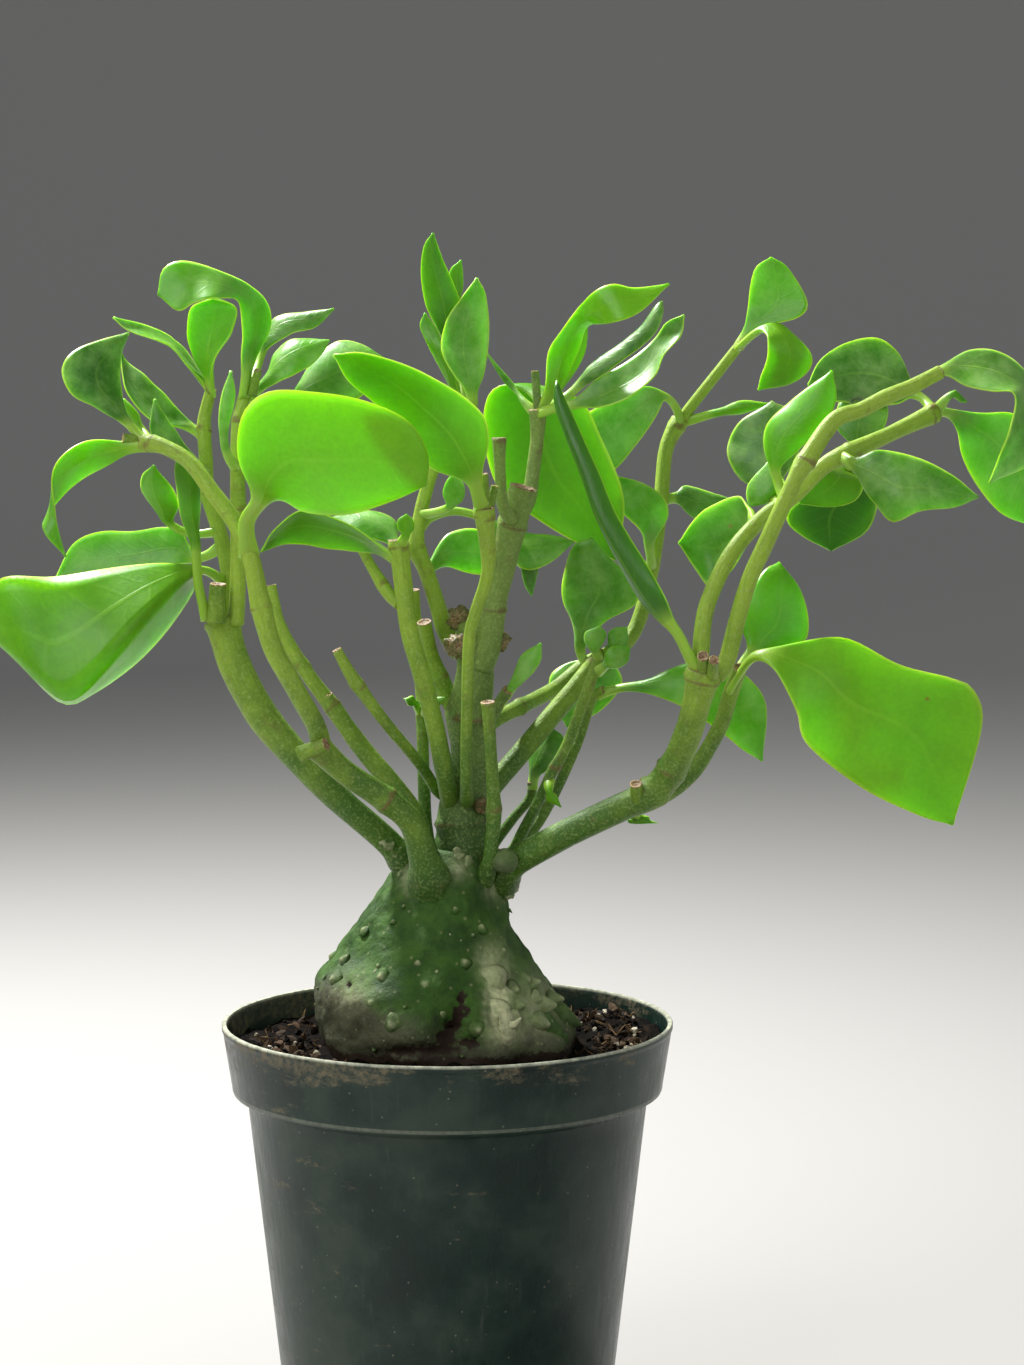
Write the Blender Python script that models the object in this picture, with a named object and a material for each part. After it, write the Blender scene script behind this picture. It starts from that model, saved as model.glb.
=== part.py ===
"""A potted caudex plant: a plastic nursery pot, its soil, and a plant with leafy and cut stems.

Metres, +Z up. The origin is the centre of the pot's flat underside, and -Y faces the viewer.
"""

import math
import random

import bpy
from mathutils import Vector

MM = 0.001
# Routes are given in mm as (across, up, toward): across and up are read in the upright plane
# through the pot's axis, and toward slides the point along the line of sight to the viewer.
VIEWER = (22.9, 1130.0, 370.2)

POT_HEIGHT = 145.0
RIM_RADIUS = 80.0
BASE_RADIUS = 57.5
LIP_HEIGHT = 23.0
WALL = 1.3
DRAIN_HOLES, DRAIN_RING, DRAIN_RADIUS = 8, 47.0, 4.5
POT_SIDES = 36

SOIL_LEVEL = 136.0
GAP = 0.35

# height, radius and sideways shift of the caudex
CAUDEX_PROFILE = [(114, 21, 0), (118, 33, 0), (126, 41, -0.5), (139, 44, -0.5), (149, 43.7, -2.6),
                  (159, 40.8, -6.2), (171.5, 31.8, -5.3), (186, 24.7, -3.2), (200, 18.2, 0), (207, 12.5, 1)]
CAUDEX_ROUND, CAUDEX_UP = 30, 12
# lobes and hollows of the caudex: angle from the right toward the viewer, height, spreads, amount
SWELLS = [(84, 149, 8, 9, -5.5), (62, 141, 12, 10, 3.0), (33, 138, 13, 9, 4.5), (150, 146, 16, 14, 2.0),
          (112, 152, 20, 12, 1.5), (9, 144, 9, 7, 2.4), (215, 142, 20, 12, 3.0), (290, 139, 18, 12, 4.0)]
# warts the viewer sees: across, up, radius
WARTS = [(11.9, 178.3, 1.4), (2.7, 184.8, 1.0), (-8.0, 174.0, 1.0), (-29.6, 177.2, 1.3),
         (19.4, 169.7, 1.6), (17.6, 160.3, 2.6), (-23.6, 160.3, 1.6), (-8.0, 157.5, 1.5),
         (-2.3, 147.4, 1.5), (-27.2, 151.0, 1.3), (-37.1, 166.5, 1.5), (-40.3, 159.3, 2.0),
         (6.2, 165.7, 1.3), (-10.5, 165.4, 1.3), (-19.8, 143.1, 2.0), (24.0, 155.7, 1.8),
         (28.2, 159.3, 1.8), (32.1, 152.1, 1.8), (18.6, 147.7, 2.4), (23.3, 143.4, 2.4),
         (10.8, 141.2, 1.6), (0.9, 175.4, 1.0)]
BACK_WARTS = 14

TRUNK_LINE = [(6.6, 198.0, 0), (6.3, 209.4, 0), (5.6, 221.5, 0), (8.8, 239.3, 0), (8.1, 253.9, 1.5),
              (9.9, 268.7, 1.6), (9.2, 279.7, 1.6), (7.8, 286.7, 0)]
TRUNK_RADII = [9.4, 8.8, 8.3, 7.7, 7.9, 6.6, 5.9, 4.2]

WIDE_LEAF = 28.0
# blade thickness, the share of it left at the edges, and the stalk's width and thickness
LEAF_THICK, EDGE_THICK = 1.0, 0.65
STALK_WIDE, STALK_THICK = 3.2, 2.8
STEM_STEP = 17.0

COLOURS = {"plastic": (0.013, 0.038, 0.027), "soil": (0.022, 0.013, 0.008), "caudex": (0.10, 0.18, 0.05),
           "bark": (0.24, 0.36, 0.13), "stem": (0.28, 0.42, 0.12), "leaf": (0.10, 0.30, 0.02)}


def clear_scene():
    for obj in list(bpy.data.objects):
        bpy.data.objects.remove(obj, do_unlink=True)


def material(name, rough):
    made = bpy.data.materials.new(name)
    made.use_nodes = True
    shader = made.node_tree.nodes["Principled BSDF"]
    shader.inputs["Base Color"].default_value = (*COLOURS[name], 1)
    shader.inputs["Roughness"].default_value = rough
    shader.inputs["Metallic"].default_value = 0.0
    return made


def solid(name, points, faces):
    """A mesh object from points in mm."""
    mesh = bpy.data.meshes.new(name)
    mesh.from_pydata([tuple(c * MM for c in p) for p in points], [], faces)
    mesh.update()
    made = bpy.data.objects.new(name, mesh)
    bpy.context.scene.collection.objects.link(made)
    return made


def at(point):
    """The place in mm of a route point."""
    across, up, toward = point
    part = toward / VIEWER[1]
    return Vector((across + (VIEWER[0] - across) * part, -toward, up + (VIEWER[2] - up) * part))


def smooth_line(points, steps=12):
    """Closely spaced places along the smooth line through the points, and the index of each point in it."""
    if len(points) == 2:
        points = [points[0], points[0].lerp(points[1], 0.5), points[1]]
    ends = [points[0] * 2 - points[1]] + list(points) + [points[-1] * 2 - points[-2]]
    line = []
    for i in range(len(points) - 1):
        p0, p1, p2, p3 = ends[i:i + 4]
        for j in range(steps):
            t = j / steps
            line.append(0.5 * (2 * p1 + (p2 - p0) * t + (2 * p0 - 5 * p1 + 4 * p2 - p3) * t * t
                               + (3 * p1 - p0 - 3 * p2 + p3) * t ** 3))
    line.append(points[-1].copy())
    return line


def walk(line):
    """Distances along the line."""
    run = [0.0]
    for a, b in zip(line, line[1:]):
        run.append(run[-1] + (b - a).length)
    return run


def pick(line, run, distance):
    """The place at a distance along the line, and its index with the fraction."""
    distance = min(max(distance, 0.0), run[-1])
    i = max(k for k in range(len(run) - 1) if run[k] <= distance) if distance > 0 else 0
    f = (distance - run[i]) / max(run[i + 1] - run[i], 1e-9)
    return line[i].lerp(line[i + 1], f), i + f


def ring_frames(places):
    """Two directions square to the line at each place, carried along it without turning."""
    tangents = [(places[min(i + 1, len(places) - 1)] - places[max(i - 1,
            0)]).normalized() for i in range(len(places))]
    side = tangents[0].orthogonal().normalized()
    frames = []
    for tangent in tangents:
        side = (side - tangent * side.dot(tangent)).normalized()
        frames.append((side, tangent.cross(side)))
    return frames


def tube(places, radii, sides):
    """A closed round bar through the places."""
    points, faces = [], []
    for place, radius, (u, v) in zip(places, radii, ring_frames(places)):
        for k in range(sides):
            turn = 2 * math.pi * k / sides
            points.append(place + (u * math.cos(turn) + v * math.sin(turn)) * radius)
    for i in range(len(places) - 1):
        for k in range(sides):
            a, b = i * sides + k, i * sides + (k + 1) % sides
            faces += [(a, b, b + sides), (a, b + sides, a + sides)]
    last = (len(places) - 1) * sides
    faces.append(tuple(reversed(range(sides))))
    faces.append(tuple(range(last, last + sides)))
    return solid("bar", points, faces)


def stem(route, radii, rings=(), sides=6, grow=0.0):
    """A stem along the route, with a slightly raised ring at each given share of its length."""
    points = [at(p) for p in route]
    line = smooth_line(points)
    run = walk(line)
    per = (len(line) - 1) / (len(radii) - 1)
    count = max(2, round(run[-1] / STEM_STEP))
    stops = {run[-1] * i / count: 1.0 for i in range(count + 1)}
    for share in rings:
        middle = run[-1] * share
        stops = {d: s for d, s in stops.items() if abs(d - middle) > 3.0 or d in (0.0, run[-1])}
        for offset, swell in ((-1.6, 1.0), (0.0, 1.18), (1.6, 1.0)):
            if 0.4 < middle + offset < run[-1] - 0.4:
                stops[middle + offset] = swell
    places, sizes = [], []
    for distance in sorted(stops):
        place, index = pick(line, run, distance)
        k = min(int(index / per), len(radii) - 2)
        f = index / per - k
        places.append(place)
        sizes.append((radii[k] + (radii[k + 1] - radii[k]) * f) * stops[distance] + grow)
    return tube(places, sizes, sides)


def stub(route, radius):
    """A short cut or broken side stem."""
    return tube([at(p) for p in route], [radius, radius * 0.86], 5)


def knob(point, radius):
    """A rough lump of dried callus."""
    centre, points, faces = at(point), [], []
    levels, sides = 3, 5
    points.append(centre + Vector((0, 0, radius)))
    for i in range(levels):
        lean = math.pi * (i + 1) / (levels + 1)
        for k in range(sides):
            turn = 2 * math.pi * (k + 0.5 * i) / sides
            rough = radius * (1 + 0.13 * math.sin(3.1 * k + 1.7 * i))
            points.append(centre + Vector((math.sin(lean) * math.cos(turn), math.sin(lean) * math.sin(turn),
                                           math.cos(lean))) * rough)
    points.append(centre - Vector((0, 0, radius)))
    for k in range(sides):
        n = (k + 1) % sides
        faces.append((0, 1 + k, 1 + n))
        faces.append((len(points) - 1, 1 + (levels - 1) * sides + n, 1 + (levels - 1) * sides + k))
        for i in range(levels - 1):
            a, b = 1 + i * sides + k, 1 + i * sides + n
            faces += [(a, a + sides, b), (b, a + sides, b + sides)]
    return solid("knob", points, faces)


def edge_places(points, count):
    line = smooth_line([at(p) for p in points])
    run = walk(line)
    return [pick(line, run, run[-1] * i / count)[0] for i in range(count + 1)]


def leaf(petiole, left, right, tip, cup=0.0, mid=None):
    """A leaf in one piece: a stalk that flattens into a blade between two edges, from its end to the tip."""
    base = petiole[-1]
    long = 3 if len(left) < 3 else 4 + (len(left) > 3) + (len(left) > 4)
    a, b = edge_places([base, *left, tip], long), edge_places([base, *right, tip], long)
    wide = 4 if mid or max((p - q).length for p, q in zip(a, b)) > WIDE_LEAF else 2
    m = edge_places([base, *mid, tip], long) if mid else None
    for i, beside, least in ((0, 1, STALK_WIDE), (long, long - 1, 1.2)):
        near = (a[beside] - b[beside]).normalized() * least
        centre = (a[i] + b[i]) / 2
        a[i], b[i] = centre + near / 2, centre - near / 2
    rows, thick = [], []
    for i in range(long + 1):
        along = a[min(i + 1, long)] + b[min(i + 1, long)] - a[max(i - 1, 0)] - b[max(i - 1, 0)]
        lift = along.cross(a[i] - b[i]).normalized() * cup * math.sin(math.pi * i / long) ** 0.6
        row = []
        for j in range(wide + 1):
            s = 2 * j / wide - 1
            if m:
                spine = m[i] if 0 < i < long else (a[i] + b[i]) / 2
                row.append((b[i] if s > 0 else a[i]).lerp(spine, 1 - abs(s)))
            else:
                row.append(a[i].lerp(b[i], j / wide) + lift * (1 - s * s))
        rows.append(row)
        thick.append((STALK_THICK, 1.3)[i] if i < 2 else LEAF_THICK)
    line = smooth_line([at(p) for p in petiole])
    run = walk(line)
    count = max(1, round(run[-1] / 8))
    side, ahead = (a[0] - b[0]).normalized(), (a[0] + b[0]) / 2
    for k in reversed(range(count)):
        place = pick(line, run, run[-1] * k / count)[0]
        tangent = (ahead - place).normalized()
        side, ahead = (side - tangent * side.dot(tangent)).normalized(), place
        rows.insert(0, [place + side * STALK_WIDE * (0.5 - j / wide) for j in range(wide + 1)])
        thick.insert(0, STALK_THICK)
    points, faces, high = [], [], len(rows) - 1
    back = len(rows) * (wide + 1)
    for face in (1, -1):
        for i in range(high + 1):
            for j in range(wide + 1):
                near = min(i, high - 1)
                up = rows[near + 1][j] - rows[max(near - 1, 0)][j]
                over = rows[near][min(j + 1, wide)] - rows[near][max(j - 1, 0)]
                depth = thick[i] * (1.0 if 0 < j < wide else EDGE_THICK)
                points.append(rows[i][j] + over.cross(up).normalized() * face * depth / 2)
    for i in range(high):
        for j in range(wide):
            p = i * (wide + 1) + j
            q, r, s = p + 1, p + wide + 2, p + wide + 1
            for corner in ((p, q, r), (p, r, s)):
                faces += [corner, tuple(v + back for v in reversed(corner))]
    border = list(range(wide)) + [i * (wide + 1) + wide for i in range(high)]
    border += [high * (wide + 1) + j for j in range(wide, 0, -1)] + [i * (wide + 1) for i in range(high, 0,
            -1)]
    for p, q in zip(border, border[1:] + border[:1]):
        faces += [(q, p, p + back), (q, p + back, q + back)]
    return [solid("leaf", points, faces)]


def boolean(target, others, operation):
    """Joins or cuts the target with the other objects, which a union then removes."""
    group = bpy.data.collections.new("operands")
    bpy.context.scene.collection.children.link(group)
    for other in others:
        for home in list(other.users_collection):
            home.objects.unlink(other)
        group.objects.link(other)
    step = target.modifiers.new("boolean", "BOOLEAN")
    step.operation, step.operand_type, step.collection, step.solver = operation, "COLLECTION", group, "EXACT"
    bpy.context.view_layer.objects.active = target
    bpy.ops.object.modifier_apply(modifier=step.name)
    for other in others:
        if operation == "UNION":
            bpy.data.objects.remove(other, do_unlink=True)
        else:
            bpy.context.scene.collection.objects.link(other)
            group.objects.unlink(other)
    bpy.data.collections.remove(group)


def keep_main_body(target):
    """Drops the loose crumbs that a Boolean can leave."""
    mesh = target.data
    group = list(range(len(mesh.vertices)))
    def root(v):
        while group[v] != v:
            group[v] = group[group[v]]
            v = group[v]
        return v
    for edge in mesh.edges:
        group[root(edge.vertices[0])] = root(edge.vertices[1])
    homes = [root(v) for v in range(len(group))]
    main_home = max(set(homes), key=homes.count)
    parts = [p for p in mesh.polygons if homes[p.vertices[0]] == main_home]
    if len(parts) < len(mesh.polygons):
        points = [v.co / MM for v in mesh.vertices]
        used = sorted({v for p in parts for v in p.vertices})
        index = {v: k for k, v in enumerate(used)}
        fresh = bpy.data.meshes.new("body")
        fresh.from_pydata([tuple(points[v] * MM) for v in used], [],
                          [[index[v] for v in p.vertices] for p in parts])
        target.data = fresh


def fuse(name, pieces, cutters=()):
    """One body from the pieces, cut clear of its neighbours."""
    boolean(pieces[0], pieces[1:], "UNION")
    if cutters:
        boolean(pieces[0], list(cutters), "DIFFERENCE")
    keep_main_body(pieces[0])
    pieces[0].name = name
    return pieces[0]


def helper(made):
    made.hide_render, made.display_type = True, "WIRE"
    return made


def lathe(name, profile, sides):
    """A turned solid. The profile of (radius, height) starts and ends on the axis."""
    points, faces = [Vector((0, 0, profile[0][1]))], []
    for radius, height in profile[1:-1]:
        points += [Vector((radius * math.cos(2 * math.pi * k / sides),
                           radius * math.sin(2 * math.pi * k / sides), height))
                   for k in range(sides)]
    points.append(Vector((0, 0, profile[-1][1])))
    rings = len(profile) - 2
    for k in range(sides):
        n = (k + 1) % sides
        faces.append((0, 1 + n, 1 + k))
        for i in range(rings - 1):
            p, q = 1 + i * sides + k, 1 + i * sides + n
            faces += [(p, q, q + sides), (p, q + sides, p + sides)]
        faces.append((len(points) - 1, 1 + (rings - 1) * sides + k, 1 + (rings - 1) * sides + n))
    return solid(name, points, faces)


def wall_radius(height):
    """Outer radius of the pot's wall at a height."""
    lip = POT_HEIGHT - LIP_HEIGHT
    if height >= lip:
        return 76.4 + (RIM_RADIUS - 76.4) * (height - lip) / LIP_HEIGHT
    return BASE_RADIUS + (71.2 - BASE_RADIUS) * height / (lip - 3)


def pot():
    """The tapered pot with its wide lip, flat base and ring of drain holes."""
    lip, top = POT_HEIGHT - LIP_HEIGHT, POT_HEIGHT
    profile = [(0, 0), (BASE_RADIUS - 1.5, 0), (BASE_RADIUS, 1.5)]
    profile += [(wall_radius(h), h) for h in (45, 85)] + [(71.2, lip - 3), (75.6, lip - 1.2), (76.4, lip)]
    profile += [(RIM_RADIUS - 0.4, top - 2.2), (RIM_RADIUS, top - 1.8), (RIM_RADIUS, top - 0.4),
                (RIM_RADIUS - 0.5, top)]
    profile += [(RIM_RADIUS - 1.7, top), (RIM_RADIUS - 2.0, top - 1.8), (76.4 - WALL, lip + 0.6),
                (71.2 - WALL, lip - 2.2)]
    profile += [(wall_radius(h) - WALL, h) for h in (85, 45)] + [(BASE_RADIUS - WALL, 1.8), (0, 1.6)]
    made = lathe("pot", profile, POT_SIDES)
    drills = []
    for k in range(DRAIN_HOLES):
        turn = 2 * math.pi * (k + 0.5) / DRAIN_HOLES
        foot = Vector((DRAIN_RING * math.cos(turn), DRAIN_RING * math.sin(turn), -4))
        drills.append(tube([foot, foot + Vector((0, 0, 10))], [DRAIN_RADIUS] * 2, 10))
    boolean(made, drills, "DIFFERENCE")
    for drill in drills:
        bpy.data.objects.remove(drill, do_unlink=True)
    return made


def soil_height(x, y):
    """The uneven top of the soil, higher at the back right and the front left."""
    level = SOIL_LEVEL + 4.2 * math.exp(-((x - 58) ** 2 + (y - 22) ** 2) / 520)
    level += 3.0 * math.exp(-((x + 62) ** 2 + (y + 14) ** 2) / 420)
    level += 2.4 * math.exp(-(x * x + (y + 58) ** 2) / 900)
    return level + 0.8 * math.sin(0.21 * x + 0.6) * math.cos(0.17 * y) + 0.5 * math.sin(0.43 * y - 0.31 * x)


def soil(cut):
    """The soil that fills the pot, with the hollow that the caudex sits in."""
    points, faces, sides, rings = [], [], POT_SIDES, 5
    foot = [(BASE_RADIUS - WALL - GAP - 0.1, 2.1), (wall_radius(45) - WALL - GAP, 45),
            (wall_radius(85) - WALL - GAP, 85),
            (71.2 - WALL - GAP - 0.1, POT_HEIGHT - LIP_HEIGHT - 2.4), (76.4 - WALL - GAP - 0.2,
                    POT_HEIGHT - LIP_HEIGHT + 0.8)]
    points.append(Vector((0, 0, 2.1)))
    for radius, height in foot:
        points += [Vector((radius * math.cos(2 * math.pi * k / sides),
                           radius * math.sin(2 * math.pi * k / sides), height))
                   for k in range(sides)]
    edge = wall_radius(132) - WALL - GAP - 0.3
    for i in range(rings):
        radius = edge * (1 - i / rings)
        for k in range(sides):
            x, y = radius * math.cos(2 * math.pi * k / sides), radius * math.sin(2 * math.pi * k / sides)
            points.append(Vector((x, y, soil_height(x, y) if i else max(soil_height(x, y) - 1.0, 133))))
    points.append(Vector((0, 0, soil_height(0, 0))))
    total = len(foot) + rings
    for k in range(sides):
        n = (k + 1) % sides
        faces.append((0, 1 + n, 1 + k))
        for i in range(total - 1):
            p, q = 1 + i * sides + k, 1 + i * sides + n
            faces += [(p, q, q + sides), (p, q + sides, p + sides)]
        faces.append((len(points) - 1, 1 + (total - 1) * sides + k, 1 + (total - 1) * sides + n))
    made = solid("soil", points, faces)
    boolean(made, [cut], "DIFFERENCE")
    return made


def caudex_place(turn, height, grow=0.0):
    """A place on the caudex: turn in radians from the right toward the viewer, and its height."""
    profile = CAUDEX_PROFILE
    height = min(max(height, profile[0][0]), profile[-1][0])
    i = max(k for k in range(len(profile) - 1) if profile[k][0] <= height)
    (h0, r0, s0), (h1, r1, s1) = profile[i], profile[i + 1]
    f = (height - h0) / (h1 - h0)
    radius, shift = r0 + (r1 - r0) * f, s0 + (s1 - s0) * f
    fade = abs(math.sin(turn)) ** 0.7 * min(1.0, (207 - height) / 30)
    waves = 0.03 * math.sin(3 * turn + 0.6 + height / 18) + 0.02 * math.sin(5 * turn - height / 11)
    radius *= 1 + fade * waves
    for angle, level, spread, rise, amount in SWELLS:
        off = (math.degrees(turn) - angle + 180) % 360 - 180
        radius += amount * math.exp(-(off / spread) ** 2 - ((height - level) / rise) ** 2)
    radius += grow
    return Vector((shift + radius * math.cos(turn), -radius * math.sin(turn), height))


def on_caudex(across, up):
    """The place on the caudex's near side that the line of sight through a plane point meets."""
    toward = 30.0
    for _ in range(12):
        seen = at((across, up, toward))
        ring = [caudex_place(math.radians(t), seen.z) for t in range(0, 181, 2)]
        toward = -min(ring, key=lambda p: abs(p.x - seen.x)).y
    return at((across, up, toward))


def caudex_lump(grow=0.0):
    points, faces, round_, up = [], [], CAUDEX_ROUND, CAUDEX_UP
    low, high = CAUDEX_PROFILE[0][0], CAUDEX_PROFILE[-1][0]
    points.append(Vector((0, 0, low - 1.5 - grow)))
    for i in range(up + 1):
        height = low + (high - low) * i / up
        points += [caudex_place(2 * math.pi * k / round_, height, grow) for k in range(round_)]
    points.append(Vector((CAUDEX_PROFILE[-1][2], 0, high + 2.0 + grow)))
    for k in range(round_):
        n = (k + 1) % round_
        faces.append((0, 1 + k, 1 + n))
        for i in range(up):
            p, q = 1 + i * round_ + k, 1 + i * round_ + n
            faces += [(p, p + round_, q + round_), (p, q + round_, q)]
        faces.append((len(points) - 1, 1 + up * round_ + n, 1 + up * round_ + k))
    return solid("caudex", points, faces)


def wart(place, away, radius):
    """A low pointed wart, sunk into the surface."""
    u = away.orthogonal().normalized()
    v = away.cross(u)
    rings = [(-0.8, 0.9), (0.45, 0.8)]
    points, faces, sides = [place - away * radius * 1.2], [], 5
    for rise, size in rings:
        for k in range(sides):
            out = u * math.cos(0.4 * math.pi * k) + v * math.sin(0.4 * math.pi * k)
            points.append(place + (away * rise + out * size) * radius)
    points.append(place + away * radius)
    for k in range(sides):
        n = (k + 1) % sides
        p, q = 1 + k, 1 + n
        faces += [(0, q, p), (p, q, q + sides), (p, q + sides, p + sides), (len(points) - 1, p + sides,
                q + sides)]
    return solid("wart", points, faces)


def caudex():
    """The swollen, warty base of the plant, with the rough knobs of its crown."""
    lump = caudex_lump()
    chance = random.Random(5)
    middle = Vector((-2, 0, 150))
    warts = []
    for across, up, radius in WARTS:
        place = on_caudex(across, up)
        warts.append(wart(place, (place - middle).normalized(), radius))
    for k in range(BACK_WARTS):
        place = caudex_place(math.pi * (1.04 + 0.92 * ((k * 0.618) % 1)), 143 + 30 * chance.random())
        warts.append(wart(place, (place - middle).normalized(), 1.3 + 0.9 * chance.random()))
    boolean(lump, warts, "UNION")
    return lump


def outer_left_stem():
    """The thick stem on the far left, its two shoots, and their leaves."""
    made = [stem([(-13.2, 199.4, 2), (-21.7, 209.4, 4), (-37.9, 223.7, 6.4), (-51.9, 237.9, 7.6),
                  (-65.2, 253.9, 6), (-74.6, 271.6, 3.3), (-79.0, 287.4, 0)],
                 [4.4, 4.6, 4.8, 5.2, 5.6, 5.8, 5.7], rings=[0.99])]
    made += [stem([(-76.6, 286.0, -4.9), (-76.5, 301.5, -9.9), (-78.8, 315.6, -13.2), (-83.6, 332.0, -16.5),
                   (-84.2, 343.6, -16.5), (-84.7, 356.8, -19.8),
                   (-82.2, 368.3, -19.8)], [2.9, 2.7, 2.7, 2.6, 2.5, 2.3, 2.0], rings=[0.55, 0.82])]
    made += [stem([(-74.1, 286.0, 3.3), (-73.3, 301.5, 6.6), (-73.1, 326.1, 6.6), (-72.9, 350.9, 6.6),
                   (-71.4, 362.4, 3.3), (-68.9, 372.1, 0)],
                  [2.9, 2.8, 2.7, 2.6, 2.3, 2.0], rings=[0.45, 0.8])]
    made += [stub([(-81.1, 286.7, 8.2), (-80.3, 300.1, 9.9)], 3.2),
             stub([(-67.9, 365.9, 4.9), (-65.7, 374.9, 6.6)], 1.5)]
    # the big leaf that hangs on the far left, folded along its lower side
    made += leaf([(-78.2, 300.8, -9.9), (-82.8, 304.0, -1.6), (-87.6, 306.1, 4.9)],
                 [(-99.6, 307.5, 9.9), (-119.2, 305.4, 16.5), (-137.9, 302.6, 21.4), (-155.1, 302.6, 21.4),
                  (-161.2, 295.2, 18.1)],
                 [(-88.4, 298.7, -6.6), (-94.5, 289.2, 0), (-108.0, 273.3, 9.9), (-124.0, 261.7, 16),
                  (-135.6, 258.1, 20.3), (-150.2, 271.9, 18.1)], (-163.1, 283.9, 13.2),
                 mid=[(-103.6, 291.7, 26.4), (-117.8, 275.1, 36.3), (-132.1, 259.5, 34.7), (-142.6, 264.8,
                         30.9), (-155.1, 276.9, 21.4)])
    # the leaf above it
    made += leaf([(-78.8, 313.8, -13.2), (-84.1, 309.9, -14.8), (-89.4, 308.5, -16.5)],
                 [(-92.8, 318.4, -19.8), (-100.1, 320.1, -23.1), (-109.6, 318.7, -26.4), (-121.5, 318.4,
                         -29.7), (-131.4, 313.8, -29.7)],
                 [(-97.1, 306.4, -19.8), (-111.2, 302.9, -21.4), (-125.3, 300.1, -23.1)], (-137.5, 301.9,
                         -26.4), cup=2)
    # the curled glossy leaf
    made += leaf([(-79.8, 318.4, -13.2), (-90.0, 317.7, -14.8), (-97.7, 321.2, -13.2)],
                 [(-101.5, 325.4, -13.2), (-106.3, 332.4, -13.2), (-106.6, 338.0, -9.9)], [(-94.1, 327.1,
                         -9.9), (-96.1, 334.1, -4.9), (-99.6, 338.0, -4.9)], (-102.4, 341.8, -1.6), cup=2)
    # the folded leaf that stands on the top ring
    made += leaf([(-84.3, 287.4, 8.2), (-87.3, 300.5, 9.9), (-87.9, 312.1, 8.2)],
                 [(-92.8, 322.6, 6.6), (-94.4, 333.1, 9.9), (-95.0, 341.5, 11.5)], [(-86.8, 321.9, 4.9),
                         (-86.4, 333.1, 8.2), (-88.7, 342.5, 9.9)], (-92.5, 346.3, 11.5), cup=3)
    # the small dark hooked leaf
    made += leaf([(-83.9, 338.7, -16.5), (-87.7, 342.2, -6.6), (-90.8, 346.0, 0)],
                 [(-98.5, 348.1, 1.6), (-103.3, 353.0, 1.6), (-102.9, 360.3, 0)], [(-93.2, 351.6, 1.6),
                         (-97.3, 357.5, 1.6), (-100.1, 361.7, 0)], (-101.8, 364.8, 0), cup=1)
    # the glossy leaf behind it
    made += leaf([(-84.4, 350.5, -18.1), (-86.2, 352.6, -19.8), (-88.9, 355.4, -19.8)],
                 [(-96.6, 364.5, -23.1), (-104.5, 372.5, -26.4), (-111.4, 378.0, -29.7)], [(-99.1, 355.8,
                         -13.2), (-105.7, 359.6, -13.2), (-111.5, 366.6, -16.5), (-113.2, 373.5, -23.1)],
                 (-113.5, 381.1, -29.7), cup=2)
    # the narrow leaf that points up and left
    made += leaf([(-82.2, 366.6, -19.8), (-82.5, 368.6, -19.8), (-83.9, 370.0, -19.8)],
                 [(-88.4, 378.0, -21.4), (-92.9, 383.9, -23.1), (-99.8, 388.4, -23.1), (-107.4, 391.2,
                         -21.4)], [(-89.8, 375.9, -14.8), (-95.7, 382.9, -14.8), (-103.3, 386.3, -14.8),
                                   (-111.6, 389.1, -18.1)],
                 (-116.1, 393.3, -19.8), cup=1)
    # the broad leaf behind the top one
    made += leaf([(-82.2, 365.9, -19.8), (-82.5, 369.3, -18.1), (-82.9, 371.4, -16.5)],
                 [(-87.7, 378.0, -19.8), (-90.4, 387.0, -19.8), (-88.9, 396.4, -16.5)], [(-80.7, 379.1,
                         -9.9), (-74.7, 388.4, -9.9), (-73.2, 396.4, -9.9)], (-81.2, 399.5, -9.9), cup=-2)
    # the top leaf: it rises, then folds over to the left
    made += leaf([(-70.7, 365.2, 3.3), (-70.3, 369.7, 4.9), (-69.6, 374.2, 4.9)],
                 [(-66.8, 379.1, 3.3), (-61.1, 390.5, -3.3), (-63.5, 400.2, 0), (-75.9, 407.8, 13.2),
                  (-90.9, 412.6, 18.1), (-98.5, 409.9, 19.8)],
                 [(-71.6, 378.4, 6.6), (-70.9, 387.0, 6.6), (-72.5, 398.5, 14.8), (-80.5, 399.9, 28),
                  (-87.9, 398.1, 28), (-93.5, 395.4, 24.8)], (-100.4, 400.9, 21.4))
    # the leaves to its right
    made += leaf([(-69.3, 369.3, -1.6), (-66.4, 374.9, -13.2), (-64.3, 381.1, -19.8)],
                 [(-62.1, 389.5, -23.1), (-58.6, 393.6, -23.1), (-49.2, 395.0, -21.4)], [(-60.8, 383.6,
                         -16.5), (-53.1, 387.7, -16.5), (-45.4, 389.8, -18.1)], (-39.1, 396.0,
                         -19.8), cup=1)
    made += leaf([(-70.0, 365.2, 1.6), (-67.9, 365.5, -3.3), (-65.4, 367.6, -4.9)],
                 [(-61.6, 374.2, -6.6), (-60.1, 380.4, -8.2), (-55.2, 385.0, -8.2), (-48.2, 385.7,
                         -8.2)], [(-59.8, 370.0, 0), (-53.2, 373.2, 1.6), (-47.6, 376.3, 0), (-43.4, 380.4,
                         -3.3)],
                 (-40.9, 385.0, -6.6), cup=2)
    made += leaf([(-71.1, 357.5, 6.6), (-64.5, 359.6, -13.2), (-53.9, 363.8, -23.1)],
                 [(-51.1, 370.7, -23.1), (-46.2, 378.4, -24.8), (-37.8, 385.0, -26.4), (-29.4, 383.6,
                         -26.4)], [(-44.9, 361.7, -16.5), (-33.7, 363.1, -16.5), (-24.6, 370.7, -19.8)],
                 (-22.1, 379.1, -24.8), cup=3)
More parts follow.
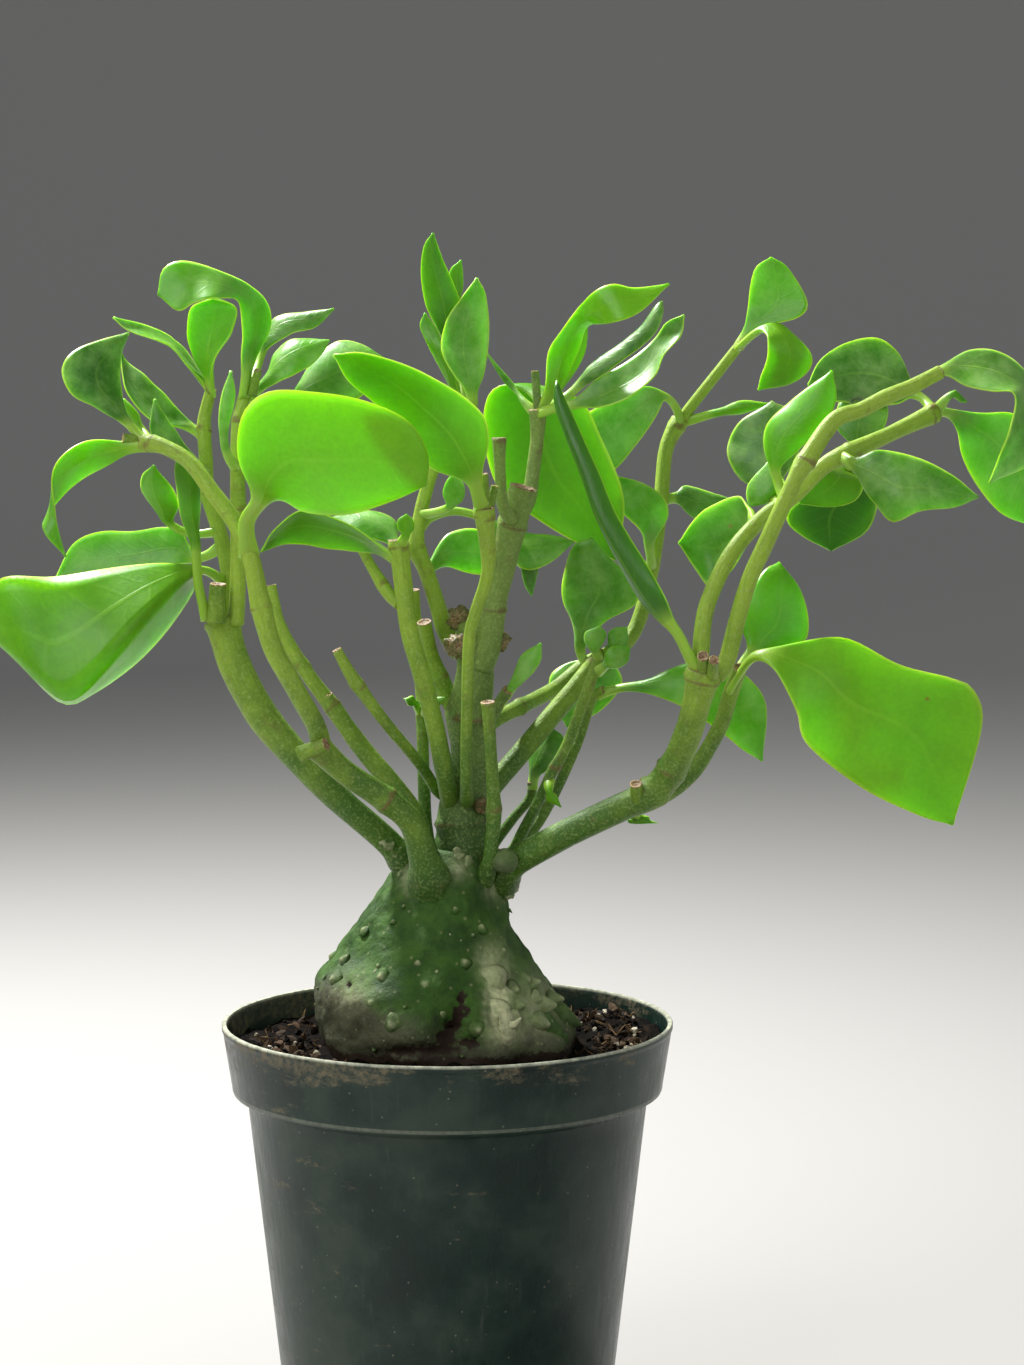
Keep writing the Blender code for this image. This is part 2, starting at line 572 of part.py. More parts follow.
    # the slim pale leaf between the shoots
    made += leaf([(-73.0, 340.1, 6.6), (-75.4, 342.9, 13.2), (-77.5, 346.7, 16.5)],
                 [(-79.5, 355.8, 18.1), (-78.4, 366.2, 18.1)], [(-76.0, 355.8, 18.1), (-73.8, 366.2,
                         18.1)], (-75.2, 374.5, 16.5), cup=1)
    return fuse("outer_left_stem", made, [CAUDEX_CUT])


def left_stem():
    """The stem from the front of the caudex to the left, with the big front leaf and the arching ones."""
    made = [stem([(-5.8, 192.3, 14), (-7.9, 200.9, 21), (-12.5, 215.1, 26.1), (-21.6, 223.7, 29.8),
                  (-35.7, 233.3, 34.4), (-46.6, 243.2, 39)],
                 [6.6, 5.4, 4.4, 4.3, 4.2, 4.4], rings=[0.55, 0.98])]
    made += [stem([(-44.1, 240.7, 36.5), (-46.2, 250.0, 40.6), (-53.2, 262.7, 45), (-61.2, 277.6, 46.2),
                   (-65.6, 293.8, 46.2), (-68.7, 308.9, 46.2), (-74.2, 321.5, 44.5),
                   (-81.8, 332.0, 41.2), (-90.1, 342.9, 36.3), (-98.8, 348.1, 33), (-106.1, 349.8, 29.7)],
                  [3.6, 3.3, 3.3, 3.3, 3.3, 3.0, 2.9, 2.8, 2.6, 2.6, 2.8], rings=[0.42, 0.97])]
    made += [stub([(-105.4, 349.8, 28), (-113.1, 351.2, 29.7)], 1.9), stub([(-51.9, 240.0, 41.4),
            (-42.7, 243.6, 44.6)], 2.6)]
    # the big leaf in front
    made += leaf([(-69.4, 309.9, 46.2), (-70.0, 321.9, 54.4), (-64.7, 329.6, 62.7)],
                 [(-71.9, 340.1, 71), (-73.3, 351.2, 74.2), (-70.0, 362.0, 75.9), (-60.9, 367.9, 75.9),
                  (-45.9, 366.9, 77.5), (-28.4, 364.1, 77.5), (-13.4, 357.2, 75.9), (-6.5, 345.3, 72.6)],
                 [(-58.0, 329.9, 59.4), (-49.6, 325.4, 56.1), (-35.6, 324.3, 59.4), (-18.1, 329.6,
                         66)], (-7.2, 334.8, 69.3), cup=4)
    # the leaf that arches left and twists down
    made += leaf([(-103.7, 348.4, 31.3), (-106.5, 348.4, 29.7), (-109.3, 348.4, 29.7)],
                 [(-118.4, 350.5, 29.7), (-127.5, 349.8, 33), (-134.5, 345.3, 37.9), (-138.1, 337.3, 41.2),
                  (-137.6, 327.1, 36.3), (-135.9, 318.4, 36.3)],
                 [(-117.1, 342.5, 28), (-125.5, 338.3, 21.4), (-133.3, 333.1, 21.4), (-139.3, 324.7, 26.4),
                  (-141.2, 318.4, 36.3)], (-133.6, 309.6, 36.3))
    # the dark leaf that curls up at the far left, and the small one behind it
    made += leaf([(-104.0, 348.8, 31.3), (-107.2, 351.9, 28), (-111.3, 356.1, 26.4)],
                 [(-116.9, 358.5, 28), (-123.8, 362.4, 31.3), (-131.4, 366.9, 33), (-134.8, 374.5, 33),
                  (-130.9, 380.8, 29.7), (-121.5, 385.0, 23.1)],
                 [(-112.6, 362.7, 21.4), (-113.6, 369.7, 18.1), (-113.9, 378.4, 14.8)], (-111.0, 387.7,
                         13.2), cup=3)
    made += leaf([(-103.0, 349.1, 26.4), (-105.1, 351.9, 13.2), (-107.1, 354.7, 8.2)],
                 [(-109.6, 356.8, 6.6), (-112.0, 360.3, 6.6)], [(-107.4, 359.2, 8.2), (-110.2, 362.7, 8.2)],
                 (-112.6, 364.8, 6.6))
    return fuse("left_stem", made, [CAUDEX_CUT])


def cut_left_stem():
    """The bare stem between them, cut flat at its top."""
    made = [stem([(-8.2, 203.7, 10), (-11.4, 218.0, 12.2), (-21.2, 231.5, 12.8), (-30.0, 242.2, 11.9),
                  (-39.8, 256.0, 10.8), (-49.6, 269.1, 9.9), (-58.7, 285.3, 8.2), (-62.1, 299.4, 6.6)],
                 [4.0, 3.6, 3.5, 3.3, 2.9, 2.5, 2.3, 2.2], rings=[0.56, 0.72])]
    made += [stub([(-40.2, 256.3, 10.8), (-41.6, 261.3, 12.8)], 1.4)]
    return fuse("cut_left_stem", made, [CAUDEX_CUT])


def short_cut_stem():
    """The thin cut stem that leans left from the trunk's lower ring."""
    made = [stem([(0.6, 224.4, -4.3), (-3.6, 227.2, 0), (-9.6, 236.5, 8.7), (-21.5, 251.0, 23.5),
                  (-32.7, 266.3, 29.4), (-38.7, 276.9, 31.3)],
                 [2.2, 2.0, 2.0, 2.0, 2.2, 1.7], rings=[0.8])]
    return fuse("short_cut_stem", made, [TRUNK_CUT])


def middle_stem():
    """The straight stem left of the trunk, with the dark leaves at its top."""
    made = [stem([(1.3, 223.0, 3.2), (-0.1, 228.7, 10.1), (-3.9, 248.2, 17.1), (-9.1, 268.7, 21.4),
                  (-13.3, 283.9, 21.4), (-15.7, 303.3, 19.8), (-17.1, 315.6, 19.8)],
                 [3.6, 3.2, 3.2, 3.1, 3.1, 3.2, 3.3], rings=[0.97])]
    made += [stem([(-16.4, 293.1, 19.8), (-20.3, 296.6, 16.5), (-25.5, 304.7, 11.5), (-30.4, 313.5, 6.6)],
                  [2.4, 2.2, 1.9, 1.7], rings=[0.35])]
    made += leaf([(-17.1, 307.8, 19.8), (-18.9, 309.2, 19.8), (-21.3, 310.3, 19.8)],
                 [(-26.2, 315.6, 23.1), (-37.4, 322.6, 26.4), (-50.7, 325.7, 28), (-60.2, 319.4,
                         28)], [(-27.6, 311.3, 14.8), (-40.9, 312.4, 14.8), (-55.0, 314.2, 18.1)], (-65.1,
                         311.3, 24.8), cup=2)
    made += leaf([(-16.7, 309.9, 19.8), (-17.1, 312.1, 13.2), (-17.8, 314.2, 9.9)],
                 [(-17.8, 321.9, 3.3), (-25.5, 325.7, -1.6), (-35.6, 325.4, -4.9)], [(-23.4, 315.2, 9.9),
                         (-33.2, 318.4, 9.9)], (-43.7, 321.2, 3.3), cup=-1)
    made += leaf([(-16.4, 313.5, 21.4), (-15.0, 315.6, 24.8), (-14.3, 317.0, 24.8)], [(-17.1, 319.1, 24.8),
            (-17.1, 322.6, 24.8)], [(-11.5, 319.1, 24.8), (-11.8, 322.6, 24.8)], (-14.2, 324.7, 24.8))
    return fuse("middle_stem", made, [TRUNK_CUT])


def back_middle_stem():
    """The thin upright stem behind the middle one."""
    made = [stem([(-6.1, 203.0, -4), (-7.5, 210.9, -6), (-8.5, 239.3, -10.3), (-8.8, 257.1, -13.9),
                  (-10.5, 280.4, -13.2), (-11.5, 298.0, -9.9)],
                 [2.6, 2.3, 2.2, 2.1, 2.0, 1.9], rings=[0.52])]
    made += leaf([(-8.8, 254.9, -13.7), (-10.2, 256.3, -9.2), (-10.9, 257.8, -7.8)], [(-13.4, 257.1, -6.2)],
                 [(-12.0, 260.6, -6.4)], (-14.8, 259.5, -4.7))
    made += leaf([(-8.8, 254.9, -13.7), (-6.7, 256.3, -3.1), (-4.9, 257.8, 1.6)], [(-3.9, 256.0, 3.1)],
                 [(-3.2, 260.2, 3.2)], (-0.3, 260.2, 4.8))
    return fuse("back_middle_stem", made, [CAUDEX_CUT, TRUNK_CUT])


def top_stem():
    """The stem off the left of the trunk that carries the topmost leaves."""
    made = [stem([(5.0, 276.1, -4.9), (-0.3, 283.2, -8.2), (-3.4, 293.1, -9.9), (-7.3, 305.0, -11.5),
                  (-10.4, 312.4, -13.2), (-10.0, 320.5, -14.8), (-5.1, 339.4, -16.5),
                  (1.9, 353.3, -14.8), (9.3, 363.1, -13.2)], [3.8, 3.2, 2.9, 2.8, 3.0, 2.6, 2.3, 2.1,
                          2.0], rings=[0.4])]
    # the four leaves of the top
    made += leaf([(5.4, 358.2, -14.8), (3.3, 367.9, -19.8), (1.6, 381.1, -21.4)],
                 [(-2.9, 388.8, -19.8), (-7.1, 397.4, -19.8), (-8.8, 408.8, -18.1), (-7.7, 417.8,
                         -16.5)], [(5.1, 395.0, -19.8), (3.4, 402.6, -21.4), (-0.8, 412.3, -19.8)],
                 (-4.6, 422.3, -16.5), cup=1)
    made += leaf([(5.4, 358.2, -14.8), (4.8, 374.9, -31.3), (3.7, 397.4, -33)], [(1.7, 403.7, -33),
            (1.3, 409.5, -33)], [(5.8, 403.3, -33), (5.8, 409.2, -33)], (5.2, 413.0, -33))
    made += leaf([(8.9, 361.7, -13.2), (9.3, 363.8, -11.5), (8.9, 366.6, -9.9)],
                 [(3.0, 372.8, -6.6), (-1.5, 381.8, -4.9), (0.2, 392.2, -6.6), (5.5, 400.2, -9.9)], [(13.1,
                         373.2, -9.9), (14.9, 388.8, -11.5), (13.8, 400.9, -13.2)],
                 (10.7, 406.8, -13.2), cup=-2)
    made += leaf([(6.8, 359.6, -14.8), (5.1, 363.8, -14.8), (2.6, 367.9, -14.8)], [(-1.9, 374.9, -13.2),
            (-6.4, 383.6, -13.2), (-9.2, 390.2, -14.8)], [(2.7, 374.2, -9.9), (-1.2, 382.5, -9.9),
            (-3.2, 388.8, -13.2)],
                 (-7.4, 394.7, -14.8))
    # the leaf that crosses behind the trunk to the right
    made += leaf([(-10.1, 319.1, -14.8), (-5.8, 323.3, -19.8), (2.9, 325.7, -26.4), (13.1, 323.6, -28)],
                 [(20.4, 320.1, -29.7), (29.2, 318.0, -29.7), (39.7, 316.6, -26.4)], [(18.7, 313.5, -21.4),
                         (27.1, 305.4, -19.8), (36.2, 307.5, -19.8)], (44.6, 314.9, -23.1), cup=2)
    # the bright leaf under it, and the small dark one above
    made += leaf([(-5.5, 300.1, -11.5), (-7.3, 302.2, -16.5), (-6.6, 305.0, -21.4)],
                 [(-3.1, 313.5, -24.8), (1.9, 318.4, -28), (12.4, 318.7, -29.7)], [(-0.3, 306.4, -24.8),
                         (7.5, 304.0, -28), (15.9, 303.6, -29.7)], (24.3, 307.8, -33), cup=2)
    made += leaf([(-9.0, 324.3, -14.8), (-3.0, 325.4, -8.2), (1.2, 326.8, -4.9)], [(-1.3, 331.3, -3.3),
            (-0.2, 335.9, -3.3)], [(5.7, 329.6, -3.3), (6.1, 334.8, -3.3)], (2.6, 339.4, -3.3))
    return fuse("top_stem", made, [TRUNK_CUT])


def pale_stem():
    """The short pale stem off the left side of the trunk."""
    made = [stem([(7.4, 245.0, -1.4), (3.9, 253.5, -4.5), (-0.7, 262.7, -6.4), (-5.6, 275.1, -4.9),
                  (-8.0, 286.7, 0)], [3.6, 3.3, 3.2, 2.8, 2.5], rings=[0.5])]
    return fuse("pale_stem", made, [TRUNK_CUT])


def front_cut_stem():
    """The thin cut stem that stands in front of the trunk on the right."""
    made = [stem([(12.6, 193.7, 11), (14.8, 200.9, 16), (15.5, 207.3, 18), (16.5, 218.7, 19.4),
                  (15.5, 239.3, 23.1), (14.4, 258.5, 26.6)], [2.6, 2.5, 2.3, 2.5, 2.1, 2.2],
                 rings=[0.42, 0.98])]
    return fuse("front_cut_stem", made, [CAUDEX_CUT, TRUNK_CUT])


def front_stem():
    """The thin stem in front of the trunk, with the large leaf that leans left."""
    made = [stem([(7.0, 223.3, 8.5), (6.7, 229.4, 18.1), (7.0, 255.6, 26), (7.8, 280.4, 29.7), (10.2, 290.3,
            33), (14.5, 305.4, 36.3), (13.1, 326.8, 39.6)],
                 [2.6, 2.1, 2.0, 2.0, 2.1, 2.3, 3.4], rings=[0.97])]
    made += [stub([(13.8, 326.8, 41.2), (13.1, 338.7, 42.9)], 1.5),
             stub([(15.2, 326.8, 37.9), (16.9, 334.5, 37.9)], 1.4)]
    made += leaf([(13.1, 325.4, 39.6), (11.3, 330.3, 44.5), (9.9, 336.6, 47.8)],
                 [(14.2, 346.3, 49.5), (14.2, 355.8, 51.1), (10.7, 361.7, 52.8), (0.6, 369.0, 56.1),
                  (-14.4, 376.6, 59.4), (-29.4, 380.8, 62.7)],
                 [(3.3, 337.6, 47.8), (-5.8, 340.8, 47.8), (-14.9, 350.5, 49.5), (-24.6, 362.7, 52.8),
                  (-34.3, 371.1, 59.4)], (-39.2, 380.1, 62.7), cup=2)
    return fuse("front_stem", made, [TRUNK_CUT])


def trunk():
    """The trunk, its cut top, the thin stub and the leafy shoot that grow out of it."""
    made = [stem(TRUNK_LINE, TRUNK_RADII, rings=[0.2, 0.62], sides=10)]
    made += [stem([(11.3, 270.5, 3.3), (14.8, 280.4, 4.9), (16.2, 293.1, 6.6), (20.4, 308.5, 8.2),
                   (23.6, 322.9, 9.9), (26.8, 334.1, 11.5)],
                 [5.0, 4.9, 4.6, 4.4, 4.8, 4.6], rings=[0.32, 0.78])]
    made += [stem([(22.9, 322.6, 13.2), (19.7, 327.8, 21.4), (18.7, 340.1, 24.8), (18.4, 351.2, 24.8)],
                  [2.6, 2.1, 1.9, 2.2], rings=[0.97])]
    made += [stem([(24.3, 321.9, 6.6), (28.5, 329.6, -8.2), (29.9, 336.6, -11.5), (31.6, 350.5, -13.2),
                   (32.0, 361.0, -13.2)], [3.2, 2.8, 2.5, 2.4, 2.9], rings=[0.97])]
    made += [stub([(32.0, 360.3, -13.2), (30.9, 374.5, -13.2)], 1.5),
             stub([(13.7, 250.7, 7.3), (21.5, 262.7, 16.1)], 2.2)]
    # the dried knobs where stems have broken off
    made += [knob((3.6, 278.3, 8.2), 4.0), knob((4.3, 288.1, 0), 3.8), knob((18.7, 280.4, 3.3), 3.4),
             knob((11.9, 221.5, 6.3), 2.6)]
    # the leaf that rises from the shoot, then folds over to the right
    made += leaf([(32.0, 359.6, -13.2), (34.1, 363.1, -13.2), (35.5, 365.9, -13.2)],
                 [(35.1, 371.4, -9.9), (35.8, 381.8, -9.9), (41.7, 390.5, -3.3), (50.1, 400.9, 4.9),
                  (57.7, 404.7, 6.6), (65.7, 403.3, 6.6)],
                 [(39.7, 368.6, -13.2), (46.3, 381.8, -16.5), (49.4, 390.2, -11.5), (57.8, 391.2, 9.9),
                  (67.5, 395.0, 11.5)], (77.6, 404.7, 6.6))
    # the slim pale leaf and the two rolled ones beside it
    made += leaf([(32.3, 359.9, -14.8), (36.2, 363.8, -23.1), (38.6, 367.9, -28)], [(40.3, 374.9, -29.7),
            (44.9, 383.9, -29.7)], [(43.5, 372.1, -29.7), (48.4, 381.1, -29.7)], (49.4, 391.5, -29.7))
    made += leaf([(32.3, 360.3, -14.8), (40.4, 364.5, -19.8), (46.6, 369.3, -19.8)],
                 [(50.1, 376.3, -19.8), (60.6, 383.6, -19.8), (68.2, 390.5, -16.5), (72.7, 396.7,
                         -16.5)], [(53.6, 372.5, -14.8), (64.8, 380.8, -11.5), (72.8, 387.7, -11.5),
                                   (75.5, 394.7, -13.2)],
                 (75.1, 398.5, -16.5), cup=2)
    made += leaf([(32.3, 359.9, -11.5), (38.3, 361.7, -6.6), (43.9, 362.7, -3.3)],
                 [(46.6, 365.9, -1.6), (53.6, 372.5, -1.6), (64.1, 378.4, -1.6), (72.8, 386.0, -1.6),
                  (76.9, 391.5, 0)],
                 [(53.6, 362.0, 6.6), (64.8, 365.9, 9.9), (72.8, 373.2, 9.9), (75.9, 380.1, 8.2),
                  (81.8, 387.0, 4.9)], (82.8, 394.0, 3.3), cup=-2)
    # the narrow leaf to the left and the large leaf behind
    made += leaf([(31.6, 359.6, -13.2), (29.5, 361.3, -13.2), (27.8, 362.7, -14.8)], [(23.9, 369.7, -21.4),
            (18.7, 375.6, -24.8)], [(25.7, 365.2, -18.1), (19.8, 371.1, -23.1)], (13.8, 381.1, -28))
    made += leaf([(32.0, 359.6, -14.8), (33.0, 361.7, -19.8), (33.4, 363.8, -23.1)],
                 [(22.2, 370.0, -29.7), (14.5, 365.9, -33), (13.1, 350.5, -36.3), (18.7, 332.4, -39.6),
                  (29.6, 324.3, -39.6), (42.5, 316.3, -39.6)],
                 [(46.0, 365.2, -33), (54.4, 350.5, -36.3), (62.1, 329.6, -37.9)], (59.4, 308.5,
                         -39.6), cup=3)
    # the small glossy leaf low on the right
    made += leaf([(18.3, 257.8, 12.5), (20.8, 260.2, 14.3), (22.5, 262.7, 14.5)], [(23.6, 268.0, 14.8),
            (26.4, 275.1, 16.5)], [(27.1, 265.5, 17.9), (32.8, 272.6, 19.8)], (33.1, 279.3, 18.1), cup=1)
    return fuse("trunk", made, [CAUDEX_CUT])


def dark_right_stem():
    """The thick dark stem behind the trunk on the right."""
    made = [stem([(11.6, 223.7, -4.3), (17.6, 230.4, -9.2), (32.8, 248.6, -15.7), (46.8, 265.2, -21.1),
                  (53.5, 273.3, -23.1)], [3.9, 3.7, 3.6, 3.5, 3.3], rings=[0.96])]
    # the leaf that stands on its end
    made += leaf([(51.8, 270.5, -23.1), (48.2, 272.6, -24.8), (46.1, 276.1, -26.4)],
                 [(44.3, 286.0, -28), (40.8, 294.5, -29.7), (41.2, 304.3, -29.7), (44.6, 313.8,
                         -28)], [(55.6, 286.7, -23.1), (66.5, 293.1, -23.1), (65.7, 301.5, -23.1),
                                 (58.0, 308.5, -24.8)],
                 (51.0, 316.3, -26.4), cup=2)
    return fuse("dark_right_stem", made, [TRUNK_CUT])


def back_right_stem():
    """The pale stem that crosses behind and rises to a fork at the upper right."""
    made = [stem([(13.0, 249.3, -1.4), (16.6, 252.1, -7.4), (21.5, 254.6, -13.7), (37.3, 262.7, -33.8),
                  (48.6, 271.6, -44.5), (64.4, 281.1, -52.8), (71.7, 304.0, -59.4),
                   (75.1, 329.6, -66), (76.8, 347.0, -71), (81.6, 357.5, -74.2)], [3.4, 3.0, 2.7, 2.8, 2.8,
                           2.8, 2.7, 2.7, 2.7, 3.2], rings=[0.13, 0.98])]
    made += [stem([(81.6, 356.1, -74.2), (85.1, 361.7, -72.6), (94.1, 373.2, -69.3), (103.4, 385.0, -66)],
                  [2.4, 2.1, 2.0, 1.9])]
    # the two leaves at the top of the fork
    made += leaf([(101.7, 382.5, -66), (103.1, 385.0, -66), (104.1, 387.0, -66)],
                 [(104.8, 395.0, -66), (106.1, 405.0, -66), (108.1, 410.9, -64.3)], [(112.1, 390.5, -62.7),
                         (122.2, 392.9, -59.4), (126.0, 397.4, -59.4), (122.8, 404.7, -61), (117.9, 411.3,
                         -64.3)],
                 (113.0, 414.0, -66), cup=-1)
    made += leaf([(101.7, 382.5, -66), (104.8, 385.3, -62.7), (108.6, 388.8, -59.4)],
                 [(114.9, 391.2, -59.4), (121.9, 386.7, -56.1), (127.2, 380.1, -56.1), (126.2, 374.5,
                         -56.1), (120.0, 370.0, -54.4)],
                 [(111.4, 387.4, -52.8), (112.2, 383.6, -49.5), (111.9, 378.4, -49.5), (109.8, 372.8,
                         -51.1)], (108.8, 367.9, -52.8))
    # the narrow leaf to the right and the spotted leaf to the left
    made += leaf([(81.6, 356.8, -74.2), (86.9, 357.9, -72.6), (92.8, 359.6, -71)], [(102.5, 364.1, -69.3)],
                 [(102.6, 359.6, -69.3)], (113.0, 363.1, -67.6), cup=1)
    made += leaf([(82.3, 356.1, -72.6), (80.2, 361.7, -69.3), (78.4, 364.8, -67.6), (76.0, 366.9, -67.6)],
                 [(70.4, 369.3, -66), (62.4, 366.6, -61), (53.6, 362.4, -57.8), (45.6, 355.8,
                         -54.4)], [(74.6, 361.7, -62.7), (69.7, 353.3, -61), (59.6, 340.8, -57.8),
                                   (52.7, 338.3, -56.1)],
                 (47.7, 340.8, -54.4), cup=2)
    # the leaves on its middle
    made += leaf([(72.0, 304.3, -59.4), (71.7, 309.2, -54.4), (70.6, 313.5, -51.1)],
                 [(77.2, 322.6, -49.5), (76.1, 330.3, -47.8), (67.7, 335.9, -47.8)], [(67.8, 319.1, -46.2),
                         (59.7, 326.8, -44.5), (54.4, 333.1, -46.2)], (55.1, 338.7, -47.8), cup=2)
    made += leaf([(75.1, 328.9, -66), (77.5, 330.3, -67.6), (80.3, 330.3, -69.3)], [(83.1, 334.5, -71),
            (90.8, 332.7, -71)], [(83.9, 325.4, -67.6), (88.8, 323.3, -67.6)], (99.3, 329.9, -71), cup=1)
    made += leaf([(52.8, 273.7, -46.2), (51.8, 274.7, -54.4), (50.3, 273.7, -61)], [(43.3, 272.6, -62.7),
            (36.6, 268.0, -62.4), (36.6, 259.2, -59.8)],
                 [(58.1, 271.9, -62.7), (61.6, 264.8, -61.7), (53.9, 255.3, -58)], (42.3, 249.6,
                         -55), cup=-2)
    return fuse("back_right_stem", made, [TRUNK_CUT])


def thin_right_stem():
    """The thin stem right of the trunk that ends in a curled tuft."""
    made = [stem([(19.7, 194.4, -8), (24.3, 207.3, -5), (31.4, 221.5, -1), (37.0, 233.3, -1.2),
                  (43.0, 245.0, -1.4), (51.4, 268.0, -3.3), (54.9, 276.9, -3.3)],
                 [2.4, 2.1, 1.9, 1.9, 1.9, 2.0, 2.0], rings=[0.5])]
    made += leaf([(53.9, 273.3, -3.3), (52.8, 276.1, 0), (51.7, 277.6, 1.6)], [(48.6, 279.7, 3.3),
            (48.9, 283.2, 3.3)], [(54.2, 278.3, 3.3), (56.0, 282.5, 3.3)], (53.8, 285.3, 4.9), cup=1)
    made += leaf([(54.2, 273.3, -3.3), (56.7, 276.1, -1.6), (58.1, 278.3, 0)], [(56.7, 282.5, 0),
            (59.5, 284.6, -1.6)], [(62.3, 276.1, 1.6), (63.7, 280.4, 0)], (63.0, 284.6, -1.6), cup=1)
    made += leaf([(52.8, 269.1, -3.3), (54.9, 270.5, 1.6), (56.3, 271.9, 3.3)], [(56.0, 276.1, 6.6),
            (58.8, 278.3, 6.6)], [(60.2, 270.5, 6.6), (63.7, 273.3, 4.9)], (64.1, 277.6, 4.9), cup=1)
    made += leaf([(36.0, 230.8, -1.2), (35.6, 228.7, 2.2), (36.0, 227.2, 3.3)], [(34.9, 223.7, 3.2)],
                 [(38.8, 225.1, 3.2)], (40.2, 221.2, 3.1))
    return fuse("thin_right_stem", made, [CAUDEX_CUT, TRUNK_CUT])


def leaf_bearing_stem():
    """The short thin stem in the middle right with one glossy leaf."""
    made = [stem([(11.2, 193.7, -17), (14.8, 205.1, -21), (22.9, 216.6, -20.2), (29.3, 224.4, -20.4),
                  (30.0, 230.1, -19.4)], [2.2, 2.0, 1.8, 1.7, 1.7])]
    made += leaf([(30.0, 227.2, -18.8), (30.3, 230.1, -19.4), (30.7, 232.2, -19.9)], [(28.9, 237.9, -22.7),
            (29.6, 244.3, -24.5)], [(35.6, 234.4, -16.8), (40.5, 241.5, -19.7), (40.9, 246.1, -22.3)],
                 (37.0, 248.9, -25.8), cup=2)
    return fuse("leaf_bearing_stem", made, [CAUDEX_CUT, TRUNK_CUT])


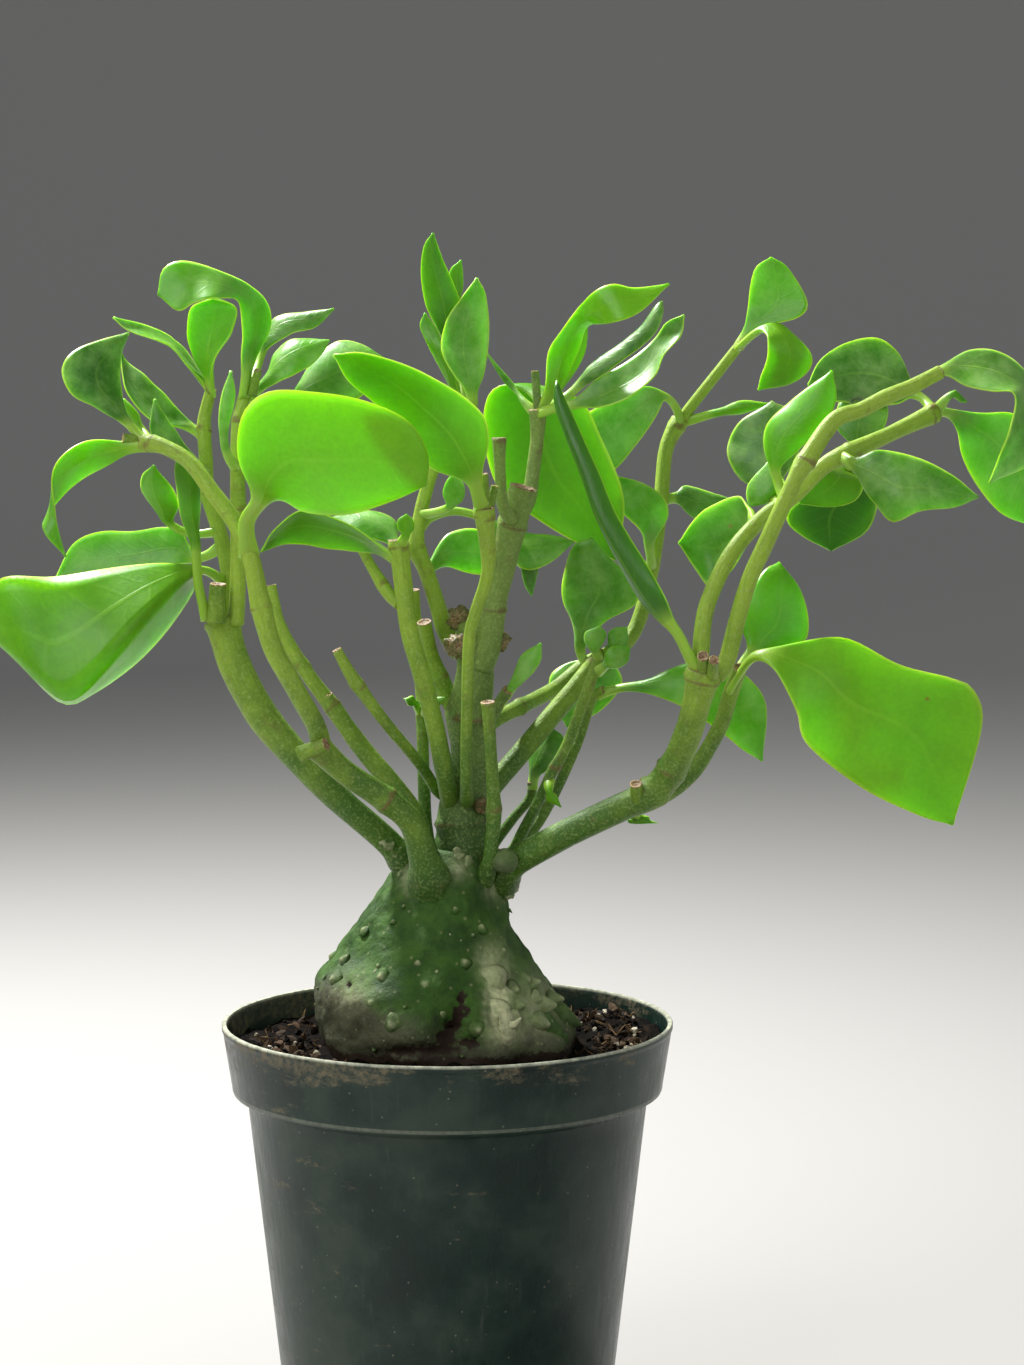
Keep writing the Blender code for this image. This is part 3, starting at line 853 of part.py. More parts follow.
def right_branch():
    """The thick branch to the right, its two long shoots, and their leaves."""
    made = [stem([(17.9, 194.4, 2), (23.3, 201.2, 9), (43.4, 212.3, 18), (61.1, 220.8, 20.8), (71.6, 225.8,
            22.8), (79.0, 234.0, 26.4), (85.0, 247.5, 33.9), (88.1, 259.2, 39.3),
                   (90.5, 269.8, 41.2)], [5.6, 5.2, 4.9, 4.9, 5.2, 5.0, 4.8, 4.9, 5.4], rings=[0.57, 0.66,
                           0.97], sides=8)]
    made += [stem([(70.9, 223.7, 21.3), (78.0, 226.2, 15.3), (86.4, 233.3, 11.9), (92.0, 241.8, 11.9),
                   (96.9, 251.4, 14.7), (100.0, 262.0, 19.2), (103.1, 270.5, 24.7)],
                 [3.0, 2.9, 2.9, 2.8, 2.8, 2.8, 2.6])]
    made += [stem([(89.4, 269.1, 41.1), (89.4, 276.9, 41.2), (91.1, 291.3, 39.6), (97.0, 305.7, 36.3),
                   (103.2, 315.2, 33), (111.9, 324.3, 28), (118.5, 328.5, 26.4), (123.7, 333.1, 24.8),
                   (131.7, 341.1, 23.1), (138.0, 344.9, 23.1), (155.7, 353.0, 14.8), (171.0, 360.3, 8.2)],
                  [3.2, 2.9, 2.8, 2.8, 2.8, 2.8, 2.8, 2.8, 2.8, 3.1, 2.7, 3.2], rings=[0.73, 0.98])]
    made += [stem([(94.7, 267.7, 39.4), (98.6, 273.3, 39.6), (102.3, 288.1, 41.2), (106.1, 301.2, 42.9),
                   (112.0, 314.5, 44.5), (117.5, 326.8, 46.2), (122.3, 337.3, 46.2), (125.8, 343.2, 44.5),
                   (135.4, 357.2, 39.6), (144.8, 361.0, 36.3), (153.5, 365.5, 33), (162.9, 369.3,
                           29.7), (172.3, 374.2, 26.4)],
                  [3.4, 3.0, 2.9, 2.8, 2.8, 2.8, 2.8, 3.2, 2.9, 2.7, 2.7, 2.6, 2.4], rings=[0.56])]
    made += [stub([(67.4, 223.0, 24.3), (66.7, 229.4, 28.3)], 2.4),
             stub([(90.5, 268.4, 42.7), (90.1, 274.7, 51.1)], 2.2),
             stub([(93.3, 267.7, 44.3), (94.0, 273.3, 52.8)], 2.0)]
    # the long dark folded leaf
    made += leaf([(89.1, 267.7, 42.6), (85.5, 274.0, 44.5), (80.9, 283.2, 44.5), (77.4, 287.4, 42.9)],
                 [(70.7, 290.6, 37.9), (61.5, 305.4, 33), (53.7, 322.6, 28), (47.7, 340.4, 21.4),
                  (42.1, 352.6, 16.5), (37.9, 363.1, 13.2)],
                 [(79.1, 290.3, 46.2), (75.9, 296.9, 46.2), (69.6, 308.2, 41.2), (59.3, 325.0, 34.6),
                  (53.7, 338.3, 29.7), (46.0, 355.1, 21.4)], (38.6, 371.1, 13.2), cup=4)
    # the big leaf that droops on the right
    made += leaf([(99.7, 262.7, 20.9), (102.5, 267.7, 24.6), (107.7, 274.4, 33), (113.0, 275.8, 37.9)],
                 [(124.2, 279.7, 36.3), (140.4, 281.1, 37.9), (159.5, 271.6, 42.9), (177.1, 267.3, 45.9),
                  (185.6, 262.7, 45), (188.6, 248.6, 40)],
                 [(117.6, 267.0, 44.2), (123.3, 254.9, 45.7), (127.3, 243.2, 41.7), (147.2, 227.6, 34.4),
                  (167.1, 218.0, 29.5)], (178.8, 214.8, 27.1), cup=-3)
    # the leaf behind the two shoots
    made += leaf([(101.4, 265.5, 21.2), (103.8, 271.9, 13.2), (107.7, 276.9, 6.6)], [(103.4, 285.7, 4.9),
            (106.8, 297.3, 1.6), (111.3, 304.7, -1.6)],
                 [(123.5, 278.3, 3.3), (127.3, 285.7, 1.6), (123.7, 298.7, -1.6)], (116.6, 307.5,
                         -4.9), cup=2)
    # the small leaf under the branch
    made += leaf([(65.3, 222.6, 20), (66.0, 219.4, 15.4), (67.4, 218.0, 13.2)], [(63.9, 216.9, 12.1),
            (65.3, 215.1, 12.1)], [(71.0, 218.0, 12.2), (71.7, 216.6, 12.1)], (74.2, 215.5, 12.1))
    # the leaves around the bend: speckled, small bright, pale and folded
    made += leaf([(118.9, 328.5, 24.8), (116.4, 334.5, 19.8), (114.6, 340.1, 18.1)],
                 [(111.4, 347.0, 16.5), (112.0, 355.8, 16.5), (120.0, 363.8, 16.5), (127.6, 369.7,
                         18.1)], [(121.9, 346.0, 21.4), (132.0, 355.8, 23.1), (136.1, 364.5, 21.4)], (134.6,
                         374.5, 18.1), cup=2)
    made += leaf([(116.8, 326.8, 24.8), (115.7, 328.9, 16.5), (114.3, 330.3, 13.2)], [(106.6, 327.5, 11.5),
            (105.2, 333.4, 9.9), (108.0, 338.0, 9.9)], [(116.4, 333.8, 14.8), (116.4, 338.3, 13.2)],
                 (112.8, 342.9, 9.9), cup=1)
    made += leaf([(119.9, 329.6, 23.1), (118.5, 333.8, 6.6), (116.0, 335.9, 0)],
                 [(105.5, 335.2, -6.6), (99.5, 341.8, -9.9), (98.4, 348.8, -13.2), (102.6, 356.8,
                         -13.2)], [(120.9, 341.8, -3.3), (124.6, 351.6, -6.6), (121.8, 359.9,
                         -9.9)], (113.7, 363.8, -13.2), cup=2)
    made += leaf([(108.4, 319.8, 28), (107.4, 322.6, 19.8), (105.9, 325.4, 14.8)],
                 [(101.7, 331.0, 0), (93.0, 327.5, -6.6), (86.7, 322.6, -9.9)], [(104.3, 315.6, 9.9),
                         (100.1, 305.0, 1.6), (92.8, 298.7, -4.9), (87.5, 305.0, -8.2)], (81.5, 314.5,
                         -9.9), cup=5)
    # the round leaf, the three at the ring and the bright one to the right
    made += leaf([(170.3, 359.9, 8.2), (167.1, 364.5, 0), (163.3, 367.2, -3.3)],
                 [(160.7, 374.9, -8.2), (157.2, 381.8, -9.9), (150.2, 386.0, -11.5), (139.0, 384.3, -11.5),
                  (130.4, 378.4, -9.9)], [(158.4, 363.4, 0), (150.1, 362.4, 0), (141.0, 363.4, -3.3),
                                          (132.2, 364.8, -4.9)],
                 (126.2, 369.7, -8.2), cup=2)
    made += leaf([(138.7, 345.3, 23.1), (141.1, 347.0, 6.6), (143.2, 348.4, 1.6)], [(136.9, 354.0, -1.6),
            (136.8, 362.7, -4.9), (141.6, 367.2, -8.2)], [(148.8, 348.8, 3.3), (154.0, 357.5, 1.6),
            (153.2, 364.5, -4.9)],
                 (147.9, 369.0, -9.9), cup=1)
    made += leaf([(137.3, 344.6, 23.1), (137.0, 342.5, 9.9), (135.6, 340.8, 4.9)], [(127.9, 340.1, 0),
            (122.3, 333.8, -4.9)], [(145.4, 336.6, 4.9), (143.7, 329.9, 0), (135.0, 327.1, -3.3)],
                 (123.8, 328.2, -6.6), cup=1)
    made += leaf([(138.7, 344.3, 21.4), (141.2, 340.8, 3.3), (140.5, 338.0, -4.9)], [(128.0, 331.7, -9.9),
            (119.6, 325.4, -13.2), (121.8, 318.7, -14.8)], [(148.2, 334.5, -6.6), (150.8, 326.8, -9.9),
            (146.7, 318.0, -14.8)],
                 (134.8, 311.7, -19.8), cup=2)
    made += leaf([(138.3, 344.6, 24.8), (141.2, 343.2, 29.7), (143.6, 341.8, 33)],
                 [(149.5, 347.0, 36.3), (163.9, 344.6, 39.6), (176.9, 338.3, 41.2)], [(145.8, 333.8, 36.3),
                         (150.8, 327.5, 37.9), (156.4, 321.9, 42.9), (165.9, 325.7, 42.9), (178.1, 327.1,
                         42.9)], (186.1, 330.6, 42.9),
                 cup=2)
    # the leaf that arches over at the end of the front shoot
    made += leaf([(168.8, 372.1, 28), (171.6, 374.5, 26.4), (174.0, 375.2, 26.4)],
                 [(179.2, 380.8, 21.4), (190.3, 381.8, 19.8), (200.9, 376.3, 19.8), (209.5, 361.0, 21.4),
                  (206.9, 344.3, 24.8)],
                 [(180.0, 370.0, 31.3), (190.5, 367.6, 36.3), (197.9, 366.6, 39.6), (197.3, 355.8, 42.9),
                  (193.6, 345.3, 42.9)], (189.9, 335.5, 41.2))
    # the leaf at the end of the other shoot, with the small bract beside it
    made += leaf([(170.3, 359.9, 8.2), (173.1, 360.3, 3.3), (175.2, 360.6, -1.6)],
                 [(178.5, 354.0, -3.3), (180.7, 343.6, -8.2), (188.2, 331.0, -9.9), (195.3, 324.3,
                         -11.5)], [(186.8, 359.9, -8.2), (198.3, 359.6, -13.2), (209.6, 350.5, -16.5),
                                   (212.0, 333.1, -18.1)],
                 (204.5, 320.8, -16.5), cup=-2)
    made += leaf([(170.7, 359.6, 8.2), (173.8, 364.5, 11.5), (175.9, 366.2, 11.5)], [(177.9, 367.9, 11.5)],
                 [(179.4, 363.8, 11.5)], (181.8, 363.8, 11.5))
    return fuse("right_branch", made, [CAUDEX_CUT, TRUNK_CUT])


def low_right_leaf_stem():
    """The thin leaf stalk that passes behind the right branch and its long pointed leaf."""
    made = [stem([(16.2, 193.7, -13), (21.5, 203.7, -14), (32.8, 216.6, -16.2), (45.1, 241.5, -18.4),
                  (51.1, 259.2, -20.5), (55.3, 262.7, -19.3)], [2.4, 2.2, 2.0, 1.8, 1.7, 1.7])]
    made += leaf([(53.2, 260.6, -20.7), (57.4, 262.7, -19.3), (61.6, 263.4, -17.8)],
                 [(69.7, 265.5, -16.3), (80.6, 270.9, -14.8), (94.7, 274.4, -13.2), (105.3, 267.7, -9.8),
                  (112.4, 257.1, -9.3)], [(71.5, 261.3, -12.8), (83.9, 256.3, -7.7), (97.0, 247.5, -5.7),
                                          (104.0, 241.8, -5.3)],
                 (111.1, 237.6, -6.3), cup=2)
    return fuse("low_right_leaf_stem", made, [CAUDEX_CUT, TRUNK_CUT])


def main():
    global CAUDEX_CUT, TRUNK_CUT
    clear_scene()
    CAUDEX_CUT = helper(caudex_lump(GAP))
    CAUDEX_CUT.name = "caudex_clearance"
    TRUNK_CUT = helper(stem(TRUNK_LINE, TRUNK_RADII, rings=[0.2, 0.62], sides=10, grow=GAP))
    TRUNK_CUT.name = "trunk_clearance"
    made = {"plastic": [pot()], "soil": [soil(CAUDEX_CUT)], "caudex": [caudex()], "leaf": [], "bark": [],
            "stem": []}
    for build in (outer_left_stem, left_stem, middle_stem, back_middle_stem, top_stem, front_stem,
                  dark_right_stem,
                  back_right_stem, thin_right_stem, leaf_bearing_stem, right_branch, low_right_leaf_stem):
        made["leaf"].append(build())
    for build in (cut_left_stem, short_cut_stem, pale_stem, front_cut_stem):
        made["stem"].append(build())
    made["bark"].append(trunk())
    rough = {"plastic": 0.35, "soil": 0.95, "caudex": 0.6, "bark": 0.6, "stem": 0.55, "leaf": 0.35}
    for kind, objects in made.items():
        look = material(kind, rough[kind])
        for obj in objects:
            obj.data.materials.clear()
            obj.data.materials.append(look)


main()
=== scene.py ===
"""Looks of the potted caudex plant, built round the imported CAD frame. Metres, +Z up, -Y toward the viewer."""

import math
import random

import bpy
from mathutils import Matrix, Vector, noise


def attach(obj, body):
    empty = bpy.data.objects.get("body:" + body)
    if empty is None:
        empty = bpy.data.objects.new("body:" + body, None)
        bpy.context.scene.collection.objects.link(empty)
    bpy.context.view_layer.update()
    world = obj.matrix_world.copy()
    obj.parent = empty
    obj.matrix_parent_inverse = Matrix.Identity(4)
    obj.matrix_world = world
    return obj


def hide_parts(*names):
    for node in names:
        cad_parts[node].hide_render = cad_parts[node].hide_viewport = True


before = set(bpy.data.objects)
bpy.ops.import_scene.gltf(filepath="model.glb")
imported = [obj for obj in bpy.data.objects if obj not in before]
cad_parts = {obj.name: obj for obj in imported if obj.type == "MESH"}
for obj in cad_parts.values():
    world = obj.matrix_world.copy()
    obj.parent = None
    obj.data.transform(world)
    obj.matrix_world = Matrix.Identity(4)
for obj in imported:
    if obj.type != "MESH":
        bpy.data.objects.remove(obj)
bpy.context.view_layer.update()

MM = 0.001
# Routes are in mm as (across, up, toward): across and up are read in the upright plane through
# the pot's axis, and toward slides the point along the line of sight to the viewer.
VIEWER = (22.9, 1130.0, 370.2)
VIEW_DOWN = 5.3
LENS, SENSOR = 85.0, 36.0

# the pot: heights, outside radii, wall and drain holes in mm
POT_HEIGHT, LIP_HEIGHT = 145.0, 23.0
BASE_RADIUS, TAPER, TAPER_HEIGHT = 57.5, 13.7, 119
LIP_RADIUS, LIP_FLARE, WALL = 76.4, 3.6, 1.3
DRAIN_HOLES, DRAIN_RING, DRAIN_RADIUS = 8, 47.0, 4.5
POT_SIDES, DRAIN_SIDES = 160, 40
# bands of the pot's foot from the outside in: width, and how far the next one rises
FOOT_BANDS = [(2.5, 0.0), (0.5, 0.5), (15.0, 0.0), (1.0, -0.3), (6.0, 0.0), (1.0, 0.3)]

SOIL_LEVEL = 136.0
# where the soil lies higher: height, middle as x and y, squared spread
SOIL_HEAPS = [(5.6, 58, 22, 560), (3.0, -62, -14, 420), (2.4, 0, -58, 900)]
SOIL_SIDES, SOIL_RINGS = 240, 66
# heaps of loose bits on the soil: x, y, width
BIT_HEAPS = [(56, 20, 26), (60, -6, 16), (-58, -14, 26), (-48, -38, 20)]
# the share of bits in the heaps, and the radii between which the others lie
HEAP_SHARE, BITS_FROM, BITS_TO = 0.4, 48, 74
# a bit that would reach past this radius, or lie nearer the caudex than that, is left out
INSIDE_WALL, OFF_CENTRE = 73.5, 40
# loose bits: piece, how many, smallest and largest radius, length and flatness, lift, sides, finish
SOIL_BITS = [("soil_bark_chips", 330, 0.6, 1.9, 1.7, 0.5, 0.25, 6, "bark"),
             ("soil_peat_crumbs", 520, 0.5, 1.5, 1.2, 0.8, 0.2, 6, "soil"),
             ("soil_coir_fibres", 120, 0.3, 0.5, 8.0, 1.0, 0.5, 4, "fibre"),
             ("soil_perlite", 46, 0.6, 1.5, 1.1, 0.9, 0.5, 6, "perlite")]

# height, radius and sideways shift of the caudex
CAUDEX_PROFILE = [(114, 21, 0), (118, 33, 0), (126, 41, -0.5), (139, 44, -0.5), (149, 43.7, -2.6),
                  (159, 40.8, -6.2), (171.5, 31.8, -5.3), (186, 24.7, -3.2), (200, 18.2, 0), (207, 12.5, 1)]
CAUDEX_SIDES, CAUDEX_LEVELS = 220, 130
# lobes and hollows of the caudex: angle from the right toward the viewer, height, spreads, amount
SWELLS = [(84, 149, 8, 9, -5.5), (62, 141, 12, 10, 3.0), (33, 138, 13, 9, 4.5), (150, 146, 16, 14, 2.0),
          (112, 152, 20, 12, 1.5), (9, 144, 9, 7, 2.4), (215, 142, 20, 12, 3.0), (290, 139, 18, 12, 4.0)]
# warts the viewer sees: across, up, radius
WARTS = [(11.9, 178.3, 1.4), (2.7, 184.8, 1.0), (-8.0, 174.0, 1.0), (-29.6, 177.2, 1.3),
         (19.4, 169.7, 1.6), (17.6, 160.3, 2.6), (-23.6, 160.3, 1.6), (-8.0, 157.5, 1.5),
         (-2.3, 147.4, 1.5), (-27.2, 151.0, 1.3), (-37.1, 166.5, 1.5), (-40.3, 159.3, 2.0),
         (6.2, 165.7, 1.3), (-10.5, 165.4, 1.3), (-19.8, 143.1, 2.0), (24.0, 155.7, 1.8),
         (28.2, 159.3, 1.8), (32.1, 152.1, 1.8), (18.6, 147.7, 2.4), (23.3, 143.4, 2.4),
         (10.8, 141.2, 1.6), (0.9, 175.4, 1.0)]
LOBE_WARTS = [(35.0, 149.9, 2.6), (38.5, 152.1, 1.9), (30.4, 157.8, 2), (33.2, 143.4, 2.4),
              (25.7, 149.9, 1.6)]
BACK_WARTS, SMALL_WARTS = 26, 60
# a wart, ring by ring: height and width as shares of its radius, and how pale it is
WART_RINGS = [(-0.5, 2.1, 0.0), (-0.05, 1.5, 0.0), (0.3, 1.0, 0.1), (0.6, 0.55, 0.28), (0.8, 0.2, 0.45)]
WART_SIDES = 18
# pale and dark places on the caudex: across, up, spread both ways, strength; the pale ones are partly pale skin
# and partly painted sunlight
PALE = [(18.6, 151.3, 4.2, 13.0, 0.95), (21.1, 141.2, 6.5, 5.0, 0.8), (15.8, 165.7, 4.5, 7.0, 0.5),
        (31.4, 149.9, 9.0, 12.0, 0.4), (-13.9, 195.8, 3.0, 5.0, 0.35), (4.1, 199.4, 3.5, 4.0, 0.35),
        (17.2, 193.7, 3.0, 5.0, 0.4), (-22.3, 141.2, 12.0, 6.0, 0.12), (-34.0, 152.1, 7.0, 9.0, 0.2)]
# the dark places sink the skin and darken it: painted shade in the cleft and pits, and a dark band low at the
# soil line
DARK = [(5.5, 152.1, 1.7, 4.5, 1.0), (3.7, 147.0, 2.2, 4.0, 1.0), (1.9, 142.3, 3.2, 3.6, 1.0),
        (-0.6, 138.0, 4.4, 3.2, 1.0), (7.3, 147.7, 1.4, 3.0, 0.7), (-6.9, 188.0, 3.4, 0.8, 0.6),
        (-34.6, 157.5, 1.3, 1.5, 1.0), (8.0, 136.2, 5.0, 2.4, 0.8), (-4.1, 134.0, 12.0, 2.4, 0.8),
        (-17.0, 133.3, 9.0, 2.0, 0.8)]
# lumps of callus at the crown: route point, radius, flatness
CROWN_LUMPS = [
    ((-21.0, 208.4, 6), 3.6, 0.8), ((-18.1, 205.1, 5), 3.2, 0.9), ((-16.0, 201.6, 4), 3.6, 0.9),
    ((-14.3, 196.6, 8), 3.0, 1.0), ((-11.1, 193.7, 13), 3.4, 0.7), ((-6.1, 190.5, 14), 4.6, 0.55),
    ((-1.2, 193.0, 14), 3.0, 0.8), ((0.6, 199.4, 11), 2.6, 1.3), ((3.8, 203.0, 11), 2.9, 1.2),
    ((6.6, 200.1, 12), 3.0, 1.1), ((9.4, 195.8, 12), 3.2, 0.9), ((12.3, 192.3, 11), 3.4, 0.7),
    ((17.9, 202.6, 9), 3.6, 1.0), ((16.5, 198.0, 8), 3.6, 0.9), ((20.4, 195.8, 5), 3.6, 0.9),
    ((22.5, 193.0, 1), 2.8, 0.9), ((20.8, 190.5, 4), 3.0, 0.8), ((17.2, 191.6, -12), 3.6, 0.8),
    ((11.6, 193.7, -16), 3.6, 0.8), ((2.7, 195.1, -15), 3.8, 0.8), ((-6.1, 198.0, -10), 4.0, 0.8),
    ((-11.8, 198.7, -4), 3.6, 0.9)]
# one more at the foot of the right branch, which is nearly smooth
SMOOTH_LUMP = ((20.4, 201.9, 17), 4.7, 0.95)
# lobes at the caudex's foot: route, radii, how green and how pale
ROOT_LOBES = [
    ([(36.4, 147.7, 9), (40.7, 145.9, 10), (44.2, 144.5, 9), (47.8, 143.1, 8)],
     (4.6, 4.4, 2.6, 0.3), 1.0, 0.1),
    ([(32.9, 145.6, 21), (36.1, 141.2, 22), (38.6, 137.6, 21), (40.7, 134.0, 19)],
     (3.6, 4.6, 4.0, 2.4), 1.0, 0.05),
    ([(19.7, 148.5, 35), (21.1, 143.4, 37), (21.1, 139.1, 37), (19.7, 134.7, 36)],
     (2.0, 2.8, 3.0, 1.6), 0.2, 0.8),
    ([(19.7, 144.9, 36), (22.2, 143.1, 38), (24.0, 143.4, 40), (26.1, 145.6, 41)],
     (2.2, 1.8, 1.2, 0.3), 0.2, 1.0)]
LOBE_LEVELS, LOBE_SIDES = 24, 16

TRUNK_LINE = [(6.6, 198.0, 0), (6.3, 209.4, 0), (5.6, 221.5, 0), (8.8, 239.3, 0), (8.1, 253.9, 1.5),
              (9.9, 268.7, 1.6), (9.2, 279.7, 1.6), (7.8, 286.7, 0)]
TRUNK_RADII = [9.4, 8.8, 8.3, 7.7, 7.9, 6.6, 5.9, 4.2]

LINE_STEPS = 12
STEM_STEP, STEM_SIDES, STUB_SIDES = 1.3, 22, 14
# a stem swells and darkens over the last mm above the caudex, by these shares
FOOT_REACH, FOOT_FLARE, FOOT_DARK = 6.0, 0.3, 0.9
# a stem is darkest at the crown, and reaches its own green this far above it: partly older skin, and partly
# painted shade low down and painted light higher up
OLD_AND_SHADED_TONE, TONE_RISE, CROWN_HEIGHT, GREEN_RISE = -0.2, 0.42, 205, 100
# leaf scars: half widths of the line, the pad below a leaf and the swelling round them, and what they add
SCAR_LINE, SCAR_PAD, SCAR_SWELL = 0.65, (1.9, 1.3), 4.5
SCAR_RISE, SWELL_RISE = 0.12, 0.09
# the cut end of a stem, ring by ring: share of the radius, how deep it is sunk, how dry it is
CUT_END = [(1.0, -0.1, 0.8), (0.84, -0.16, 0.95), (0.7, 0.25, 0.75), (0.35, 0.4, 1.0)]
BALL_SIDES, KNOB_LEVELS, CALLUS_LEVELS = 30, 18, 16
# leaves: rows along a long and a short one, columns across, thickness, stalk, and the stalk's rows
LONG_LEAF, SHORT_LEAF, LEAF_WIDE = 36, 26, 14
LEAF_THICK, STALK_WIDE, STALK_THICK, STALK_STEP = 0.9, 3.2, 2.8, 1.8
LEAF_TIP, STALK_REACH, EASINGS = 0.7, 7.0, 10


# ---- shapes ----


def clear_selection():
    """Leaves nothing selected, in object mode."""
    if bpy.context.mode != "OBJECT":
        bpy.ops.object.mode_set(mode="OBJECT")
    bpy.ops.object.select_all(action="DESELECT")


def stands_for(made, skin, node):
    """The piece gets its finish, rides on the plant's one body and takes a CAD node's place."""
    made.data.materials.append(MATERIALS[skin])
    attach(made, "root")
    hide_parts(node)


class Growth:
    """Points, faces and point values of one piece as it is put together, in mm."""

    def __init__(self, *keys):
        self.points, self.faces, self.marks = [], [], {key: [] for key in keys}

    def add(self, place, *values):
        """Adds a point with its values, and gives its number."""
        self.points.append(place)
        for key, value in zip(self.marks, values):
            self.marks[key].append(value)
        return len(self.points) - 1

    def close(self, rings):
        """Closes the skin between rings of point numbers, and each end with one face."""
        for low, high in zip(rings, rings[1:]):
            for k in range(len(low)):
                n = (k + 1) % len(low)
                self.faces.append((low[k], low[n], high[n], high[k]))
        self.faces += [tuple(rings[-1]), tuple(reversed(rings[0]))]

    def become(self, name, skin, node, slot, smooth=True):
        """Makes the piece that stands for a CAD node, and starts again with nothing."""
        mesh = bpy.data.meshes.new(name)
        mesh.from_pydata([tuple(c * MM for c in p) for p in self.points], [], self.faces)
        for key, values in self.marks.items():
            mesh.attributes.new(key, "FLOAT", "POINT").data.foreach_set("value", values)
        mesh.polygons.foreach_set("use_smooth", [smooth] * len(mesh.polygons))
        mesh.update()
        made = bpy.data.objects.new(name, mesh)
        bpy.context.scene.collection.objects.link(made)
        stands_for(made, skin, node)
        self.__init__(*self.marks)


WOOD = Growth("ring", "cut", "tone", "round_x", "round_y", "run")
BLADES = Growth("across", "along", "upper", "tone")


def clip(value, low=0.0, high=1.0):
    """The value, held between two limits."""
    return max(low, min(high, value))


def bell(*parts):
    """1 where every part is 0, and next to nothing where one is past 2."""
    return math.exp(-sum(part ** 2 for part in parts))


def turns(sides):
    """The angles of points spread evenly over a ring."""
    return [2 * math.pi * k / sides for k in range(sides)]


def between(values, share):
    """The value at a share that counts from one value in a list to the next."""
    k = min(int(share), len(values) - 2)
    return values[k] + (values[k + 1] - values[k]) * (share - k)


def at(point):
    """The place in mm of a route point."""
    across, up, toward = point
    part = toward / VIEWER[1]
    return Vector((across + (VIEWER[0] - across) * part, -toward, up + (VIEWER[2] - up) * part))


def seen_at(place):
    """The plane point (across, up) that lies on the line of sight through a place."""
    part = -place.y / VIEWER[1]
    return (place.x - VIEWER[0] * part) / (1 - part), (place.z - VIEWER[2] * part) / (1 - part)


def smooth_line(route):
    """Closely spaced places along the smooth line through a route's points."""
    points = [at(p) for p in route]
    if len(points) == 2:
        points = [points[0], points[0].lerp(points[1], 0.5), points[1]]
    ends = [points[0] * 2 - points[1]] + points + [points[-1] * 2 - points[-2]]
    line = []
    for i in range(len(points) - 1):
        p0, p1, p2, p3 = ends[i:i + 4]
        for j in range(LINE_STEPS):
            t = j / LINE_STEPS
            line.append(0.5 * (2 * p1 + (p2 - p0) * t + (2 * p0 - 5 * p1 + 4 * p2 - p3) * t * t
                               + (3 * p1 - p0 - 3 * p2 + p3) * t ** 3))
    line.append(points[-1].copy())
    return line


def walk(line):
    """How far each place lies along the line."""
    run = [0.0]
    for a, b in zip(line, line[1:]):
        run.append(run[-1] + (b - a).length)
    return run


def even(line, count):
    """Places evenly spaced along the line, and where each lies between the line's own places."""
    run = walk(line)
    places, shares, i = [], [], 0
    for k in range(count + 1):
        distance = run[-1] * k / count
        while i < len(run) - 2 and run[i + 1] < distance:
            i += 1
        f = min((distance - run[i]) / max(run[i + 1] - run[i], 1e-9), 1.0)
        places.append(line[i].lerp(line[i + 1], f))
        shares.append(i + f)
    return places, shares


def frames_along(places):
    """Two directions square to the line at each place, carried along it without turning."""
    last = len(places) - 1
    tangents = [(places[min(i + 1, last)] - places[max(i - 1, 0)]).normalized() for i in range(last + 1)]
    side = tangents[0].orthogonal().normalized()
    found = []
    for tangent in tangents:
        side = (side - tangent * side.dot(tangent)).normalized()
        found.append((side, tangent.cross(side), tangent))
    return found


def scarred(here, turn, radius, scars):
    """How much a leaf scar shows at a point of a stem's skin, and how much the stem swells for it."""
    scar = swell = 0.0
    for n, place in enumerate(scars):
        quarter = turn + 1.3 * n
        off = here - place + 0.6 * math.sin(turn + 2.1 * n) - 0.5 * abs(math.cos(quarter))
        pad = bell((quarter % math.pi - math.pi / 2) * radius / SCAR_PAD[0], (off - 1.2) / SCAR_PAD[1])
        scar = max(scar, bell(off / SCAR_LINE), pad)
        swell = max(swell, bell(off / SCAR_SWELL) + 0.6 * pad)
    return scar, swell


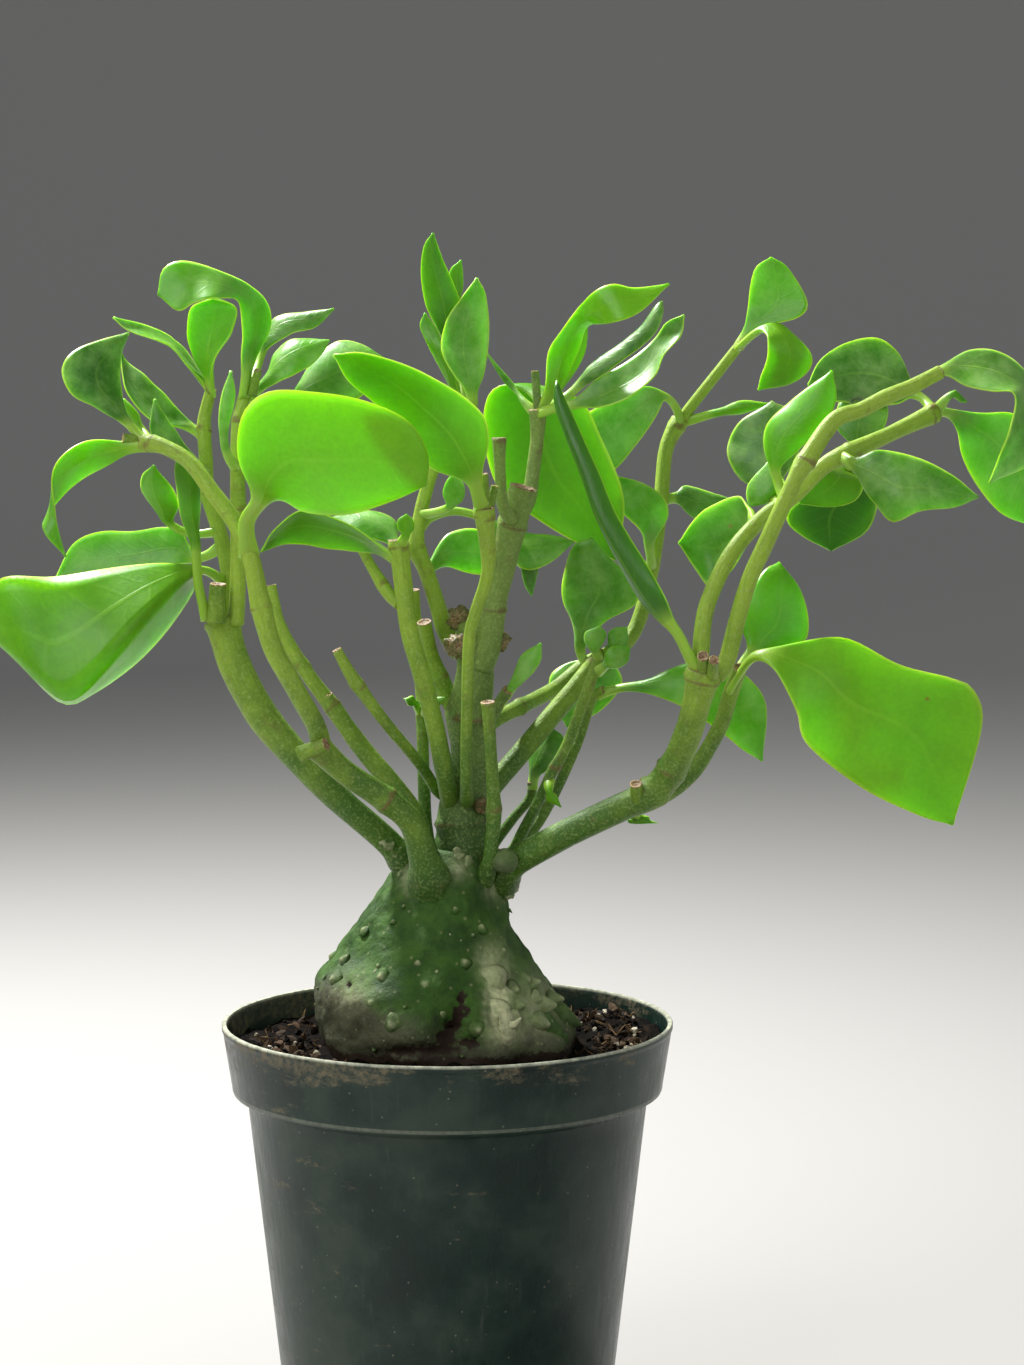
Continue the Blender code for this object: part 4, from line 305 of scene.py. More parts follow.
def stem(route, radii, rings=(), sides=STEM_SIDES, tone=None):
    """A stem along the route, with a pair of leaf scars at the given shares of its length and a cut end."""
    line = smooth_line(route)
    length = walk(line)[-1]
    count = max(4, round(length / STEM_STEP))
    places, shares = even(line, count)
    frames = frames_along(places)
    per_radius = (len(line) - 1) / (len(radii) - 1)
    scars = [share * length for share in rings]
    grown = []
    for i, (place, share, (u, v, _)) in enumerate(zip(places, shares, frames)):
        here, row = length * i / count, []
        foot = bell(off_caudex(place) / FOOT_REACH)
        radius = between(radii, share / per_radius) * (1 + FOOT_FLARE * foot)
        # darker near the crown and lighter higher up: partly older skin, partly painted shade and light
        green = TONE_RISE * clip((place.z - CROWN_HEIGHT) / GREEN_RISE) + OLD_AND_SHADED_TONE if tone is None else tone
        for turn in turns(sides):
            scar, swell = scarred(here, turn, radius, scars)
            out = u * math.cos(turn) + v * math.sin(turn)
            rough = 0.035 * noise.noise(place * 0.09 + out * 0.8)
            rough += 0.014 * noise.noise(place * 0.35 + out * 2)
            rough += 0.012 * math.sin(5 * turn + place.z * 0.03)
            size = radius * (1 + SCAR_RISE * scar + SWELL_RISE * swell + rough)
            row.append(WOOD.add(place + out * size, scar, 0.55 if i == count else 0.0,
                                green - FOOT_DARK * foot, math.cos(turn) * radius,
                                math.sin(turn) * radius, here))
        grown.append(row)
    tip, (u, v, ahead), radius = places[-1], frames[-1], radii[-1]
    for share, sink, dry in CUT_END:
        row = []
        for j, turn in enumerate(turns(sides)):
            torn = 1 + 0.05 * math.sin(5.0 * j) + 0.03 * math.sin(11.0 * j)
            rise = ahead * (0.10 * radius * math.sin(3.1 * j) * (share > 0.8) - sink)
            out = (u * math.cos(turn) + v * math.sin(turn)) * radius * share * torn
            row.append(WOOD.add(tip + out + rise, 0.0, dry, 0.0, math.cos(turn) * radius,
                                math.sin(turn) * radius, length))
        grown.append(row)
    WOOD.close(grown)


def stub(route, radius):
    """A short cut or broken side stem."""
    stem(route, [radius * 1.12, radius, radius * 0.9], sides=STUB_SIDES, tone=0.0)


def ball(grown, centre, radius, levels, skin, flat=1.0):
    """A lumpy ball; for each direction, skin gives how far it swells out and the values of the point."""
    rows = []
    for i in range(1, levels):
        lean, row = math.pi * i / levels, []
        for turn in turns(BALL_SIDES):
            out = Vector((math.sin(lean) * math.cos(turn), math.sin(lean) * math.sin(turn),
                          math.cos(lean) * flat))
            lump, values = skin(out)
            row.append(grown.add(centre + out * radius * (1 + lump), *values))
        rows.append(row)
    grown.close(rows[::-1])


def knob(point, radius):
    """A rough lump of dried callus on a stem."""
    centre = at(point)

    def skin(out):
        lump = noise.noise(centre * 0.3 + out * 1.6) * 0.5 + noise.noise(out * 4.0 + centre) * 0.3
        lump -= 0.12 * abs(noise.noise(out * 8.0 + centre))
        return lump, (0.6 + lump, 0.5 - 0.6 * lump, -0.2, *(out * radius))

    ball(WOOD, centre, radius, KNOB_LEVELS, skin)


def spread_ends(a, b, stalk):
    """Keeps a blade's two edges apart where they meet: as wide as the stalk there, and blunt at the tip."""
    long = len(a) - 1
    at_base, at_tip = (a[4] - b[4]).normalized(), (a[long - 2] - b[long - 2]).normalized()
    for i in range(long + 1):
        least, toward = LEAF_TIP, at_tip
        if i < long / 2:
            least, toward = stalk * max(0.0, 1 - 3.0 * i / long), at_base
        span, centre = a[i] - b[i], (a[i] + b[i]) / 2
        near = math.exp(-span.length / 4.0)
        heading = (span.normalized() * (1 - near) + toward * near) if span.length > 1e-6 else toward
        half = heading.normalized() * math.hypot(span.length, least) / 2
        a[i], b[i] = centre + half, centre - half


def blade(a, b, spine, cup, seed):
    """Rows of places from one edge of a blade to the other, cupped, or folded along a spine."""
    rows, long = [], len(a) - 1
    for i in range(long + 1):
        along = a[min(i + 1, long)] + b[min(i + 1, long)] - a[max(i - 1, 0)] - b[max(i - 1, 0)]
        span = a[i] - b[i]
        face = along.cross(span).normalized()
        rise = max(0.0, math.sin(math.pi * i / long))
        lift = face * cup * rise ** 0.6
        row = []
        for j in range(LEAF_WIDE + 1):
            s = 2 * j / LEAF_WIDE - 1
            if spine:
                fold = 1 - math.sqrt(s * s + 0.012) * (1 - 0.06 * (1 - abs(s)))
                crease = spine[i].lerp((a[i] + b[i]) / 2, math.exp(-3.0 * i) + math.exp(-3.0 * (long - i)))
                place = (b[i] if s > 0 else a[i]).lerp(crease, max(0.0, fold))
            else:
                place = a[i].lerp(b[i], j / LEAF_WIDE) + lift * (1 - s * s)
            wave = noise.noise(Vector((seed, i * 5.0 / long, 3.0 * (s > 0))))
            wave *= rise * min(1.0, span.length / 25)
            row.append(place + face * (1.5 * wave * s * s))
        rows.append(row)
    return rows


def leaf(petiole, left, right, tip, cup=0.0, mid=None, tone=0.0, stalk=STALK_WIDE):
    """A leaf in one piece: a stalk that flattens into a blade between two edges, from its end to the tip."""
    base = petiole[-1]
    seed = base[0] * 0.37 + base[1] * 0.21
    long = LONG_LEAF if len(left) > 3 else SHORT_LEAF
    a, b = (even(smooth_line([base, *edge, tip]), long)[0] for edge in (left, right))
    spine = even(smooth_line([base, *mid, tip]), long)[0] if mid else None
    length = walk([(p + q) / 2 for p, q in zip(a, b)])[-1]
    spread_ends(a, b, stalk)
    rows = blade(a, b, spine, cup, seed)
    # each row's share of the blade's length, and how round it still is
    kinds = [(i / long, bell(length * i / long / STALK_REACH)) for i in range(long + 1)]
    line = smooth_line(petiole)
    count = max(3, round(walk(line)[-1] / STALK_STEP))
    places, _ = even(line, count)
    side, ahead = (rows[0][0] - rows[0][-1]).normalized(), (rows[0][0] + rows[0][-1]) / 2
    for k in reversed(range(count)):
        tangent = (ahead - places[k]).normalized()
        side, ahead = (side - tangent * side.dot(tangent)).normalized(), places[k]
        flare = 1 + 0.35 * bell(k / 3.0)
        rows.insert(0, [ahead + side * stalk * flare * (0.5 - j / LEAF_WIDE) for j in range(LEAF_WIDE + 1)])
        kinds.insert(0, (-0.1, 1.0))
    # the stalk and the blade are eased into each other
    for _ in range(EASINGS):
        eased = [row[:] for row in rows]
        for i in range(1, len(rows) - 1):
            ease = 0.5 * bell((i - count - 0.5) / 3.2)
            for j in range(LEAF_WIDE + 1):
                eased[i][j] = rows[i][j].lerp((rows[i - 1][j] + rows[i + 1][j]) / 2, ease)
        rows = eased
    # which face is the upper one is read in the middle of the blade
    high, half = len(rows) - 1, LEAF_WIDE // 2
    middle, after = rows[high - long // 2], rows[high - long // 2 + 1]
    top = 1 if (middle[half + 1] - middle[half - 1]).cross(after[half] - middle[half]).z > 0 else -1
    loops = []
    for i, (along, round_) in enumerate(kinds):
        near, loop = min(i, high - 1), []
        for face in (1, -1):
            for j in range(LEAF_WIDE + 1)[::face]:
                s = 2 * j / LEAF_WIDE - 1
                up = rows[near + 1][j] - rows[max(near - 1, 0)][j]
                over = rows[near][min(j + 1, LEAF_WIDE)] - rows[near][max(j - 1, 0)]
                flat = LEAF_THICK * (0.5 - 0.27 * abs(s) ** 3)
                if not spine:
                    rib = bell(s * 5) * max(0.0, 1 - max(along, 0) * 1.15)
                    flat += rib * (-0.16 if face == top else 0.5)
                tube = STALK_THICK / 2 * math.sqrt(max(0.0, 1 - s * s * 0.94))
                depth = flat * (1 - round_) + tube * round_
                if spine:
                    # this leaf is folded beside its midrib, which lies in its upper half
                    s = (s + 0.5) * (2.0 if s < -0.5 else 2 / 3)
                # the tone, set per leaf with a random touch, carries painted light and shade into the blade's
                # colour
                loop.append(BLADES.add(rows[i][j] + over.cross(up).normalized() * face * depth, s, along,
                                       1.0 if face == top else 0.0, tone + 0.25 * math.sin(seed * 3.1)))
        loops.append(loop[::-1])
    BLADES.close(loops)


def dress(name):
    """Ends a stem: its wood and its leaves become pieces that stand for the CAD node."""
    skin, slot = ("trunk", "green_bark") if name == "trunk" else ("stem", "green_stem")
    WOOD.become(f"{name}_wood", skin, name, slot)
    if BLADES.points:
        BLADES.become(f"{name}_leaves", "leaf", name, "leaf_green")


# ---- materials ----

# Map Range reads 0 the value, 1 and 2 where it runs from and to, 3 and 4 what that becomes (0 to 1).
# A colour Mix reads 0 the share, 6 and 7 the two colours.
RANGE, MATH, MIX = "ShaderNodeMapRange", "ShaderNodeMath", "ShaderNodeMix"
NOISE, SPOTS = "ShaderNodeTexNoise", "ShaderNodeTexVoronoi"
SOFT = {"interpolation_type": "SMOOTHSTEP"}
COLOUR = {"data_type": "RGBA", "out": 2}
SUM, TIMES, MOST, SCALED = ({"operation": kind} for kind in ("ADD", "MULTIPLY", "MAXIMUM", "MULTIPLY_ADD"))


def paint(code):
    """An sRGB hex colour as linear values."""
    parts = [int(code[i:i + 2], 16) / 255 for i in (1, 3, 5)]
    return tuple(c / 12.92 if c < 0.04045 else ((c + 0.055) / 1.055) ** 2.4 for c in parts) + (1.0,)


def per(mm):
    """The scale that makes one cell of a pattern this many mm wide."""
    return 1000.0 / mm


def give(tree, socket, value):
    """Sets a socket to a value, or links another node's output to it."""
    if isinstance(value, bpy.types.NodeSocket):
        tree.links.new(value, socket)
    else:
        socket.default_value = value


def add(tree, kind, inputs=(), out=0, **settings):
    """Adds a node with its settings; each input is a value or another node's output. Gives its output."""
    made = tree.nodes.new(kind)
    for key, value in settings.items():
        setattr(made, key, value)
    for key, value in dict(inputs).items():
        give(tree, made.inputs[key], value)
    return made.outputs[out]


def start(name, *marks):
    """A new material and its tree, the place on the object, and the values that the mesh carries."""
    made = bpy.data.materials.new(name)
    made.use_nodes = True
    tree = made.node_tree
    return (made, tree, add(tree, "ShaderNodeTexCoord", out="Object"),
            *[add(tree, "ShaderNodeAttribute", attribute_name=mark, out="Fac") for mark in marks])


def finished(made, skin, layers, bumps, **values):
    """Sets the shader: a skin under layers of (share, colour), with bumps of (height, depth in mm)."""
    tree = made.node_tree
    shader = tree.nodes["Principled BSDF"]
    for share, hue in layers:
        skin = add(tree, MIX, {0: share, 6: skin, 7: paint(hue) if isinstance(hue, str) else hue}, **COLOUR)
    normal = {}
    for height, depth in bumps:
        normal = {"Normal": add(tree, "ShaderNodeBump", {"Height": height, "Distance": depth * MM, **normal})}
    for key, value in {"Base Color": skin, **normal, **values}.items():
        give(tree, shader.inputs[key.replace("_", " ")], value)
    return made


def waxy_leaf():
    """Thick waxy leaf, grown: light glows through it yellow-green, and its colour also carries painted
    backlight and painted shade; its skin has a soft whitish gloss, partly a painted sheen.
    """
    made, tree, place, across, along, upper, tone = start("waxy_leaf", "across", "along", "upper", "tone")
    off = add(tree, MATH, {0: across}, operation="ABSOLUTE")
    cloud = add(tree, NOISE, {"Vector": place, "Scale": per(26), "Detail": 3.0, "Roughness": 0.55})
    fine = add(tree, NOISE, {"Vector": place, "Scale": per(1.7), "Detail": 4.0, "Roughness": 0.6})
    # each leaf runs from a shaded dark green to a backlit yellow-green as its tone rises: the tone is partly
    # random and partly painted light, high on sunlit, backlit leaves and low on leaves in shade
    depth = add(tree, RANGE, {0: add(tree, MATH, {0: cloud, 1: tone}, **SUM), 1: -0.2, 2: 0.95})
    under, face = (add(tree, MIX, {0: depth, 6: paint(deep), 7: paint(light)}, **COLOUR)
                   for deep, light in (("#3a7210", "#7cbc0a"), ("#235c08", "#68b600")))
    blade = add(tree, MIX, {0: upper, 6: under, 7: face}, **COLOUR)
    grain = add(tree, RANGE, {0: fine, 1: 0.35, 2: 0.75, 3: 0.0, 4: 0.16})
    # side veins run from the midrib toward the tip, about 6 mm apart, sunk and hardly paler
    slant = add(tree, MATH, {0: off, 1: -0.16, 2: along}, **SCALED)
    wavy = add(tree, MATH, {0: cloud, 1: 0.09, 2: slant}, **SCALED)
    comb = add(tree, MATH, {0: add(tree, MATH, {0: wavy, 1: 58.0}, **TIMES)}, operation="SINE")
    vein = add(tree, RANGE, {0: comb, 1: 0.8, 2: 1.0}, **SOFT)
    vein = add(tree, MATH, {0: vein, 1: add(tree, RANGE, {0: off, 1: 0.95, 2: 0.6})}, **TIMES)
    rib = add(tree, RANGE, {0: off, 1: 0.055, 2: 0.02}, **SOFT)
    fading = add(tree, RANGE, {0: along, 1: 0.95, 2: 0.3, 3: 0.1, 4: 1.0})
    rib = add(tree, MATH, {0: rib, 1: fading}, **TIMES)
    rim = add(tree, RANGE, {0: off, 1: 0.93, 2: 0.995, 3: 0.0, 4: 0.7}, **SOFT)
    line = add(tree, MATH, {0: vein, 1: 0.035}, **TIMES)
    line = add(tree, MATH, {0: line, 1: add(tree, MATH, {0: rib, 1: 0.2}, **TIMES)}, **MOST)
    line = add(tree, MATH, {0: line, 1: rim}, **MOST)
    stalk = add(tree, RANGE, {0: along, 1: 0.1, 2: -0.05}, **SOFT)
    # a few dead spots
    cell = add(tree, SPOTS, {"Vector": place, "Scale": per(24), "Randomness": 1.0})
    speck = add(tree, RANGE, {0: cell, 1: 0.05, 2: 0.025, 3: 0.0, 4: 0.8}, **SOFT)
    # a whitish layer lies on the upper face in patches, thicker on the darker leaves: partly a real waxy bloom
    # and partly a painted sheen
    bloom = add(tree, NOISE, {"Vector": place, "Scale": per(11), "Detail": 6.0, "Roughness": 0.68})
    wax_and_sheen = add(tree, RANGE, {0: bloom, 1: 0.3, 2: 0.75, 3: 0.0, 4: 0.4}, **SOFT)
    wax_and_sheen = add(tree, MATH, {0: wax_and_sheen, 1: upper}, **TIMES)
    thick = add(tree, RANGE, {0: tone, 1: 0.45, 2: 0.2, 3: 0.1, 4: 1.0})
    wax_and_sheen = add(tree, MATH, {0: wax_and_sheen, 1: thick}, **TIMES)
    dull = add(tree, RANGE, {0: bloom, 1: 0.3, 2: 0.7, 3: 0.3, 4: 0.48})
    sunk = add(tree, MATH, {0: rib, 1: add(tree, MATH, {0: vein, 1: 0.4}, **TIMES)}, **MOST)
    sunk = add(tree, MATH, {0: sunk, 1: -1.0}, **TIMES)
    return finished(made, blade, [(grain, "#1f5c08"), (line, "#a4cf3c"), (stalk, "#98bf3f"),
                                  (speck, "#8a6a24"), (wax_and_sheen, "#bcd68e")],
                    [(sunk, 0.07), (fine, 0.07)], Roughness=dull, IOR=1.45, Subsurface_Weight=1.0,
                    Subsurface_Radius=(0.75, 1.0, 0.1), Subsurface_Scale=2.4 * MM, Specular_IOR_Level=0.36,
                    Coat_Weight=0.1, Coat_Roughness=0.35)


def green_stem(name, fresh, dark, tan, woody):
    """Young stem skin, grown: pale green with corky dots, tan leaf scars, and a dry tan cut end."""
    made, tree, place, ring, cut, tone, round_x, round_y, run = start(
        name, "ring", "cut", "tone", "round_x", "round_y", "run")
    cloud = add(tree, NOISE, {"Vector": place, "Scale": per(14), "Detail": 4.0, "Roughness": 0.6})
    fine = add(tree, NOISE, {"Vector": place, "Scale": per(1.0), "Detail": 3.0, "Roughness": 0.6})
    scrape = add(tree, NOISE, {"Vector": place, "Scale": per(6.5), "Detail": 6.0, "Roughness": 0.7})
    # the tone darkens the skin toward the crown: partly older skin, partly painted shade
    level = add(tree, MATH, {0: cloud, 1: 0.5, 2: tone}, **SCALED)
    mask = add(tree, RANGE, {0: level, 1: 0.05, 2: 0.5}, **SOFT)
    skin = add(tree, MIX, {0: mask, 6: paint(dark), 7: paint(fresh)}, **COLOUR)
    # at its foot a stem is as dark as the caudex
    deep = add(tree, RANGE, {0: tone, 1: -0.25, 2: -0.85}, **SOFT)
    # the skin is finely ribbed lengthwise: 1 mm across and eight times as long
    drawn = add(tree, MATH, {0: run, 1: 0.12}, **TIMES)
    around = add(tree, "ShaderNodeCombineXYZ", {"X": round_x, "Y": round_y, "Z": drawn})
    ribs = add(tree, NOISE, {"Vector": around, "Scale": 1.1, "Detail": 4.0, "Roughness": 0.65})
    pits = add(tree, RANGE, {0: ribs, 1: 0.3, 2: 0.7, 3: 0.0, 4: 0.3})
    grain = add(tree, RANGE, {0: fine, 1: 0.5, 2: 0.7, 3: 0.0, 4: 0.35})
    # corky dots of half a mm, about 2 mm apart
    cell = add(tree, SPOTS, {"Vector": place, "Scale": per(1.9), "Randomness": 1.0})
    dots = add(tree, RANGE, {0: cell, 1: 0.22, 2: 0.08, 3: 0.0, 4: 0.2}, **SOFT)
    brown = add(tree, RANGE, {0: scrape, 1: 0.56, 2: 0.7, 3: 0.0, 4: woody}, **SOFT)
    worn = add(tree, RANGE, {0: scrape, 1: 0.3, 2: 0.6, 3: 0.4, 4: 1.0})
    worn = add(tree, MATH, {0: ring, 1: worn}, **TIMES)
    scar = add(tree, RANGE, {0: worn, 1: 0.3, 2: 0.8, 3: 0.0, 4: 0.8})
    scar = add(tree, MATH, {0: brown, 1: scar}, **MOST)
    dry = add(tree, RANGE, {0: cut, 1: 0.3, 2: 0.65}, **SOFT)
    end = add(tree, MIX, {0: add(tree, RANGE, {0: fine, 1: 0.35, 2: 0.65}), 6: paint("#6a4a34"),
                          7: paint("#b59c74")}, **COLOUR)
    dull = add(tree, RANGE, {0: cloud, 1: 0.3, 2: 0.7, 3: 0.38, 4: 0.55})
    return finished(made, skin, [(deep, "#38581c"), (pits, dark), (grain, "#b4c878"), (dots, "#bfc788"),
                                 (scar, tan), (dry, end)],
                    [(scrape, 0.35), (ribs, 0.3), (dots, 0.12), (fine, 0.25)], Roughness=dull, IOR=1.45,
                    Subsurface_Weight=0.35, Subsurface_Radius=(0.8, 1.0, 0.3), Subsurface_Scale=1.5 * MM,
                    Specular_IOR_Level=0.36)


def caudex_skin():
    """Caudex skin, grown: green at the crown, mottled grey and tan lower down, pale patches partly painted
    sunlight, soil stuck to its foot, and painted shade in its cleft and pits.
    """
    made, tree, place, green, pale, dirt_and_shade = start("warty_caudex_skin", "green", "pale", "dirt_and_shade")
    cloud = add(tree, NOISE, {"Vector": place, "Scale": per(11), "Detail": 6.0, "Roughness": 0.65,
                              "Distortion": 0.4})
    fine = add(tree, NOISE, {"Vector": place, "Scale": per(2.2), "Detail": 5.0, "Roughness": 0.65})
    patch = add(tree, RANGE, {0: cloud, 1: 0.32, 2: 0.68}, **SOFT)
    moss, bark = (add(tree, MIX, {0: patch, 6: paint(deep), 7: paint(light)}, **COLOUR)
                  for deep, light in (("#23420f", "#3f6120"), ("#2d2f1d", "#53553d")))
    level = add(tree, MATH, {0: green, 1: add(tree, MATH, {0: cloud, 1: -0.5}, **SUM)}, **SUM)
    mask = add(tree, RANGE, {0: level, 1: 0.2, 2: 0.8}, **SOFT)
    skin = add(tree, MIX, {0: mask, 6: bark, 7: moss}, **COLOUR)
    # pale where the pale dabs lie: partly pale dusty skin, partly painted sunlight
    dust_and_sunlight = add(tree, RANGE, {0: fine, 1: 0.3, 2: 0.6, 3: 0.55, 4: 1.0})
    dust_and_sunlight = add(tree, MATH, {0: pale, 1: dust_and_sunlight}, **TIMES)
    cell = add(tree, SPOTS, {"Vector": place, "Scale": per(4.2), "Randomness": 1.0})
    dots = add(tree, RANGE, {0: cell, 1: 0.2, 2: 0.05, 3: 0.0, 4: 0.35}, **SOFT)
    # dark brown: soil stuck at the foot, and painted shade in the cleft and pits
    crumbs = add(tree, MATH, {0: dirt_and_shade, 1: add(tree, MATH, {0: fine, 1: -0.5}, **SUM)}, **SUM)
    soil_and_shade_mask = add(tree, RANGE, {0: crumbs, 1: 0.3, 2: 0.6}, **SOFT)
    dull = add(tree, RANGE, {0: cloud, 1: 0.3, 2: 0.7, 3: 0.58, 4: 0.8})
    return finished(made, skin, [(dust_and_sunlight, "#e2e3b2"), (dots, "#a9a67c"), (soil_and_shade_mask, "#2a1d12")],
                    [(cloud, 0.7), (fine, 0.6)], Roughness=dull, IOR=1.45, Specular_IOR_Level=0.3,
                    Subsurface_Weight=0.15, Subsurface_Radius=(0.8, 1.0, 0.4), Subsurface_Scale=1.0 * MM)


def moulded_pot():
    """Dark green polypropylene, injection moulded: satin, worn pale on the rim with a painted highlight there
    and on the lip's lower edge, and dusty under the lip.
    """
    made, tree, place = start("moulded_polypropylene")
    side, height = (add(tree, "ShaderNodeSeparateXYZ", {0: place}, out=axis) for axis in "XZ")
    # faint scuffs run down the wall, 2 mm across and many times as long
    down = add(tree, "ShaderNodeMapping", {"Vector": place, "Scale": (1.0, 1.0, 0.06)})
    streak = add(tree, NOISE, {"Vector": down, "Scale": per(2.2), "Detail": 5.0, "Roughness": 0.7})
    scuff = add(tree, RANGE, {0: streak, 1: 0.55, 2: 0.8, 3: 0.0, 4: 0.14}, **SOFT)
    cloud = add(tree, NOISE, {"Vector": place, "Scale": per(30), "Detail": 5.0, "Roughness": 0.6})
    fine = add(tree, NOISE, {"Vector": place, "Scale": per(0.8), "Detail": 3.0, "Roughness": 0.6})
    grit = add(tree, NOISE, {"Vector": place, "Scale": per(2.6), "Detail": 8.0, "Roughness": 0.75})
    base = add(tree, MIX, {0: add(tree, RANGE, {0: cloud, 1: 0.3, 2: 0.7}), 6: paint("#0b1c17"),
                           7: paint("#15332b")}, **COLOUR)
    # a film of dust lies over the whole wall, in broad patches
    film = add(tree, RANGE, {0: cloud, 1: 0.42, 2: 0.72, 3: 0.0, 4: 0.2}, **SOFT)
    # dried soil in thin smears, thickest just under the rim and to the left
    flat = add(tree, "ShaderNodeMapping", {"Vector": place, "Scale": (0.35, 0.35, 1.0)})
    smudge = add(tree, NOISE, {"Vector": flat, "Scale": per(7), "Detail": 7.0, "Roughness": 0.7})
    rise = add(tree, RANGE, {0: height, 1: (POT_HEIGHT - 13) * MM, 2: (POT_HEIGHT - 1.5) * MM,
                             3: 0.0, 4: 0.2})
    left = add(tree, RANGE, {0: side, 1: 30 * MM, 2: -60 * MM, 3: -0.04, 4: 0.07})
    level = add(tree, MATH, {0: add(tree, MATH, {0: smudge, 1: rise}, **SUM), 1: left}, **SUM)
    smear = add(tree, RANGE, {0: level, 1: 0.62, 2: 0.74, 3: 0.0, 4: 0.7}, **SOFT)
    smear = add(tree, MATH, {0: smear, 1: add(tree, RANGE, {0: grit, 1: 0.4, 2: 0.6})}, **TIMES)
    cell = add(tree, SPOTS, {"Vector": place, "Scale": per(5), "Randomness": 1.0})
    speck = add(tree, RANGE, {0: cell, 1: 0.1, 2: 0.04, 3: 0.0, 4: 0.3}, **SOFT)
    # the top of the rim and the lip's lower edge are painted pale: partly wear, partly a painted highlight
    # along these edges
    edge = add(tree, RANGE, {0: height, 1: (POT_HEIGHT - 1.2) * MM, 2: (POT_HEIGHT - 0.2) * MM}, **SOFT)
    seam = add(tree, MATH, {0: height, 1: (POT_HEIGHT - LIP_HEIGHT - 0.1) * MM, 2: 0.6 * MM},
               operation="COMPARE")
    edge = add(tree, MATH, {0: edge, 1: add(tree, RANGE, {0: seam, 4: 0.2})}, **MOST)
    wear_and_highlight = add(tree, RANGE, {0: grit, 1: 0.35, 2: 0.6, 3: 0.4, 4: 1.0})
    edge = add(tree, MATH, {0: edge, 1: wear_and_highlight}, **TIMES)
    dull = add(tree, RANGE, {0: streak, 1: 0.35, 2: 0.75, 3: 0.24, 4: 0.42})
    for dusty, amount in ((smear, 0.45), (film, 0.6)):
        dull = add(tree, MATH, {0: dusty, 1: amount, 2: dull}, **SCALED)
    return finished(made, base, [(scuff, "#6b7566"), (film, "#5f5a48"), (smear, "#7d7258"),
                                 (speck, "#a39a80"), (edge, "#c3c5ae")],
                    [(grit, 0.06), (fine, 0.03)], Roughness=dull, IOR=1.49, Specular_IOR_Level=0.34)


def potting_mix():
    """Peat potting mix, sifted and settled: near black, partly damp peat and partly painted shade, with specks
    of brown fibre.
    """
    made, tree, place = start("peat_potting_mix")
    cloud = add(tree, NOISE, {"Vector": place, "Scale": per(9), "Detail": 8.0, "Roughness": 0.75})
    fine = add(tree, NOISE, {"Vector": place, "Scale": per(1.4), "Detail": 5.0, "Roughness": 0.7})
    # the peat and fibre colours are set darker than the peat itself, as painted shade
    shade = add(tree, MIX, {0: add(tree, RANGE, {0: cloud, 1: 0.35, 2: 0.65}), 6: paint("#070504"),
                            7: paint("#19140e")}, **COLOUR)
    cell = add(tree, SPOTS, {"Vector": place, "Scale": per(3.6), "Randomness": 1.0}, out="Color")
    part = add(tree, "ShaderNodeSeparateColor", {0: cell})
    fibre = add(tree, RANGE, {0: part, 1: 0.8, 2: 0.95, 3: 0.0, 4: 0.5})
    return finished(made, shade, [(fibre, "#3d2e1e")], [(cloud, 2.5), (fine, 1.0)], Roughness=0.95, IOR=1.4,
                    Specular_IOR_Level=0.12)


def chip(name, light, dark, rough):
    """Broken bark or mineral crumbs: rough, each a little different in shade."""
    made, tree, place, shade = start(name, "shade")
    grain = add(tree, NOISE, {"Vector": place, "Scale": per(1.8), "Detail": 5.0, "Roughness": 0.7})
    level = add(tree, MATH, {0: shade, 1: add(tree, MATH, {0: grain, 1: -0.5}, **SUM)}, **SUM)
    colour = add(tree, MIX, {0: level, 6: paint(dark), 7: paint(light)}, **COLOUR)
    return finished(made, colour, [], [(grain, 0.6)], Roughness=rough, IOR=1.45, Specular_IOR_Level=0.25)


def studio_paper():
    """The studio's own floor and backdrop: matt paper."""
    made = bpy.data.materials.new("studio_paper")
    made.use_nodes = True
    return finished(made, paint("#b0aeaa"), [], [], Roughness=0.9)


MATERIALS = {
    "leaf": waxy_leaf(),
    "stem": green_stem("green_stem_skin", "#9fbe3c", "#466c1f", "#74603a", 0.4),
    "trunk": green_stem("green_trunk_bark", "#829a4a", "#436028", "#6c583a", 0.55),
    "caudex": caudex_skin(),
    "pot": moulded_pot(),
    "soil": potting_mix(),
    # the bark colours are set darker too, as painted shade
    "bark": chip("broken_pine_bark", "#523f2b", "#130d08", 0.85),
    "perlite": chip("expanded_perlite", "#cfc6b0", "#8f8871", 0.9),
    "fibre": chip("coir_fibre", "#94784f", "#50391f", 0.8),
}


# ---- pot ----


def wall_radius(height):
    """Outside radius of the pot wall at a height."""
    lip = POT_HEIGHT - LIP_HEIGHT
    if height >= lip:
        return LIP_RADIUS + LIP_FLARE * (height - lip) / LIP_HEIGHT
    return BASE_RADIUS + TAPER * height / TAPER_HEIGHT


